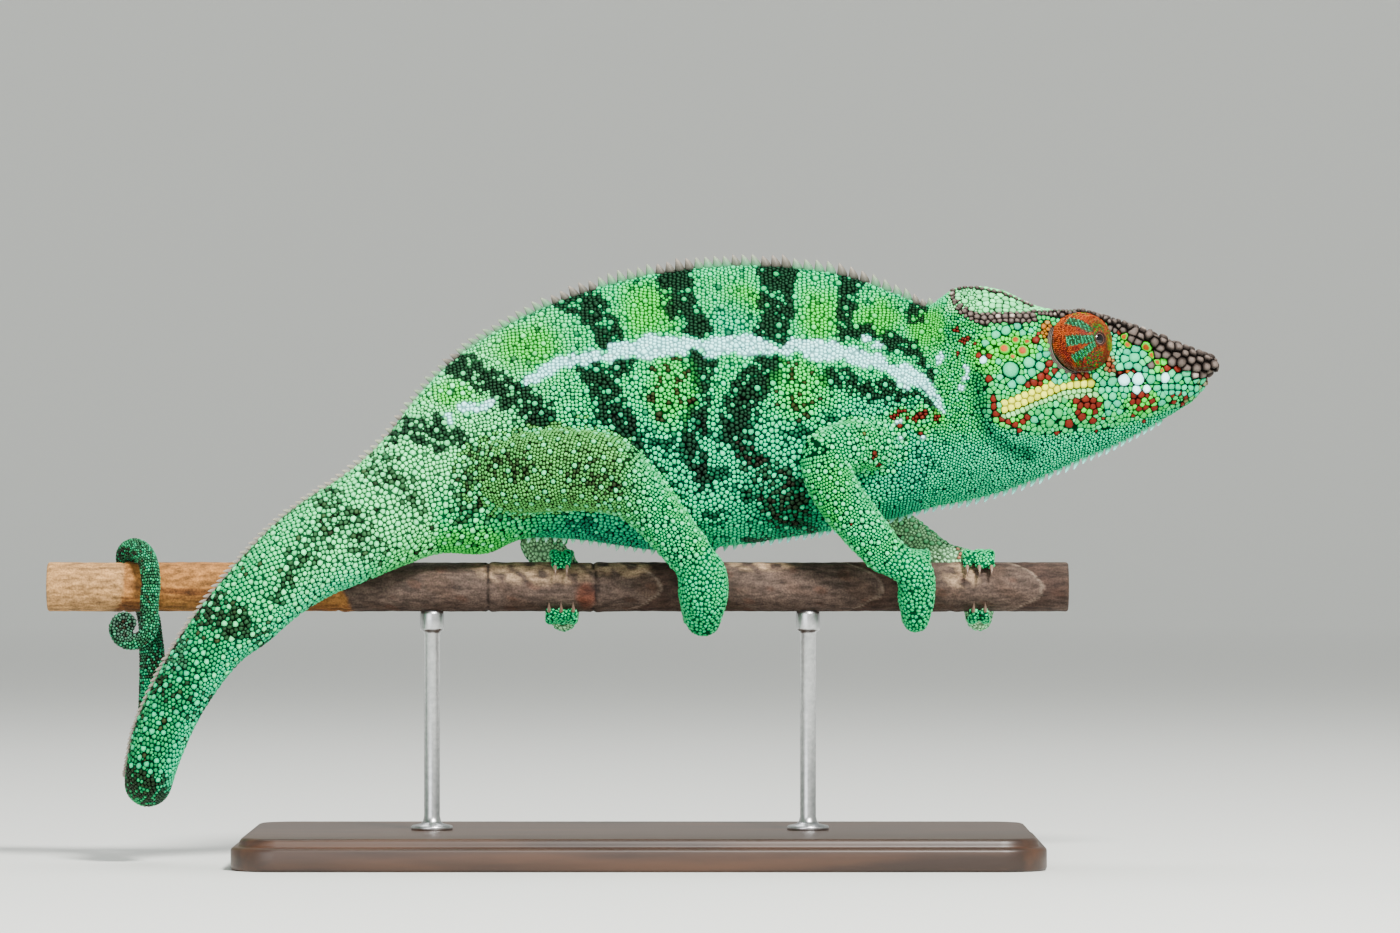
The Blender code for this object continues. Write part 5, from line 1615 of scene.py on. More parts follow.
class Markings:
    """The colours of skin and coat, as functions of the place on the body."""

    def __init__(self, random: np.random.Generator) -> None:
        """Keep the generator that every random choice of colour is drawn from."""
        self.random = random

    def colours(self, grove: Grove) -> Array:
        """A row of linear red, green, blue for each root.

        Every root takes its part's base colour, then patches, bars, stripe and dots are
        blended in by soft masks in the side view, the same on both sides. Bars are speckled:
        most scales in them turn nearly black, the rest keep their green.

        Args:
            grove: the roots.
        Returns:
            One colour for each root.
        """
        x, y, z = grove.place.T
        warp_x = x + 1.0 * ripple(x, y * 0, z, 10.0) + 0.7 * ripple(x, y * 0, z, 4.2, 2.0)
        warp_z = z + 0.9 * ripple(x, y * 0, z, 8.0, 1.0) + 0.6 * ripple(x, y * 0, z, 4.6, 3.0)
        chance = self.random.random(len(x))
        tubercle = grove.swell > 0.6
        trunk, tail, head = grove.on(Part.TRUNK), grove.on(Part.TAIL), grove.on(Part.HEAD)
        limb, foot = grove.on(Part.ARM, Part.LEG), grove.on(Part.FOOT, Part.TOE)
        base = self.trunk_base(warp_x, warp_z, y, grove.around, chance)
        facing = grove.normal[:, 1] if len(grove.normal) else y * 0
        inner = smooth(-0.1, 0.6, -facing * np.sign(y))
        base = np.where(limb[:, None], self.limb_base(x, y, z, inner, chance), base)
        base = np.where(foot[:, None], self.foot_base(x, z, inner, chance), base)
        base = np.where(head[:, None], self.head_base(x, z, chance), base)
        base = np.where(tail[:, None], self.tail_base(x, y, z, grove.around, chance), base)
        pale = (tubercle & ~head) * np.where(limb, 0.62, np.where(z > 124, 0.12, 0.55))
        base = blend(base, MINT * 0.8 + limb[:, None] * paint(70, 90, 30), pale)
        pale = (tubercle & (tail | (trunk & (x < -20)))) * smooth(-15, -45, x) * smooth(-112, -100, x) * 0.6
        base = blend(base, PALE_MINT * 0.95, pale)
        base = self.bars(base, warp_x, warp_z, trunk | (tail & (x > -66)) | (head & (x < 84)), tubercle,
                         chance)
        for path, share in FAINT_BARS:
            depth = stroke(warp_x, warp_z, path, 2.2) * (tail | limb | trunk)
            base = blend(base, DEEP_GREEN, depth * 0.35 * ~tubercle)
            base = blend(base, BROWN_BLACK, (chance < share * depth) * np.where(tubercle, 0.1, 0.86))
        base = self.stripe(base, warp_x, warp_z, trunk | (head & (x < 84)), chance)
        base = base * np.clip(self.random.normal(1.0, 0.12, len(x)), 0.6, 1.45)[:, None]
        known = grove.tint >= 0
        table = np.array(list(PLATE_COLOURS.values()))
        named = (table[np.maximum(grove.tint, 0)]
                 * np.clip(self.random.normal(1.0, 0.13, len(x)), 0.7, 1.3)[:, None])
        return np.clip(np.where(known[:, None], named, base), 0.001, 0.95)

    def grooves(self, grove: Grove, colours: Array) -> Array:
        """How light the grooves round each scale are: light in the stripe and lips, middling on the
        upper flank. Their darkness is partly the skin's own dark tone and partly painted shade.

        Args:
            grove: the roots.
            colours: the colour of each root.
        Returns:
            One lightness for each root.
        """
        x, _, z = grove.place.T
        body, foot = grove.on(Part.TRUNK, Part.TAIL), grove.on(Part.FOOT, Part.TOE)
        upper = 0.10 + (0.13 * smooth(116, 127, z) + 0.08 * smooth(-30, -50, x)) * body + 0.14 * foot
        bright = smooth(0.2, 0.34, colours[:, 0]) * smooth(0.3, 0.6, colours[:, 1])
        return np.maximum(upper, 0.5 * bright)

    def trunk_base(self, x: Array, z: Array, y: Array, around: Array, chance: Array) -> Array:
        """Green above the stripe, teal-green rows below it, mint and grey towards spine and belly.

        Args:
            x, z, y: the places, in millimetres.
            around: the share round each root's tube, from 0 at the crown to 1 at the keel.
            chance: a random value from 0 to 1 for each root.
        Returns:
            One colour for each root.
        """
        height = np.abs(around) * KEEL
        base = np.tile(GREEN * 0.98 + MINT * 0.14, (len(x), 1))
        base = blend(base, MINT * 0.85, 0.26 * (chance > 0.7))
        base = blend(base, PALE_MINT * 0.88, 0.9 * smooth(-8, -50, x) * smooth(84, 100, z))
        base = blend(base, YELLOW_GREEN, spot(x, z, YELLOW_PATCHES, 0.6) * 0.8)
        base = blend(base, TEAL * 1.2, spot(x, z, TEAL_PATCHES, 0.6) * 0.75)
        base = blend(base, TEAL * 0.9 + MINT * 0.25, smooth(118, 104, z) * smooth(-30, -10, x) * 0.75)
        base = blend(base, TEAL * 1.1, smooth(112, 100, z) * smooth(56, 66, x) * 0.8)
        dash = (smooth(0.34, 0.44, ripple(x * 0.42, y * 0, z * 1.7, 7.0, 2.0)) * smooth(118, 110, z)
                * smooth(-34, -22, x))
        base = blend(base, NIGHT, dash * (chance < 0.9) * smooth(60, 48, x) * 0.9)
        # darker green low on the flank behind the forearm: partly its own dark rows and partly a painted
        # shadow of the forearm
        base = blend(base, DEEP_GREEN, smooth(100, 86, z) * spot(x, z, ((37.0, 92.0, 12.0, 12.0),), 0.5)
                     * 0.8)
        base = blend(base, TEAL * 0.5, smooth(90, 82, z) * smooth(-32, -24, x) * smooth(14, 4, x) * 0.7)
        base = blend(base, YELLOW_GREEN * 0.8 + PALE_MINT * 0.12,
                     spot(x, z, ((-42.0, 79.0, 13.0, 5.0),), 0.5) * 0.8)
        base = base * (1 - 0.14 * smooth(56, 64, x))[:, None]
        return blend(base, MINT * 0.8 + TEAL * 0.2, (1 - smooth(0.15, 0.9, height)) * 0.5)

    def bars(self, base: Array, x: Array, z: Array, where: Array, tubercle: Array, chance: Array) -> Array:
        """Dark speckled bars down the flank, and red-black dots in the paler patches below the stripe.

        Args:
            base: the colours so far, a row for each root.
            x, z: the places seen from the side, in millimetres.
            where: which roots the markings may cover.
            tubercle: which roots are tubercles.
            chance: a random value from 0 to 1 for each root.
        Returns:
            One colour for each root.
        """
        depth = np.zeros(len(x))
        for path in BARS:
            depth = np.maximum(depth, stroke(x, z, path, 1.3))
        depth = depth * where
        isle = smooth(0.1, 0.6, ripple(x, x * 0, z * 1.3, 6.0, 3.0)) * smooth(147, 141, z) * 0.55
        dark = chance < (0.95 - 0.8 * isle - 0.08 * smooth(122, 112, z)) * smooth(0.1, 0.7, depth)
        base = blend(base, DEEP_GREEN, depth * 0.45)
        solid = (depth > 0.95) & (ripple(x, x * 0, z, 9.0, 4.0) > 0.1) & (z > 132)
        base = blend(base, NIGHT * 1.5, dark * np.where(tubercle & ~solid, 0.0, 0.95))
        dots = spot(x, z, RED_DOT_PATCHES, 0.5) * where
        base = blend(base, YELLOW_GREEN * 0.9 + MINT * 0.12, dots * 0.8)
        base = blend(base, RED_BLACK * 0.6,
                     (ripple(x, x * 0, z, 3.1, 1.0) > 0.36) * (dots > 0.3) * (chance > 0.3) * 0.96)
        return blend(base, NIGHT, (where & (chance > 0.975)) * 0.8)

    def stripe(self, base: Array, x: Array, z: Array, where: Array, chance: Array) -> Array:
        """The pale stripe along the flank with blotches behind it, and rusty and white flecks at neck
        and shoulder.

        Args:
            base: the colours so far, a row for each root.
            x, z: the places seen from the side, in millimetres.
            where: which roots the markings may cover.
            chance: a random value from 0 to 1 for each root; not used.
        Returns:
            One colour for each root.
        """
        line = np.maximum(stroke(x, z, STRIPE, 1.1), spot(x, z, WHITE_BLOTCHES, 0.5)) * where
        base = blend(base, MINT * 1.05, smooth(0.05, 0.4, line) * 0.7)
        base = blend(base, STRIPE_WHITE, smooth(0.35, 0.6, line))
        rusty = spot(x, z, RUST_FLECKS, 0.3)
        base = blend(base, YELLOW_GREEN,
                     spot(x, z, tuple((*f[:2], f[2] + 1.3, f[3] + 1.0) for f in RUST_FLECKS[:7]), 0.4)
                     * where * 0.6)
        base = blend(base, RUST * 0.7, smooth(0.3, 0.6, rusty))
        return blend(base, STRIPE_WHITE, smooth(0.3, 0.6, spot(x, z, WHITE_FLECKS, 0.3)))

    def limb_base(self, x: Array, y: Array, z: Array, inner: Array, chance: Array) -> Array:
        """Green legs with an olive thigh, a few dark flecks and a pale inner side, made paler still as
        painted light for the far limbs in the body's shadow.

        Args:
            x, y, z: the places, in millimetres.
            inner: how far each root faces the animal's middle, from 0 to 1.
            chance: a random value from 0 to 1 for each root.
        Returns:
            One colour for each root.
        """
        base = np.tile(GREEN * 0.62 + TEAL * 0.12 + MINT * 0.14, (len(x), 1))
        base = blend(base, YELLOW_GREEN * 0.8,
                     smooth(-0.2, 0.6, ripple(x, y, z, 12.0)) * smooth(-4, 6, x) * 0.25)
        elbow = spot(x, z, ((46.0, 94.0, 5.0, 8.0), (47.5, 86.0, 3.0, 5.0)), 0.7)
        base = blend(base, YELLOW_GREEN * 0.8, elbow * 0.4)
        thigh = smooth(6, -8, x) * smooth(74, 90, z)
        base = blend(base, paint(86, 150, 62) * (0.85 + 0.3 * chance[:, None]), thigh * 0.75)
        creased = smooth(0.25, 0.6, ripple(x * 1.6, y, z * 0.5, 8.0, 5.0)) * thigh
        base = blend(base, paint(50, 62, 34), creased * (chance < 0.4) * 0.6)
        base = blend(base, PALE_INNER_WITH_PAINTED_LIGHT, inner * 0.85)
        return blend(base, NIGHT * 1.5, (chance > 0.98) * 0.8)

    def foot_base(self, x: Array, z: Array, inner: Array, chance: Array) -> Array:
        """Green feet with paler toes and inner sides, and a few crimson scales on the hands; the inner sides
        are made paler still as painted light for the far feet in the body's shadow.

        Args:
            x, z: the places seen from the side, in millimetres.
            inner: how far each root faces the animal's middle, from 0 to 1.
            chance: a random value from 0 to 1 for each root.
        Returns:
            One colour for each root.
        """
        base = np.tile(GREEN * 0.60 + TEAL * 0.14 + MINT * 0.12, (len(x), 1))
        base = blend(base, MINT * 0.8, (chance > 0.62) * 0.4)
        base = blend(base, PALE_INNER_WITH_PAINTED_LIGHT, inner * 0.8)
        crimson = (chance > 0.80) & (x > 78) & (z > 74)
        return blend(base, paint(150, 24, 40), crimson * inner * 0.85)

    def head_base(self, x: Array, z: Array, chance: Array) -> Array:
        """Green cheeks, teal snout, pale casque, and a teal throat, with painted shade in the neck folds and
        on some throat granules.

        Args:
            x, z: the places seen from the side, in millimetres.
            chance: a random value from 0 to 1 for each root.
        Returns:
            One colour for each root.
        """
        base = np.tile(GREEN * 0.70 + YELLOW_GREEN * 0.12, (len(x), 1))
        base = blend(base, MINT * 0.8, (chance > 0.72) * 0.4)
        warm = spot(x, z, ((93.5, 128.5, 6.5, 4.0), (86.5, 127.0, 4.0, 5.0), (101.5, 131.0, 2.0, 3.0),
                           (98.0, 119.5, 4.0, 1.6), (92.0, 110.5, 4.5, 2.4), (110.9, 114.6, 4.4, 3.4),
                           (125.4, 115.0, 4.4, 3.2), (121.0, 131.0, 2.0, 2.6), (130.0, 124.4, 4.5, 2.4)), 0.5)
        base = blend(base, YELLOW_GREEN * 1.1, warm * 0.85)
        snout = smooth(115.5, 117.5, x) * smooth(120.5, 122.0, z)
        base = blend(base, TEAL * 0.7 + MINT * 0.35, snout * 0.8 * (1 - warm))
        base = blend(base, PALE_MINT * 0.88, smooth(136.8, 138.0, z) * smooth(112, 104, x) * 0.8)
        base = blend(base, CRESTING, smooth(134.0, 136.0, z + 0.62 * (x - 116)) * smooth(106, 112, x))
        base = blend(base, paint(124, 112, 88),
                     spot(x, z, ((142.5, 117.5, 4.0, 4.0),), 0.5) * (chance < 0.75) * 0.8)
        # painted shade in two folds of the neck, behind the casque and behind the jaw
        base = blend(base, DEEP_GREEN, spot(x, z, ((76.5, 132.0, 3.6, 2.4), (86.5, 111.5, 1.6, 5.0)), 0.6)
                     * 0.5)
        below = smooth(1.5, -1.5, z - np.interp(x, *np.array(THROAT_LINE).T)) * smooth(84, 88, x)
        throat = np.maximum(below, smooth(110, 102, z))
        base = blend(base, TEAL * 0.85 + MINT * 0.3, throat * 0.85)
        base = blend(base, ORANGE * 0.9,
                     spot(x, z, ((101.3, 132.6, 1.7, 2.6), (117.0, 124.4, 1.2, 2.4)), 0.3) * 0.9)
        base = blend(base, RUST, spot(x, z, ((110.3, 121.3, 2.2, 0.9), (117.4, 123.4, 1.2, 1.6),
                                             (102.6, 131.4, 0.9, 1.6)),
                                            0.3) * 0.85)
        # painted shadow under the jaw's rear edge, along its fold
        fold, _ = line_distance(x, z, np.array(FOLDS[2][0]))
        base = blend(base, DEEP_GREEN * 1.6, smooth(3.4, 0.4, fold) * 0.7)
        # painted shade: half the throat granules darkened, for the shadows between them
        base = base * (1 - 0.3 * throat * (chance < 0.5))[:, None]
        return blend(base, RUST, (chance > 0.90) * spot(x, z, ((134.4, 115.6, 4.0, 3.0),), 0.5) * 0.8)

    def tail_base(self, x: Array, y: Array, z: Array, around: Array, chance: Array) -> Array:
        """Mint at the root, bright green along the tail, teal underneath, and dark towards the curled
        end.

        Args:
            x, y, z: the places, in millimetres.
            around: the share round each root's tube, from 0 at the crown to 1 at the keel.
            chance: a random value from 0 to 1 for each root.
        Returns:
            One colour for each root.
        """
        under = smooth(0.55, 0.85, np.abs(around))
        base = np.tile(GREEN * 0.70 + MINT * 0.24, (len(x), 1))
        base = blend(base, PALE_MINT * 0.95, smooth(-106, -60, x) * 0.85)
        base = base * (1 - smooth(-96, -110, x) * np.where(chance < 0.6, 0.5, 0.1))[:, None]
        base = base * (1 - 0.25 * smooth(-90, -102, x))[:, None]
        base = blend(base, TEAL * 0.9 + MINT * 0.4, under * smooth(-56, -70, x) * 0.8)
        base = blend(base, YELLOW_GREEN * 0.9 + MINT * 0.1, under * smooth(-74, -60, x) * 0.5)
        behind = smooth(4.0, 8.0, y) * (x < -110)
        base = blend(base, TEAL * 0.6, behind * 0.6)
        curl = (x < -112) & (z > 48) & (y < 20)
        base = blend(base, DEEP_GREEN * 1.6, curl * (chance < 0.5) * 0.85)
        base = blend(base, MINT * 0.8, curl * (chance > 0.74) * 0.7)
        inner = curl * smooth(5.0, 3.0, np.hypot(x - CURL_CENTRE[0], z - CURL_CENTRE[1]))
        base = blend(base, paint(70, 92, 84), inner * 0.7)
        base = blend(base, paint(64, 92, 74), curl * 0.35) * (1 - 0.2 * curl)[:, None]
        base = blend(base, BROWN_BLACK, (1 - smooth(0.06, 0.2, np.abs(around))) * smooth(-60, -80, x)
                     * (chance < 0.6) * 0.8)
        return blend(base, RED_BLACK, (chance > 0.975) * 0.9)


GRANULE = ((1.0, -1.0), (0.82, 0.62))
PLATE = ((1.0, -1.0), (0.95, 0.42), (0.80, 0.75), (0.48, 0.94))


@dataclass(frozen=True)
class Finish:
    """How a coat or skin takes light."""

    name: str
    roughness: float
    rim: float  # painted shade: how much of the colour is left in the grooves
    grain: float  # size of the fine bump, in parts per metre
    bump: float
    gloss: float = 0.3
    painted_highlight: float = 1.0  # painted highlight: how much lighter the tops are


@dataclass
class Turret:
    """An eye turret: a ball of fine granules with a small opening over a dark pupil."""

    side: float
    opening: float = 10.6  # degrees from the gaze to the edge of the opening

    radius = 8.1
    centre = (109.8, 8.3, 129.6)
    gaze = (0.565, 0.81, 0.13)

    @classmethod
    def middle(cls, side: float) -> Array:
        """The centre of the turret on one side."""
        return np.array([cls.centre[0], side * cls.centre[1], cls.centre[2]])

    def axes(self) -> tuple[Array, Array, Array]:
        """The gaze, and the directions forwards and upwards across it.

        Returns:
            The three directions, each of length one.
        """
        gaze = unit(np.array([self.gaze[0], self.side * self.gaze[1], self.gaze[2]]))
        forward = unit(np.cross(np.array([0.0, 0.0, 1.0]), gaze) * -self.side)
        return gaze, forward, unit(np.cross(gaze, forward) * self.side * -1.0)

    def reach(self, angle: Array) -> Array:
        """The turret's radius at an angle from the gaze: a ball with shallow ring folds, raised round
        the opening.

        Args:
            angle: degrees from the gaze.
        Returns:
            One radius for each angle.
        """
        folds = (0.07 * np.sin(np.radians(angle) * 30.0) * smooth(30, 50, angle)
                 + 0.05 * np.sin(np.radians(angle * 9.0)))
        folds = folds + 0.22 * np.sin(np.radians(angle * 48.0)) * smooth(98, 103, angle)
        return self.radius - 0.42 + folds + 0.5 * np.exp(-(((angle - self.opening) / 6.0) ** 2))

    def point(self, angle: Array, turn: Array) -> tuple[Array, Array]:
        """Places on the ball at an angle from the gaze and a turn round it, and their outward
        directions.

        Args:
            angle: degrees from the gaze.
            turn: degrees round it.
        Returns:
            One row for the place and one for the direction.
        """
        gaze, forward, upward = self.axes()
        a, t = np.radians(angle), np.radians(turn)
        way = (gaze * np.cos(a)[:, None] + forward * (np.sin(a) * np.cos(t))[:, None]
               + upward * (np.sin(a) * np.sin(t))[:, None])
        return self.middle(self.side) + way * self.reach(angle)[:, None], way

    def colours(self, place: Array, random: np.random.Generator) -> Array:
        """Rust and orange mottling with green patches above and behind the pupil, grey folds at the
        lower rim.

        Args:
            place: rows of x, y, z on the ball.
            random: the generator that random choices are drawn from.
        Returns:
            One colour for each place.
        """
        away = place - self.middle(self.side)
        u, v = away[:, 0] / self.radius, away[:, 2] / self.radius
        gaze, _, _ = self.axes()
        angle = np.degrees(np.arccos(np.clip(unit(away) @ gaze, -1, 1)))
        chance = random.random(len(u))
        dapple = ripple(away[:, 0], away[:, 1], away[:, 2], 2.6)
        turn = np.degrees(np.arctan2(unit(away) @ self.axes()[2], unit(away) @ self.axes()[1]))
        base = np.tile(RUST * 2.1, (len(u), 1))
        base = blend(base, ORANGE * 1.4, smooth(-0.3, 0.5, dapple) * 0.6)
        base = blend(base, ORANGE * 1.6,
                     smooth(0.45, 0.9, v) * 0.6 + smooth(24, 15, angle) * 0.4
                     + smooth(0.3, -0.6, u) * smooth(-0.4, 0.3, v) * 0.5)
        base = blend(base, RUST * 0.5, (chance > 0.72) * 0.8)
        arms = np.zeros(len(u))
        for middle, wide, first, last in ((180.0, 10.5, 10.0, 66.0), (134.0, 9.0, 24.0, 76.0),
                                          (-140.0, 9.0, 14.0, 66.0)):
            off = np.abs((turn - middle + 180.0) % 360.0 - 180.0) * np.sin(np.radians(angle)) ** 0.6
            arms = np.maximum(arms, smooth(wide + 2, wide - 2, off) * smooth(first - 3, first + 2, angle)
                              * smooth(last + 3, last - 3, angle))
        speckle = spot(u, v, ((0.30, -0.52, 0.5, 0.34), (0.45, 0.38, 0.25, 0.3),
                              (0.82, 0.1, 0.1, 0.3)), 0.5) * (chance < 0.5)
        base = blend(base, DEEP_GREEN * 1.3, np.maximum(arms, speckle) * 0.95)
        base = blend(base, MINT * 0.45, arms * (np.sin(u * 56.0 + v * 20.0) > -0.1) * (chance > 0.25) * 0.9)
        base = blend(base, YELLOW_GREEN * 0.42, speckle * (chance < 0.22) * 0.9)
        rim = smooth(0.72, 0.9, u) + smooth(0.8, 0.92, v)
        base = blend(base, YELLOW_GREEN * 0.35 + ORANGE * 0.3, rim * (dapple > 0.1) * 0.8)
        base = blend(base, RUST * 0.8, smooth(0.62, 0.72, u) * smooth(0.84, 0.76, u) * smooth(0.4, 0.1, v)
                     * 0.7)
        grey = smooth(0.85, 0.91, np.hypot(u, v)) * smooth(0.45, 0.15, u) * smooth(0.35, 0.0, v)
        dim = smooth(0.68, 0.82, np.hypot(u, v)) * smooth(0.5, 0.1, u) * smooth(-0.1, -0.45, v)
        base = blend(base, paint(62, 70, 52), dim * (chance < 0.7) * 0.7)
        base = blend(base, paint(112, 106, 98) * (0.5 + 0.8 * (chance[:, None] > 0.5)), grey * 0.95)
        base = blend(base, paint(70, 40, 32), smooth(self.opening + 3.0, self.opening + 1.5, angle) * 0.8)
        return base * np.clip(random.normal(1.0, 0.16, len(u)), 0.6, 1.5)[:, None]

    def build(self, random: np.random.Generator) -> list[bpy.types.Object]:
        """The ball, its granules and the eyeball in the opening.

        Args:
            random: the generator that random choices are drawn from.
        Returns:
            The three objects.
        """
        word = "right" if self.side < 0 else "left"
        edge = self.reach(np.array([self.opening]))[0]
        depth = edge * math.cos(math.radians(self.opening))
        rim = edge * math.sin(math.radians(self.opening))
        outside = np.linspace(172, self.opening, 60)
        profile = [(r * math.sin(a), r * math.cos(a))
                   for r, a in zip(self.reach(outside), np.radians(outside))]
        profile += [(rim - 0.04, depth + 0.06), (rim - 0.10, depth - 0.1), (rim - 0.14, depth - 0.9),
                    (0.4, depth - 1.1)]
        ball = self.revolve("turret_" + word, profile, 72)
        away = ball["points"] - self.middle(self.side)
        gaze, _, _ = self.axes()
        lip = np.linalg.norm(away - (away @ gaze)[:, None] * gaze, axis=1) < rim + 0.1
        # The ball between the granules is a darker copy of their colours, partly its own dark tone and partly
        # painted shade; the wall inside the opening is near black, a painted shade.
        shade = np.where((lip & (away @ gaze > depth - 0.3))[:, None], paint(44, 30, 26),
                         self.colours(ball["points"], random) * 0.08)
        shade = np.where((lip & (away @ gaze < depth - 0.3))[:, None], 0.004, shade)
        set_colours(ball["obj"], np.column_stack([shade, np.full(len(shade), 0.6)]))
        return [ball["obj"], self.granules(word, random), self.eyeball(word, rim, depth)]

    def revolve(self, name: str, profile: list, around: int) -> dict:
        """A closed surface of revolution round the gaze, from (radius, height) rows running outwards.

        Args:
            name: the object's name.
            profile: the rows of radius and height.
            around: how many points lie round it.
        Returns:
            The object and its points, by name.
        """
        gaze, forward, upward = self.axes()
        turns = np.linspace(0, 2 * math.pi, around, endpoint=False)
        spoke = forward * np.cos(turns)[:, None] + upward * np.sin(turns)[:, None]
        rings = np.array([self.middle(self.side) + gaze * high + spoke * wide for wide, high in profile])
        shells = Shells()
        shells.add(rings)
        return {"obj": shells.join(name), "points": np.concatenate(shells.points)}

    def eyeball(self, word: str, rim: float, depth: float) -> bpy.types.Object:
        """A dark ball just inside the opening, with a thin brown ring round the pupil.

        Args:
            word: the side, for the name.
            rim: the radius of the opening.
            depth: how far the opening lies from the turret's middle.
        Returns:
            The object.
        """
        ball, top = 2.2, depth + 0.05
        wide = np.linspace(0.02, rim - 0.13, 34)[::-1]
        profile = [(rim - 0.13, top - 1.2)] + [(w, top - ball + math.sqrt(ball**2 - w**2)) for w in wide]
        made = self.revolve("eyeball_" + word, profile, 48)
        gaze, _, _ = self.axes()
        away = made["points"] - self.middle(self.side)
        across = np.linalg.norm(away - (away @ gaze)[:, None] * gaze, axis=1)
        ring = smooth(rim - 0.36, rim - 0.31, across) * smooth(rim - 0.14, rim - 0.18, across)
        colours = blend(np.tile(paint(5, 4, 4), (len(across), 1)), paint(168, 132, 122), ring)
        set_colours(made["obj"], np.column_stack([colours, np.ones(len(colours))]))
        return made["obj"]

    def granules(self, word: str, random: np.random.Generator) -> bpy.types.Object:
        """Rings of granules round the opening, finest beside it.

        Args:
            word: the side, for the name.
            random: the generator that random choices are drawn from.
        Returns:
            The object.
        """
        angles, turns, sizes = [], [], []
        angle, number = self.opening + 1.5, 0
        while angle < 118:
            size = 0.32 + 0.20 * smooth(15, 95, np.array([angle]))[0]
            count = int(2 * math.pi * self.radius * math.sin(math.radians(angle)) / size)
            turns.append((np.arange(count) + 0.5 * (number % 2) + random.normal(0, 0.08, count)) * 360
                         / count)
            angles.append(angle + random.normal(0, 0.2, count))
            sizes.append(np.full(count, size))
            angle += math.degrees(0.92 * size / self.radius)
            number += 1
        angle, turn, size = (np.concatenate(a) for a in (angles, turns, sizes))
        place, way = self.point(angle, turn)
        _, ahead_way = self.point(angle + 1.0, turn)
        chart = (0.5 + 0.46 * (angle / 120)[:, None]
                 * np.column_stack([np.cos(np.radians(turn)), np.sin(np.radians(turn))]))
        paints = np.column_stack([self.colours(place, random), np.zeros(len(size))])
        domes = Domes(place, way, ahead_way - way, size * 0.52, np.full(len(size), 0.5), chart, 1.6, random)
        return domes.grow(np.ones(len(size), bool), "scales_eye_" + word, paints, paints, 6, GRANULE)


@dataclass
class Thorns:
    """Rows of tapering spikes: crest spines, throat spines and claws."""

    name: str
    around: int = 8
    shares: tuple = (0.0, 0.16, 0.4, 0.66, 0.88)
    curve: float = 0.3  # how far the tip bends back, as a share of the height
    across: float = 0.6  # thickness across the row, as a share of the width along it
    groups: list[tuple] = field(default_factory=list)

    def add(self, root: Array, out: Array, back: Array, height: Array, width: Array, tint: Array,
            tip: Array) -> None:
        """Add spikes, with one value or row for all or one for each.

        Args:
            root: where they root.
            out: which way they rise.
            back: which way they bend.
            height: how high they rise.
            width: half their width at the root.
            tint: their colour at the root.
            tip: their colour at the tip.
        """
        n = len(root)
        rows = [np.broadcast_to(v, (n, 3)).astype(float) for v in (root, out, back, tint, tip)]
        self.groups.append((*rows, np.broadcast_to(height, n).astype(float),
                            np.broadcast_to(width, n).astype(float)))

    def build(self) -> bpy.types.Object:
        """One closed mesh of all the spikes.

        A spike's axis rises by its height and bends back by the square of the share risen. Its
        width falls off slowly at first and then fast, to a blunt tip.

        Returns:
            The object.
        """
        root, out, back, tint, tip, height, width = (np.concatenate(column) for column in zip(*self.groups))
        n, k = len(root), self.around
        out = unit(out)
        back = unit(back - out * (back * out).sum(axis=1)[:, None])
        side = np.cross(out, back)
        share = np.array(self.shares)
        taper = (1 - share**1.6) * 0.94 + 0.06
        middle = (root[:, None] + out[:, None] * (share * height[:, None])[..., None]
                  + back[:, None] * (self.curve * share**2 * height[:, None])[..., None])
        turn = np.arange(k) * 2 * math.pi / k
        spoke = (back[:, None] * np.cos(turn)[None, :, None]
                 + side[:, None] * (np.sin(turn) * self.across)[None, :, None])
        rings = middle[:, :, None] + spoke[:, None] * (taper[None] * width[:, None])[..., None, None]
        point = root + (out + back * self.curve) * height[:, None]
        points = np.concatenate([rings.reshape(n, -1, 3), point[:, None]], axis=1)
        one, sizes = Domes.faces(len(share), k)
        per = len(share) * k + 1
        faces = (one[None] + (np.arange(n) * per)[:, None]).ravel()
        obj = build_mesh(self.name, points.reshape(-1, 3), faces, np.tile(sizes, n))
        mix = np.concatenate([np.repeat(share, k), [1.0]])[None, :, None] ** 1.6
        colour = tint[:, None] * (1 - mix) + tip[:, None] * mix
        set_colours(obj, np.concatenate([colour.reshape(-1, 3), np.ones((n * per, 1))], axis=1))
        return obj


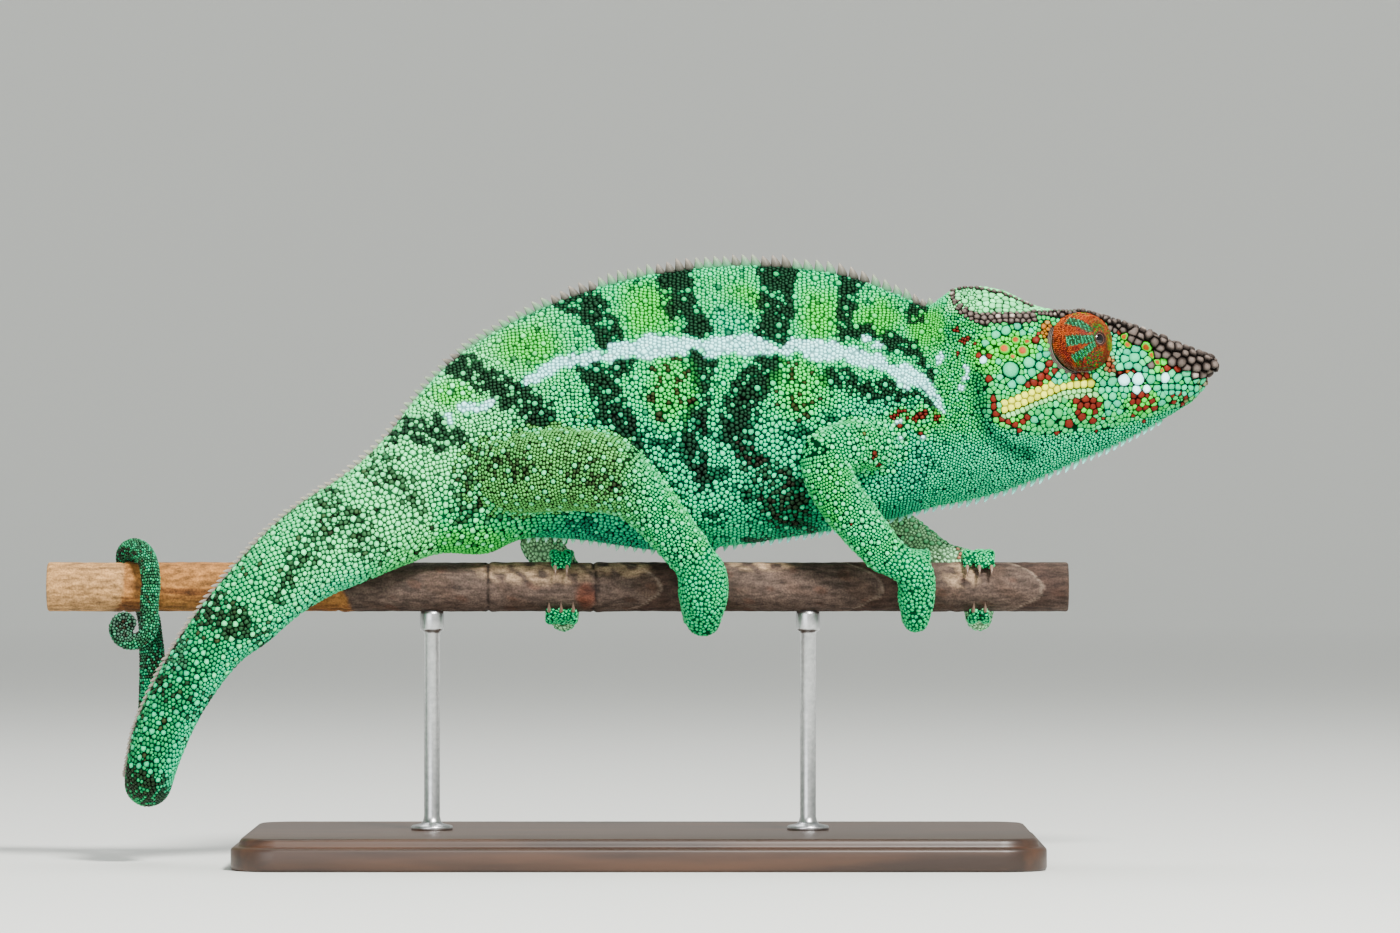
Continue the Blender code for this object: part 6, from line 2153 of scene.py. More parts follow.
class Chameleon:
    """The animal: skin, coat, eyes, spines and claws."""

    def __init__(self, random: np.random.Generator) -> None:
        """Draw the skin, grow the coat on it and prepare the markings.

        Args:
            random: the generator that random choices are drawn from.
        """
        self.random = random
        self.loft = body_loft()
        self.skin = Skin(self.shells())
        LOG.info("skin of %d faces", len(self.skin.obj.data.polygons))
        self.coat = Coat(self.loft, self.skin, random)
        self.markings = Markings(random)

    def shells(self) -> Shells:
        """Every tube of flesh, drawn in by the depth of the scales.

        Returns:
            The tubes of body, snout ridges, limbs, palms and toes.
        """
        shells = Shells()
        shells.add(self.loft.rings(0.0, self.loft.last, self.loft.last * 9, 64, -SCALE_DEPTH))
        for side in (-1.0, 1.0):
            ridge = Loft.tube([(x, side * y, z, r) for x, y, z, r in RIDGE])
            shells.add(ridge.rings(0, ridge.last, 30, 24, -SCALE_DEPTH))
        for name in LIMB_ORDER:
            inward = (0.0, FEET[name][1], 0.0)
            tubes = [Loft.tube(rows) for rows in LIMBS[name]] + [Loft.tube(palm_rows(name), inward)]
            tubes += [Loft.tube(toe_rows(name, above, toe), inward) for above, toe in toes_of(name)]
            for tube in tubes:
                shells.add(tube.rings(0, tube.last, tube.last * 8, 32, -SCALE_DEPTH))
        return shells

    def build(self) -> dict[str, bpy.types.Object]:
        """All the pieces of the animal, by name.

        Returns:
            Each object under its name.
        """
        grove = self.coat.grove
        domes = Domes(grove.place, grove.normal, grove.along, grove.radius, grove.swell, grove.chart,
                      self.coat.reach, self.random)
        colours = self.markings.colours(grove)
        right = grove.around < 0
        back = np.abs(grove.around) < 0.5
        head = grove.on(Part.HEAD) & (grove.home == 0)
        body = (grove.home == 0) & ~head
        pieces = {}
        for word, side in (("right", right), ("left", ~right)):
            pieces["scales_back_" + word] = (body & back & side, 7, GRANULE)
            pieces["scales_belly_" + word] = (body & ~back & side, 7, GRANULE)
            flank = grove.place[:, 1] < 0 if word == "right" else grove.place[:, 1] >= 0
            pieces["scales_head_" + word] = (head & flank & (grove.radius > 0.5), 12, PLATE)
            pieces["scales_throat_" + word] = (head & flank & (grove.radius <= 0.5), 7, GRANULE)
        for number, name in enumerate(LIMB_ORDER):
            pieces["scales_" + name] = (grove.home == number + 1, 6, GRANULE)
        lit = np.column_stack([colours, self.markings.grooves(grove, colours)])
        rims = lit.copy()
        for name, colour in RIMS.items():
            rims[grove.tint == list(PLATE_COLOURS).index(name), :3] = colour
        made = {name: domes.grow(chosen, name, lit, rims, corners, profile)
                for name, (chosen, corners, profile) in pieces.items()}
        for name, obj in made.items():
            LOG.info("%s: %d scales", name, int(pieces[name][0].sum()))
        self.tint_skin(lit)
        made["skin"] = self.skin.obj
        for side in (-1.0, 1.0):
            made.update({obj.name: obj for obj in Turret(side).build(self.random)})
        made["eye_wrinkles"] = self.wrinkles()
        made["crest"] = self.crest()
        made["throat_spines"] = self.throat()
        made["claws"] = self.claws()
        return made

    def wrinkles(self) -> bpy.types.Object:
        """Thin grey wrinkles of skin, like a lid, behind and below each eye.

        Returns:
            The object.
        """
        shells = Shells()
        for side in (-1.0, 1.0):
            for reach, thick in WRINKLES:
                rows = []
                for turn in np.radians(np.linspace(*WRINKLE_TURNS, 15)):
                    x, z = (Turret.centre[0] + reach * math.cos(turn),
                            Turret.centre[2] + reach * math.sin(turn))
                    place = self.skin.from_side(x, z, side)
                    ends = math.sin(math.pi * (turn - math.radians(WRINKLE_TURNS[0]))
                                    / math.radians(WRINKLE_TURNS[1] - WRINKLE_TURNS[0]))
                    rows.append((x, place[1] + side * 0.05, z, thick * (0.3 + 0.7 * ends**0.5)))
                tube = Loft.tube(rows)
                shells.add(tube.rings(0, tube.last, 60, 10, 0.0))
        obj = shells.join("eye_wrinkles")
        shade = (np.tile(paint(84, 76, 70), (len(obj.data.vertices), 1))
                 * self.random.uniform(0.6, 1.4, (len(obj.data.vertices), 1)))
        set_colours(obj, np.column_stack([shade, np.ones(len(shade))]))
        return obj

    def tint_skin(self, colours: Array) -> None:
        """Give the skin between the scales a darker copy of the nearest scale's colour: partly its own dark
        tone and partly painted shade in the grooves.

        Args:
            colours: linear red, green, blue and lightness of the groove for each root.
        """
        nearest = nearest_in(tree_of(self.coat.grove.place), self.skin.points)
        shade = colours[nearest, :3] * (0.01 + 0.85 * colours[nearest, 3:] ** 1.5) + 0.0007
        set_colours(self.skin.obj, np.column_stack([shade, np.ones(len(nearest))]))

    def colour_at(self, places: Array) -> Array:
        """The coat's colour at places near the skin.

        Args:
            places: rows of x, y, z.
        Returns:
            One colour for each place.
        """
        near = Grove.make(places, 0.5, Part.TRUNK, 0.0, places * 0, 0.02, places[:, :2] * 0)
        near.part = np.where(places[:, 0] < -60, Part.TAIL.value, Part.TRUNK.value)
        return self.markings.colours(near)

    def along_loft(self, first: float, last: float, stops: tuple, steps: tuple) -> Array:
        """Positions from first to last, a step apart that is read between stops.

        Args:
            first: the first position, counted in sections.
            last: where the positions end.
            stops: the positions at which a step is given.
            steps: the steps there, in millimetres.
        Returns:
            The positions, counted in sections.
        """
        at, end = (float(v) for v in self.loft.length(np.array([first, last])))
        found = []
        while at < end:
            found.append(float(self.loft.at_length(np.array([at]))[0]))
            at += np.interp(found[-1], stops, steps)
        return np.array(found)

    def crest(self) -> bpy.types.Object:
        """The row of flat spines down the back and tail: largest over the shoulders, smaller behind.

        Returns:
            The object.
        """
        index, loft, thorns = self.loft.index, self.loft, Thorns("crest")
        first, last = index["casque_back"] + 0.9, index["bend_5"]
        stops = (first, index["neck"], index["chest"], index["waist"], index["vent"], index["tail_4"], last)
        s = self.along_loft(first, last, stops, (1.9, 2.4, 2.45, 2.2, 1.7, 1.4, 1.3))
        height = (np.interp(s, stops, [1.3, 2.2, 2.6, 2.3, 1.6, 1.5, 1.1])
                  * self.random.uniform(0.85, 1.15, len(s)))
        width = np.interp(s, stops, [1.0, 1.3, 1.4, 1.25, 0.9, 0.75, 0.65])
        root = loft.point(s, s * 0, -SCALE_DEPTH - 0.3)
        lean = smooth(index["belly"], index["rump"], s)[:, None] * 0.7
        rear = smooth(index["rump"], index["tail_2"], s)
        tint = blend(self.colour_at(root), paint(62, 60, 54), 0.75 + 0 * s)
        tint = blend(tint, CREST_WHITE * 0.8, rear * 0.6)
        tip = blend(tint, CREST_WHITE * 1.5, 0.65 + 0.25 * rear)
        thorns.add(root, unit(catmull(loft.ups, s)) + loft.ahead(s) * lean, loft.ahead(s), height + 0.6,
                   width, tint, tip)
        return thorns.build()

    def throat(self) -> bpy.types.Object:
        """White spines under the throat, and smaller ones along the belly.

        Returns:
            The object.
        """
        index, loft, thorns = self.loft.index, self.loft, Thorns("throat_spines", curve=0.25, across=0.7)
        first, last = index["nostril"] - 0.3, index["hip"]
        stops = (first, index["eye"], index["temple"], index["nape"], index["shoulder"], index["waist"])
        s = self.along_loft(first, last, stops, (1.7, 2.0, 2.1, 2.2, 2.3, 2.4))
        height = np.interp(s, stops, [1.2, 1.8, 1.7, 1.3, 1.4, 1.3]) * self.random.uniform(0.85, 1.15, len(s))
        root = loft.point(s, s * 0 + KEEL, -SCALE_DEPTH - 0.3)
        tint = np.tile(MINT * 0.35 + TEAL * 0.3, (len(s), 1))
        tip = blend(np.tile(STRIPE_WHITE * 1.1, (len(s), 1)), LEMON * 0.7,
                    smooth(index["chest"], index["belly"], s) * 0.4)
        thorns.add(root, -unit(catmull(loft.ups, s)), loft.ahead(s), height + 0.5, 0.8, tint, tip)
        return thorns.build()

    def claws(self) -> bpy.types.Object:
        """A curved claw at the tip of every toe.

        Returns:
            The object.
        """
        thorns = Thorns("claws", around=10, shares=(0.0, 0.15, 0.35, 0.6, 0.8, 0.93), curve=0.7, across=0.8)
        horn, dark = paint(132, 108, 92), paint(60, 42, 34)
        for name in LIMB_ORDER:
            for above, toe in toes_of(name):
                rows = toe_rows(name, above, toe)
                tip, ahead = rows[-1, :3], unit(rows[-1, :3] - rows[-2, :3])
                out = unit(tip - np.array([tip[0], 0.0, PERCH_AXIS_Z]))
                root = tip + ahead * 0.4 + out * 0.35
                thorns.add(root[None], (ahead + out * 0.45)[None], -out[None], 2.5, 0.62, horn, dark)
        return thorns.build()


@dataclass
class Perch:
    """A cut length of weathered cane with peeling bark."""

    first: float = -148.0
    last: float = 107.0
    radius: float = PERCH_RADIUS
    joints: tuple = (-129.0, -75.0, -38.0, -11.2, 78.0)

    def build(self) -> bpy.types.Object:
        """The cane as a fine tube, its radius uneven by slow waves, with shallow rings and bevelled
        ends.

        Returns:
            The object.
        """
        along, around = 360, 80
        x = np.linspace(self.first + 0.6, self.last - 0.6, along)
        turn = np.linspace(0, 2 * math.pi, around, endpoint=False)
        grid_x, grid_turn = np.meshgrid(x, turn, indexing="ij")
        y, z = np.cos(grid_turn) * self.radius, np.sin(grid_turn) * self.radius
        uneven = 0.10 * ripple(grid_x * 0.35, y, z, 9.0) + 0.05 * ripple(grid_x, y * 2, z * 2, 4.0, 1.0)
        for place in self.joints:
            away = grid_x - place - 0.5 * np.sin(grid_turn * 2 + place)
            uneven = (uneven - 0.32 * np.exp(-((away / 0.35) ** 2))
                      + 0.16 * np.exp(-(((away - 1.3) / 1.0) ** 2)))
        radius = self.radius - 0.06 + uneven
        rings = np.stack([grid_x, np.cos(grid_turn) * radius, PERCH_AXIS_Z + np.sin(grid_turn) * radius], -1)
        ends = []
        for ring, way in ((rings[0], -1.0), (rings[-1], 1.0)):
            middle = ring.mean(axis=0)
            ends.append([middle + (ring - middle) * [1, s, s] + [way * d, 0, 0]
                         for s, d in ((0.985, 0.35), (0.94, 0.6), (0.7, 0.62), (0.4, 0.6), (0.12, 0.6))])
        shells = Shells()
        shells.add(np.concatenate([ends[0][::-1], rings, ends[1]]))
        obj = shells.join("cane")
        colours = self.colours(*np.concatenate(shells.points).T)
        set_colours(obj, np.column_stack([colours, np.ones(len(colours))]))
        return obj

    def colours(self, x: Array, y: Array, z: Array) -> Array:
        """Grey-brown bark in overlapping sheets, pale in patches along the top, cracked at the joints,
        bare at one end.

        Args:
            x, y, z: the places, in millimetres.
        Returns:
            One colour for each place.
        """
        high = (z - PERCH_AXIS_Z) / self.radius
        base = np.tile(paint(80, 65, 57), (len(x), 1))
        base = blend(base, paint(72, 54, 44), smooth(0.0, 0.7, ripple(x, y * 2, z * 2, 16.0)) * 0.6)
        base = blend(base, paint(66, 40, 28), smooth(0.5, 0.8, ripple(x, y * 2, z * 2, 9.0, 2.0)) * 0.5)
        # past the end of each bark sheet the bark is darker and redder; the thin pale line along its edge is
        # a painted highlight
        for end in (5.5, 60.7, 101.0):
            edge = x - end + 9.0 * high**2 + 0.5 * ripple(x, y, z, 5.0)
            base = blend(base, paint(56, 39, 32), smooth(-0.4, 0.3, edge) * smooth(13, 1, edge) * 0.8)
            base = blend(base, paint(130, 112, 98), smooth(-1.2, -0.5, edge) * smooth(0.2, -0.3, edge) * 0.6)
        pale_top_patches = spot(x, high, ((-25.0, 0.75, 15.0, 0.62), (-4.0, 0.8, 6.0, 0.4), (80.5, 0.5, 4.5, 0.5),
                              (30.0, 0.95, 9.0, 0.3)), 0.3)
        pale_top_patches = pale_top_patches * smooth(-0.5, 0.1, ripple(x, y * 2, z * 2, 5.5, 1.0))
        base = blend(base, paint(160, 132, 104), pale_top_patches * 0.85)
        base = blend(base, paint(92, 44, 26), spot(x, high, ((-13.4, -0.35, 2.4, 0.5),), 0.4) * 0.7)
        bare = smooth(-74.0, -75.5, x + 3.0 * high + 0.8 * ripple(x, y, z, 6.0))
        streak = smooth(-0.2, 0.6, ripple(x * 0.12, y * 3, z * 3, 5.0)) * smooth(0.5, -0.2, high)
        base = blend(base, blend(np.tile(paint(160, 108, 54), (len(x), 1)), paint(96, 54, 26), streak * 0.8),
                     bare)
        base = blend(base, paint(186, 146, 96),
                     smooth(-128.8, -129.1, x + 2.6 * np.maximum(0.0, -high) ** 3) * 0.6)
        for joint in self.joints[2:4]:
            crack = np.abs(x - joint - 0.5 * np.sin(y + joint) - 0.3 * ripple(x, y, z, 3.0))
            base = blend(base, paint(34, 24, 20), smooth(0.5, 0.15, crack))
        return base * 0.86


@dataclass
class Stand:
    """A plain plate and two rods that carry the cane."""

    length: float = 200.0
    depth: float = 104.0
    height: float = 8.0
    corner: float = 12.0
    rod_radius: float = 2.0
    rods: tuple = (("front", 42.0), ("rear", -52.0))

    def plate(self) -> bpy.types.Object:
        """The plate: rounded rectangles stacked by inset and height, with a shallow step round the top.

        Returns:
            The object.
        """
        profile = ((0.9, 0.0), (0.25, 0.2), (0.0, 0.8), (0.0, 4.9), (0.2, 5.4), (0.7, 5.7), (1.5, 5.8),
                   (1.9, 6.0), (2.1, 6.5), (2.2, 7.2), (2.6, 7.75), (3.3, 8.0), (5.0, 8.0), (20.0, 8.0),
                   (48.0, 8.0))
        turn = np.linspace(0, 2 * math.pi, 161)[:-1] + 1e-4
        rings = []
        for inset, z in profile:
            half_x, half_y = self.length / 2 - inset, self.depth / 2 - inset
            corner = min(max(self.corner - inset, 1.5), half_y)
            x = np.cos(turn) * corner + np.sign(np.cos(turn)) * (half_x - corner)
            y = np.sin(turn) * corner + np.sign(np.sin(turn)) * (half_y - corner)
            rings.append(np.column_stack([x, y, np.full(len(x), z)]))
        shells = Shells()
        shells.add(np.array(rings))
        return shells.join("plate")

    def rod(self, word: str, x: float) -> bpy.types.Object:
        """A turned rod: a low flange on the plate, the shaft and a narrow collar under the cane.

        Args:
            word: which rod, for the name.
            x: how far forward it stands, in millimetres.
        Returns:
            The object.
        """
        r, top = self.rod_radius, PERCH_AXIS_Z - PERCH_RADIUS
        z = self.height
        profile = ((5.2, z - 0.05), (5.2, z + 0.9), (4.9, z + 1.2), (2.9, z + 1.6), (2.3, z + 2.2),
                   (r, z + 3.4), (r, top - 5.4), (r + 0.25, top - 4.9), (r + 0.9, top - 4.6),
                   (r + 1.0, top - 4.2), (r + 1.0, top - 0.6), (r + 0.8, top + 0.3), (0.6, top + 0.5))
        turn = np.linspace(0, 2 * math.pi, 64, endpoint=False)
        rings = [np.column_stack([x + np.cos(turn) * w, np.sin(turn) * w, np.full(64, h)])
                 for w, h in profile]
        shells = Shells()
        shells.add(np.array(rings))
        return shells.join("rod_" + word)


class Studio:
    """Floor, lights and camera."""

    distance = 2.0
    width = 0.35  # of the view, at the animal
    middle = (0.015, 0.098875)
    level = 3600.0  # how far out the floor stays level: past the orbit that a turned view takes
    sweep = 900.0
    wall = 4200.0
    sides = 96
    glow = 0.34  # the far backdrop's own light, since the lamps hardly reach it

    def build(self) -> None:
        """Lay the floor, hang the lights and set the camera."""
        self.floor()
        self.light("key", (0.40, -0.95, 1.05), 0.30, 57.0, (1.0, 0.98, 0.94))
        self.light("fill", (-0.55, -1.15, 0.16), 0.9, 9.0, (0.97, 0.98, 1.0))
        self.light("top", (-0.1, 0.45, 1.1), 0.8, 10.0, (1.0, 1.0, 1.0))
        world = bpy.context.scene.world or bpy.data.worlds.new("world")
        bpy.context.scene.world = world
        world.use_nodes = True
        world.node_tree.nodes["Background"].inputs["Color"].default_value = (0.9, 0.95, 1.0, 1.0)
        world.node_tree.nodes["Background"].inputs["Strength"].default_value = 0.2
        camera = bpy.data.cameras.new("camera")
        camera.sensor_width = 36.0
        camera.lens = 36.0 * self.distance / self.width
        camera.clip_end = 20.0
        obj = bpy.data.objects.new("camera", camera)
        obj.location = (self.middle[0], -self.distance, self.middle[1])
        obj.rotation_euler = (math.radians(90.0), 0.0, 0.0)
        bpy.context.scene.collection.objects.link(obj)
        bpy.context.scene.camera = obj

    def floor(self) -> None:
        """A pale floor, level past every viewpoint, that sweeps up all round into a faintly lit backdrop."""
        bend = np.linspace(0, math.pi / 2, 24)
        reach = np.concatenate([[400.0, 1500.0], self.level + self.sweep * np.sin(bend),
                                [self.level + self.sweep]])
        high = np.concatenate([[0.0, 0.0], self.sweep * (1 - np.cos(bend)), [self.wall]])
        turn = np.linspace(0, 2 * math.pi, self.sides, endpoint=False)
        points = np.stack([reach[:, None] * np.cos(turn), reach[:, None] * np.sin(turn),
                           np.tile(high[:, None], self.sides)], -1)
        r, c = np.meshgrid(np.arange(len(reach) - 1), np.arange(self.sides), indexing="ij")
        after = (c + 1) % self.sides
        quads = np.stack([r * self.sides + c, (r + 1) * self.sides + c, (r + 1) * self.sides + after,
                          r * self.sides + after], -1)
        faces = np.concatenate([quads.ravel(), np.arange(self.sides)])
        counts = np.append(np.full(quads[..., 0].size, 4), self.sides)
        obj = build_mesh("floor", points.reshape(-1, 3), faces, counts)
        nodes = Nodes("floor")
        pale = rgba(paint(214, 216, 212))
        far = nodes.add("ShaderNodeVectorMath", operation="LENGTH")
        nodes.tree.links.new(nodes.position(), far.inputs[0])
        nodes.put(nodes.shader, "Base Color", pale)
        nodes.put(nodes.shader, "Roughness", 0.85)
        nodes.put(nodes.shader, "Emission Color", pale)
        nodes.put(nodes.shader, "Emission Strength",
                  nodes.ramp(far.outputs["Value"], 0.5, 3.0, 0.0, self.glow))
        nodes.material.cycles.emission_sampling = "NONE"
        obj.data.materials.append(nodes.material)

    @staticmethod
    def light(name: str, place: tuple, size: float, power: float, colour: tuple) -> None:
        """An area light that looks at the animal.

        Args:
            name: the lamp's name.
            place: where it hangs, in metres.
            size: how wide it is, in metres.
            power: its power in watts.
            colour: its colour.
        """
        lamp = bpy.data.lights.new(name, "AREA")
        lamp.shape, lamp.size, lamp.energy, lamp.color = "DISK", size, power, colour
        obj = bpy.data.objects.new(name, lamp)
        obj.location = place
        obj.visible_camera = False
        aim = Vector(LIGHT_AIM) - Vector(place)
        obj.rotation_euler = aim.to_track_quat("-Z", "Y").to_euler()
        bpy.context.scene.collection.objects.link(obj)


class Nodes:
    """A small helper that builds a material's node tree."""

    def __init__(self, name: str) -> None:
        """Make a material that has nothing but its shader.

        Args:
            name: the material's name.
        """
        self.material = bpy.data.materials.new(name)
        self.material.use_nodes = True
        self.tree = self.material.node_tree
        self.shader = self.tree.nodes["Principled BSDF"]

    def add(self, kind: str, **values: object) -> bpy.types.Node:
        """A node of a kind, with properties set by name and sockets by name or number.

        Args:
            kind: the kind of node.
            values: properties by their name, and sockets by their title in small letters.
        Returns:
            The node.
        """
        node = self.tree.nodes.new(kind)
        for key, value in values.items():
            if hasattr(node, key):
                setattr(node, key, value)
            else:
                self.put(node, key.replace("_", " ").title(), value)
        return node

    def put(self, node: bpy.types.Node, socket: str | int, value: object) -> None:
        """Set an input to a value, or link another node's output socket to it.

        Args:
            node: the node that has the input.
            socket: the input's name or number.
            value: a value, or the output socket of another node.
        """
        if isinstance(value, bpy.types.NodeSocket):
            self.tree.links.new(value, node.inputs[socket])
        else:
            node.inputs[socket].default_value = value

    def noise(self, vector: bpy.types.NodeSocket, scale: float, detail: float = 3.0) -> bpy.types.NodeSocket:
        """A noise pattern over a vector.

        Args:
            vector: the place that the pattern is read at.
            scale: how fine it is, in parts per metre.
            detail: how many finer layers are added.
        Returns:
            The pattern's strength.
        """
        node = self.add("ShaderNodeTexNoise", Scale=scale, Detail=detail)
        self.tree.links.new(vector, node.inputs["Vector"])
        return node.outputs["Fac"]

    def ramp(self, value: bpy.types.NodeSocket, low: float, high: float, start: float,
             end: float) -> bpy.types.NodeSocket:
        """Map a value from low..high onto start..end, without running past them.

        Args:
            value: the value to map.
            low: where the ramp begins.
            high: where it ends.
            start: the result at low.
            end: the result at high.
        Returns:
            The result.
        """
        node = self.add("ShaderNodeMapRange")
        for k, number in enumerate((low, high, start, end)):
            node.inputs[k + 1].default_value = number
        self.tree.links.new(value, node.inputs[0])
        return node.outputs[0]

    def mix(self, share: object, a: object, b: object, blend_type: str = "MIX") -> bpy.types.NodeSocket:
        """Blend two colours.

        Args:
            share: how much of the second colour there is.
            a: the first colour.
            b: the second colour.
            blend_type: how they are blended.
        Returns:
            The blended colour.
        """
        node = self.add("ShaderNodeMix", data_type="RGBA", blend_type=blend_type)
        for socket, value in ((0, share), (6, a), (7, b)):
            self.put(node, socket, value)
        return node.outputs[2]

    def times(self, first: bpy.types.NodeSocket, second: bpy.types.NodeSocket) -> bpy.types.NodeSocket:
        """Multiply two values.

        Args:
            first: one value.
            second: the other.
        Returns:
            Their product.
        """
        node = self.add("ShaderNodeMath", operation="MULTIPLY")
        self.put(node, 0, first)
        self.put(node, 1, second)
        return node.outputs[0]

    def bump(self, height: bpy.types.NodeSocket, strength: float, distance: float) -> None:
        """Raise a fine relief on the surface.

        Args:
            height: how high the surface stands.
            strength: how strong the relief is.
            distance: how high it rises, in metres.
        """
        node = self.add("ShaderNodeBump", Strength=strength, Distance=distance)
        self.tree.links.new(height, node.inputs["Height"])
        self.tree.links.new(node.outputs["Normal"], self.shader.inputs["Normal"])

    def position(self) -> bpy.types.NodeSocket:
        """The place on the piece, in metres."""
        return self.add("ShaderNodeTexCoord").outputs["Object"]


def rgba(colour: Array) -> tuple:
    """A linear colour with full cover."""
    return (*map(float, colour), 1.0)


def painted(finish: Finish) -> bpy.types.Material:
    """A finish that shows the paint attribute, with painted shade towards each scale's rim and a painted
    highlight on its top, over a fine relief.

    Args:
        finish: how the surface takes light.
    Returns:
        The material.
    """
    nodes = Nodes(finish.name)
    layer = nodes.add("ShaderNodeAttribute", attribute_name="paint")
    grain = nodes.noise(nodes.position(), finish.grain)
    # painted shade towards the rim and a painted highlight on the top, both read from the attribute's fourth
    # value
    rise = nodes.ramp(layer.outputs["Alpha"], 0.0, 0.6, finish.rim, 1.0)
    top = nodes.ramp(layer.outputs["Alpha"], 0.5, 1.0, 1.0, finish.painted_highlight)
    fleck = nodes.ramp(grain, 0.3, 0.7, 0.9, 1.1)
    shade = nodes.add("ShaderNodeVectorMath", operation="SCALE")
    nodes.put(shade, 0, layer.outputs["Color"])
    nodes.put(shade, "Scale", nodes.times(nodes.times(rise, top), fleck))
    nodes.put(nodes.shader, "Base Color", shade.outputs[0])
    nodes.put(nodes.shader, "Roughness", finish.roughness)
    nodes.put(nodes.shader, "Specular IOR Level", finish.gloss)
    nodes.bump(grain, finish.bump, 0.0002)
    return nodes.material


def bark(name: str) -> bpy.types.Material:
    """The cane's paint broken up by a fine fibrous grain that runs along it.

    Args:
        name: the material's name.
    Returns:
        The material.
    """
    nodes = Nodes(name)
    place = nodes.position()
    long = nodes.add("ShaderNodeVectorMath", operation="MULTIPLY")
    nodes.put(long, 0, place)
    nodes.put(long, 1, (0.35, 1.0, 1.0))
    fibre = nodes.noise(long.outputs[0], 900.0, 6.0)
    fleck = nodes.noise(place, 2200.0, 3.0)
    layer = nodes.add("ShaderNodeAttribute", attribute_name="paint")
    shade = nodes.add("ShaderNodeVectorMath", operation="SCALE")
    nodes.put(shade, 0, layer.outputs["Color"])
    nodes.put(shade, "Scale", nodes.times(nodes.ramp(fibre, 0.32, 0.68, 0.42, 1.35),
                                          nodes.ramp(fleck, 0.35, 0.65, 0.7, 1.3)))
    nodes.put(nodes.shader, "Base Color", shade.outputs[0])
    nodes.put(nodes.shader, "Roughness", 0.8)
    nodes.put(nodes.shader, "Specular IOR Level", 0.2)
    nodes.bump(fibre, 0.6, 0.0004)
    return nodes.material


def wood(name: str) -> bpy.types.Material:
    """Dark stained wood with a fine straight grain along the plate.

    Args:
        name: the material's name.
    Returns:
        The material.
    """
    nodes = Nodes(name)
    long = nodes.add("ShaderNodeVectorMath", operation="MULTIPLY")
    nodes.put(long, 0, nodes.position())
    nodes.put(long, 1, (0.06, 1.0, 0.6))
    grain = nodes.noise(long.outputs[0], 380.0, 6.0)
    broad = nodes.noise(long.outputs[0], 60.0, 3.0)
    colour = nodes.mix(nodes.ramp(grain, 0.35, 0.65, 0.0, 1.0), rgba(paint(44, 29, 21)),
                       rgba(paint(76, 50, 34)))
    colour = nodes.mix(nodes.ramp(broad, 0.4, 0.6, 0.0, 0.5), colour, rgba(paint(34, 22, 17)))
    nodes.put(nodes.shader, "Base Color", colour)
    nodes.put(nodes.shader, "Roughness", 0.42)
    nodes.bump(grain, 0.25, 0.0002)
    return nodes.material


def steel(name: str) -> bpy.types.Material:
    """Brushed steel with a faint uneven polish.

    Args:
        name: the material's name.
    Returns:
        The material.
    """
    nodes = Nodes(name)
    cloud = nodes.noise(nodes.position(), 900.0)
    nodes.put(nodes.shader, "Base Color",
              nodes.mix(nodes.ramp(cloud, 0.3, 0.7, 0.0, 1.0), rgba(paint(168, 170, 172)),
                                                    rgba(paint(196, 197, 198))))
    nodes.put(nodes.shader, "Metallic", 1.0)
    nodes.put(nodes.shader, "Roughness", 0.32)
    return nodes.material


# rim paints shade into the grooves of each dome, and the last value paints a highlight on its top
SCALE_FINISH = Finish("scales", 0.48, 0.05, 2600.0, 0.2, 0.09, 1.45)
SKIN_FINISH = Finish("skin_between", 0.9, 1.0, 1800.0, 0.4, 0.0)
EYE_FINISH = Finish("eye_granules", 0.5, 0.03, 3000.0, 0.2, 0.08, 1.7)
PUPIL_FINISH = Finish("pupil", 0.08, 1.0, 400.0, 0.0, 0.6)
SPINE_FINISH = Finish("spines", 0.45, 1.0, 2600.0, 0.2, 0.15)
CLAW_FINISH = Finish("claws_horn", 0.3, 1.0, 900.0, 0.15)

FLESH = ("head", "lower_jaw", "casque", "neck", "chest", "belly", "pelvis", "tail_base", "tail_middle",
         "tail_bend", "tail_hook", "tail_curl",
         *(f"{limb}_{part}" for limb in LIMB_ORDER for part in ("upper", "lower", "foot")))


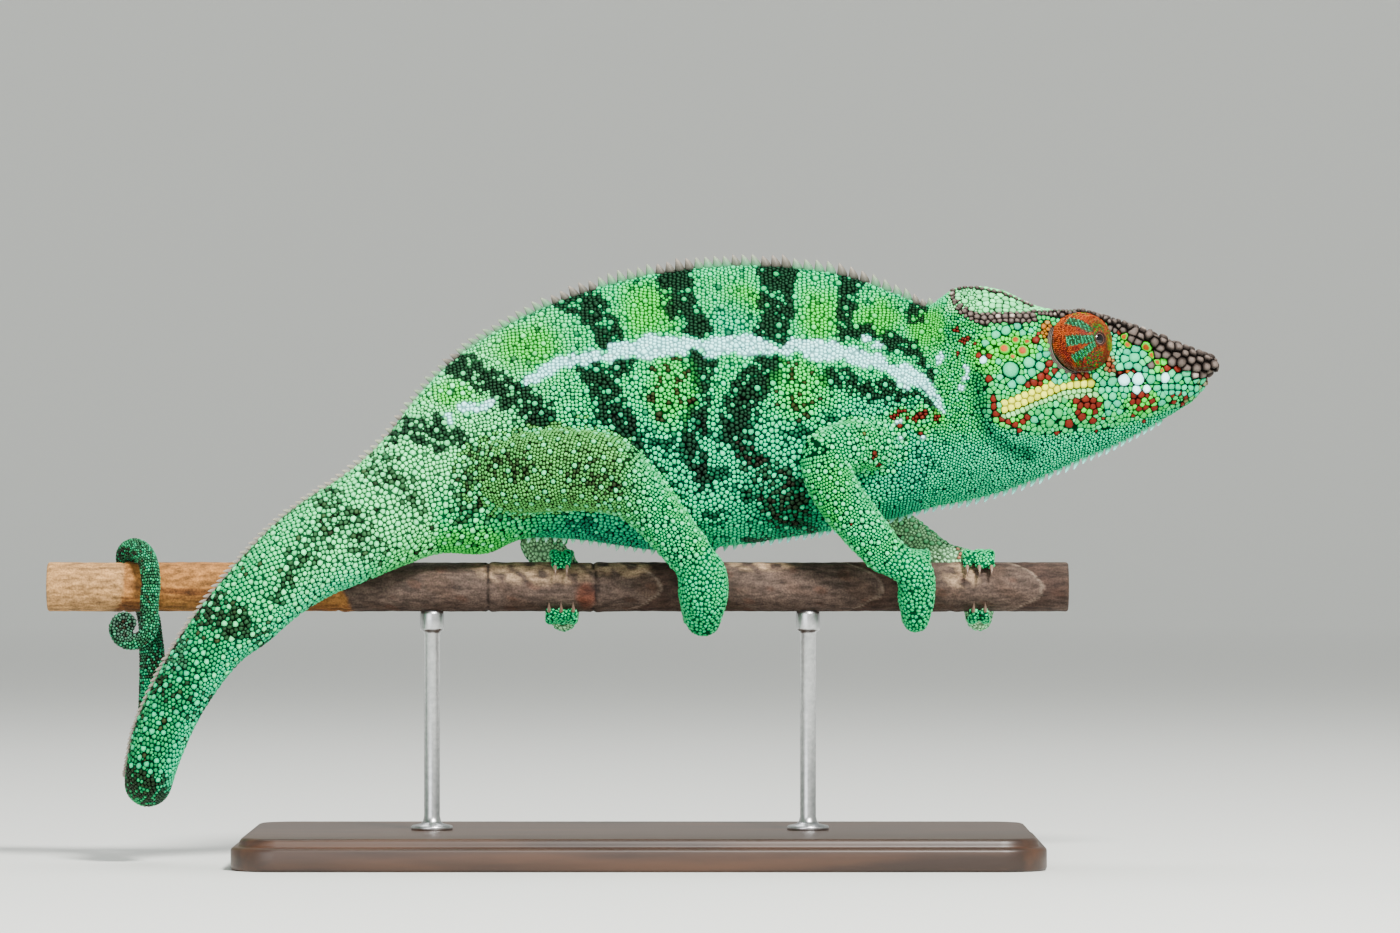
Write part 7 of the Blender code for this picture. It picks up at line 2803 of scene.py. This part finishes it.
def triangles(obj: bpy.types.Object) -> int:
    """How many triangles an object's faces make."""
    return len(obj.data.loops) - 2 * len(obj.data.polygons)


def place_piece(obj: bpy.types.Object, material: bpy.types.Material, slot: str, *nodes: str) -> None:
    """Finish a piece, hang it on the root body and hide the solids it stands for.

    Args:
        obj: the piece.
        material: its finish.
        slot: the name of the group it belongs to; not used.
        nodes: the solids it stands for, if any.
    """
    obj.data.materials.append(material)
    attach(obj, "root")
    if nodes:
        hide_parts(*nodes)
    LOG.info("%s: %d triangles of %s", obj.name, triangles(obj), material.name)


def main() -> None:
    """Build the pieces in order and finish the scene."""
    logging.basicConfig(level=logging.INFO, format="%(relativeCreated)d %(message)s")
    for name in ("Cube", "Light", "Camera"):
        if name in bpy.data.objects:
            bpy.data.objects.remove(bpy.data.objects[name])
    random = np.random.default_rng(SEED)
    animal = Chameleon(random)
    pieces = animal.build()
    scales, between = painted(SCALE_FINISH), painted(SKIN_FINISH)
    granules, pupil = painted(EYE_FINISH), painted(PUPIL_FINISH)
    spines, claws = painted(SPINE_FINISH), painted(CLAW_FINISH)
    for name, obj in pieces.items():
        if name == "skin":
            place_piece(obj, between, "skin", *FLESH)
        elif name.startswith("turret"):
            place_piece(obj, granules, "eye", "eye_" + name.split("_")[1])
        elif name.startswith("eyeball"):
            place_piece(obj, pupil, "eye")
        elif name.startswith("scales_eye"):
            place_piece(obj, granules, "eye")
        elif name == "claws":
            place_piece(obj, claws, "skin")
        elif name in ("crest", "throat_spines", "eye_wrinkles"):
            place_piece(obj, spines, "skin")
        else:
            place_piece(obj, scales, "skin")
    place_piece(Perch().build(), bark("cane_bark"), "cane", "perch")
    stand = Stand()
    place_piece(stand.plate(), wood("stained_wood"), "stand_wood", "stand_base")
    metal = steel("brushed_steel")
    for word, x in stand.rods:
        place_piece(stand.rod(word, x), metal, "stand_steel", "stand_rod_" + word)
    Studio().build()
    shown = [obj for obj in bpy.data.objects if obj.type == "MESH" and not obj.hide_render]
    LOG.info("%d triangles in all", sum(map(triangles, shown)))


if __name__ == "__main__":
    main()
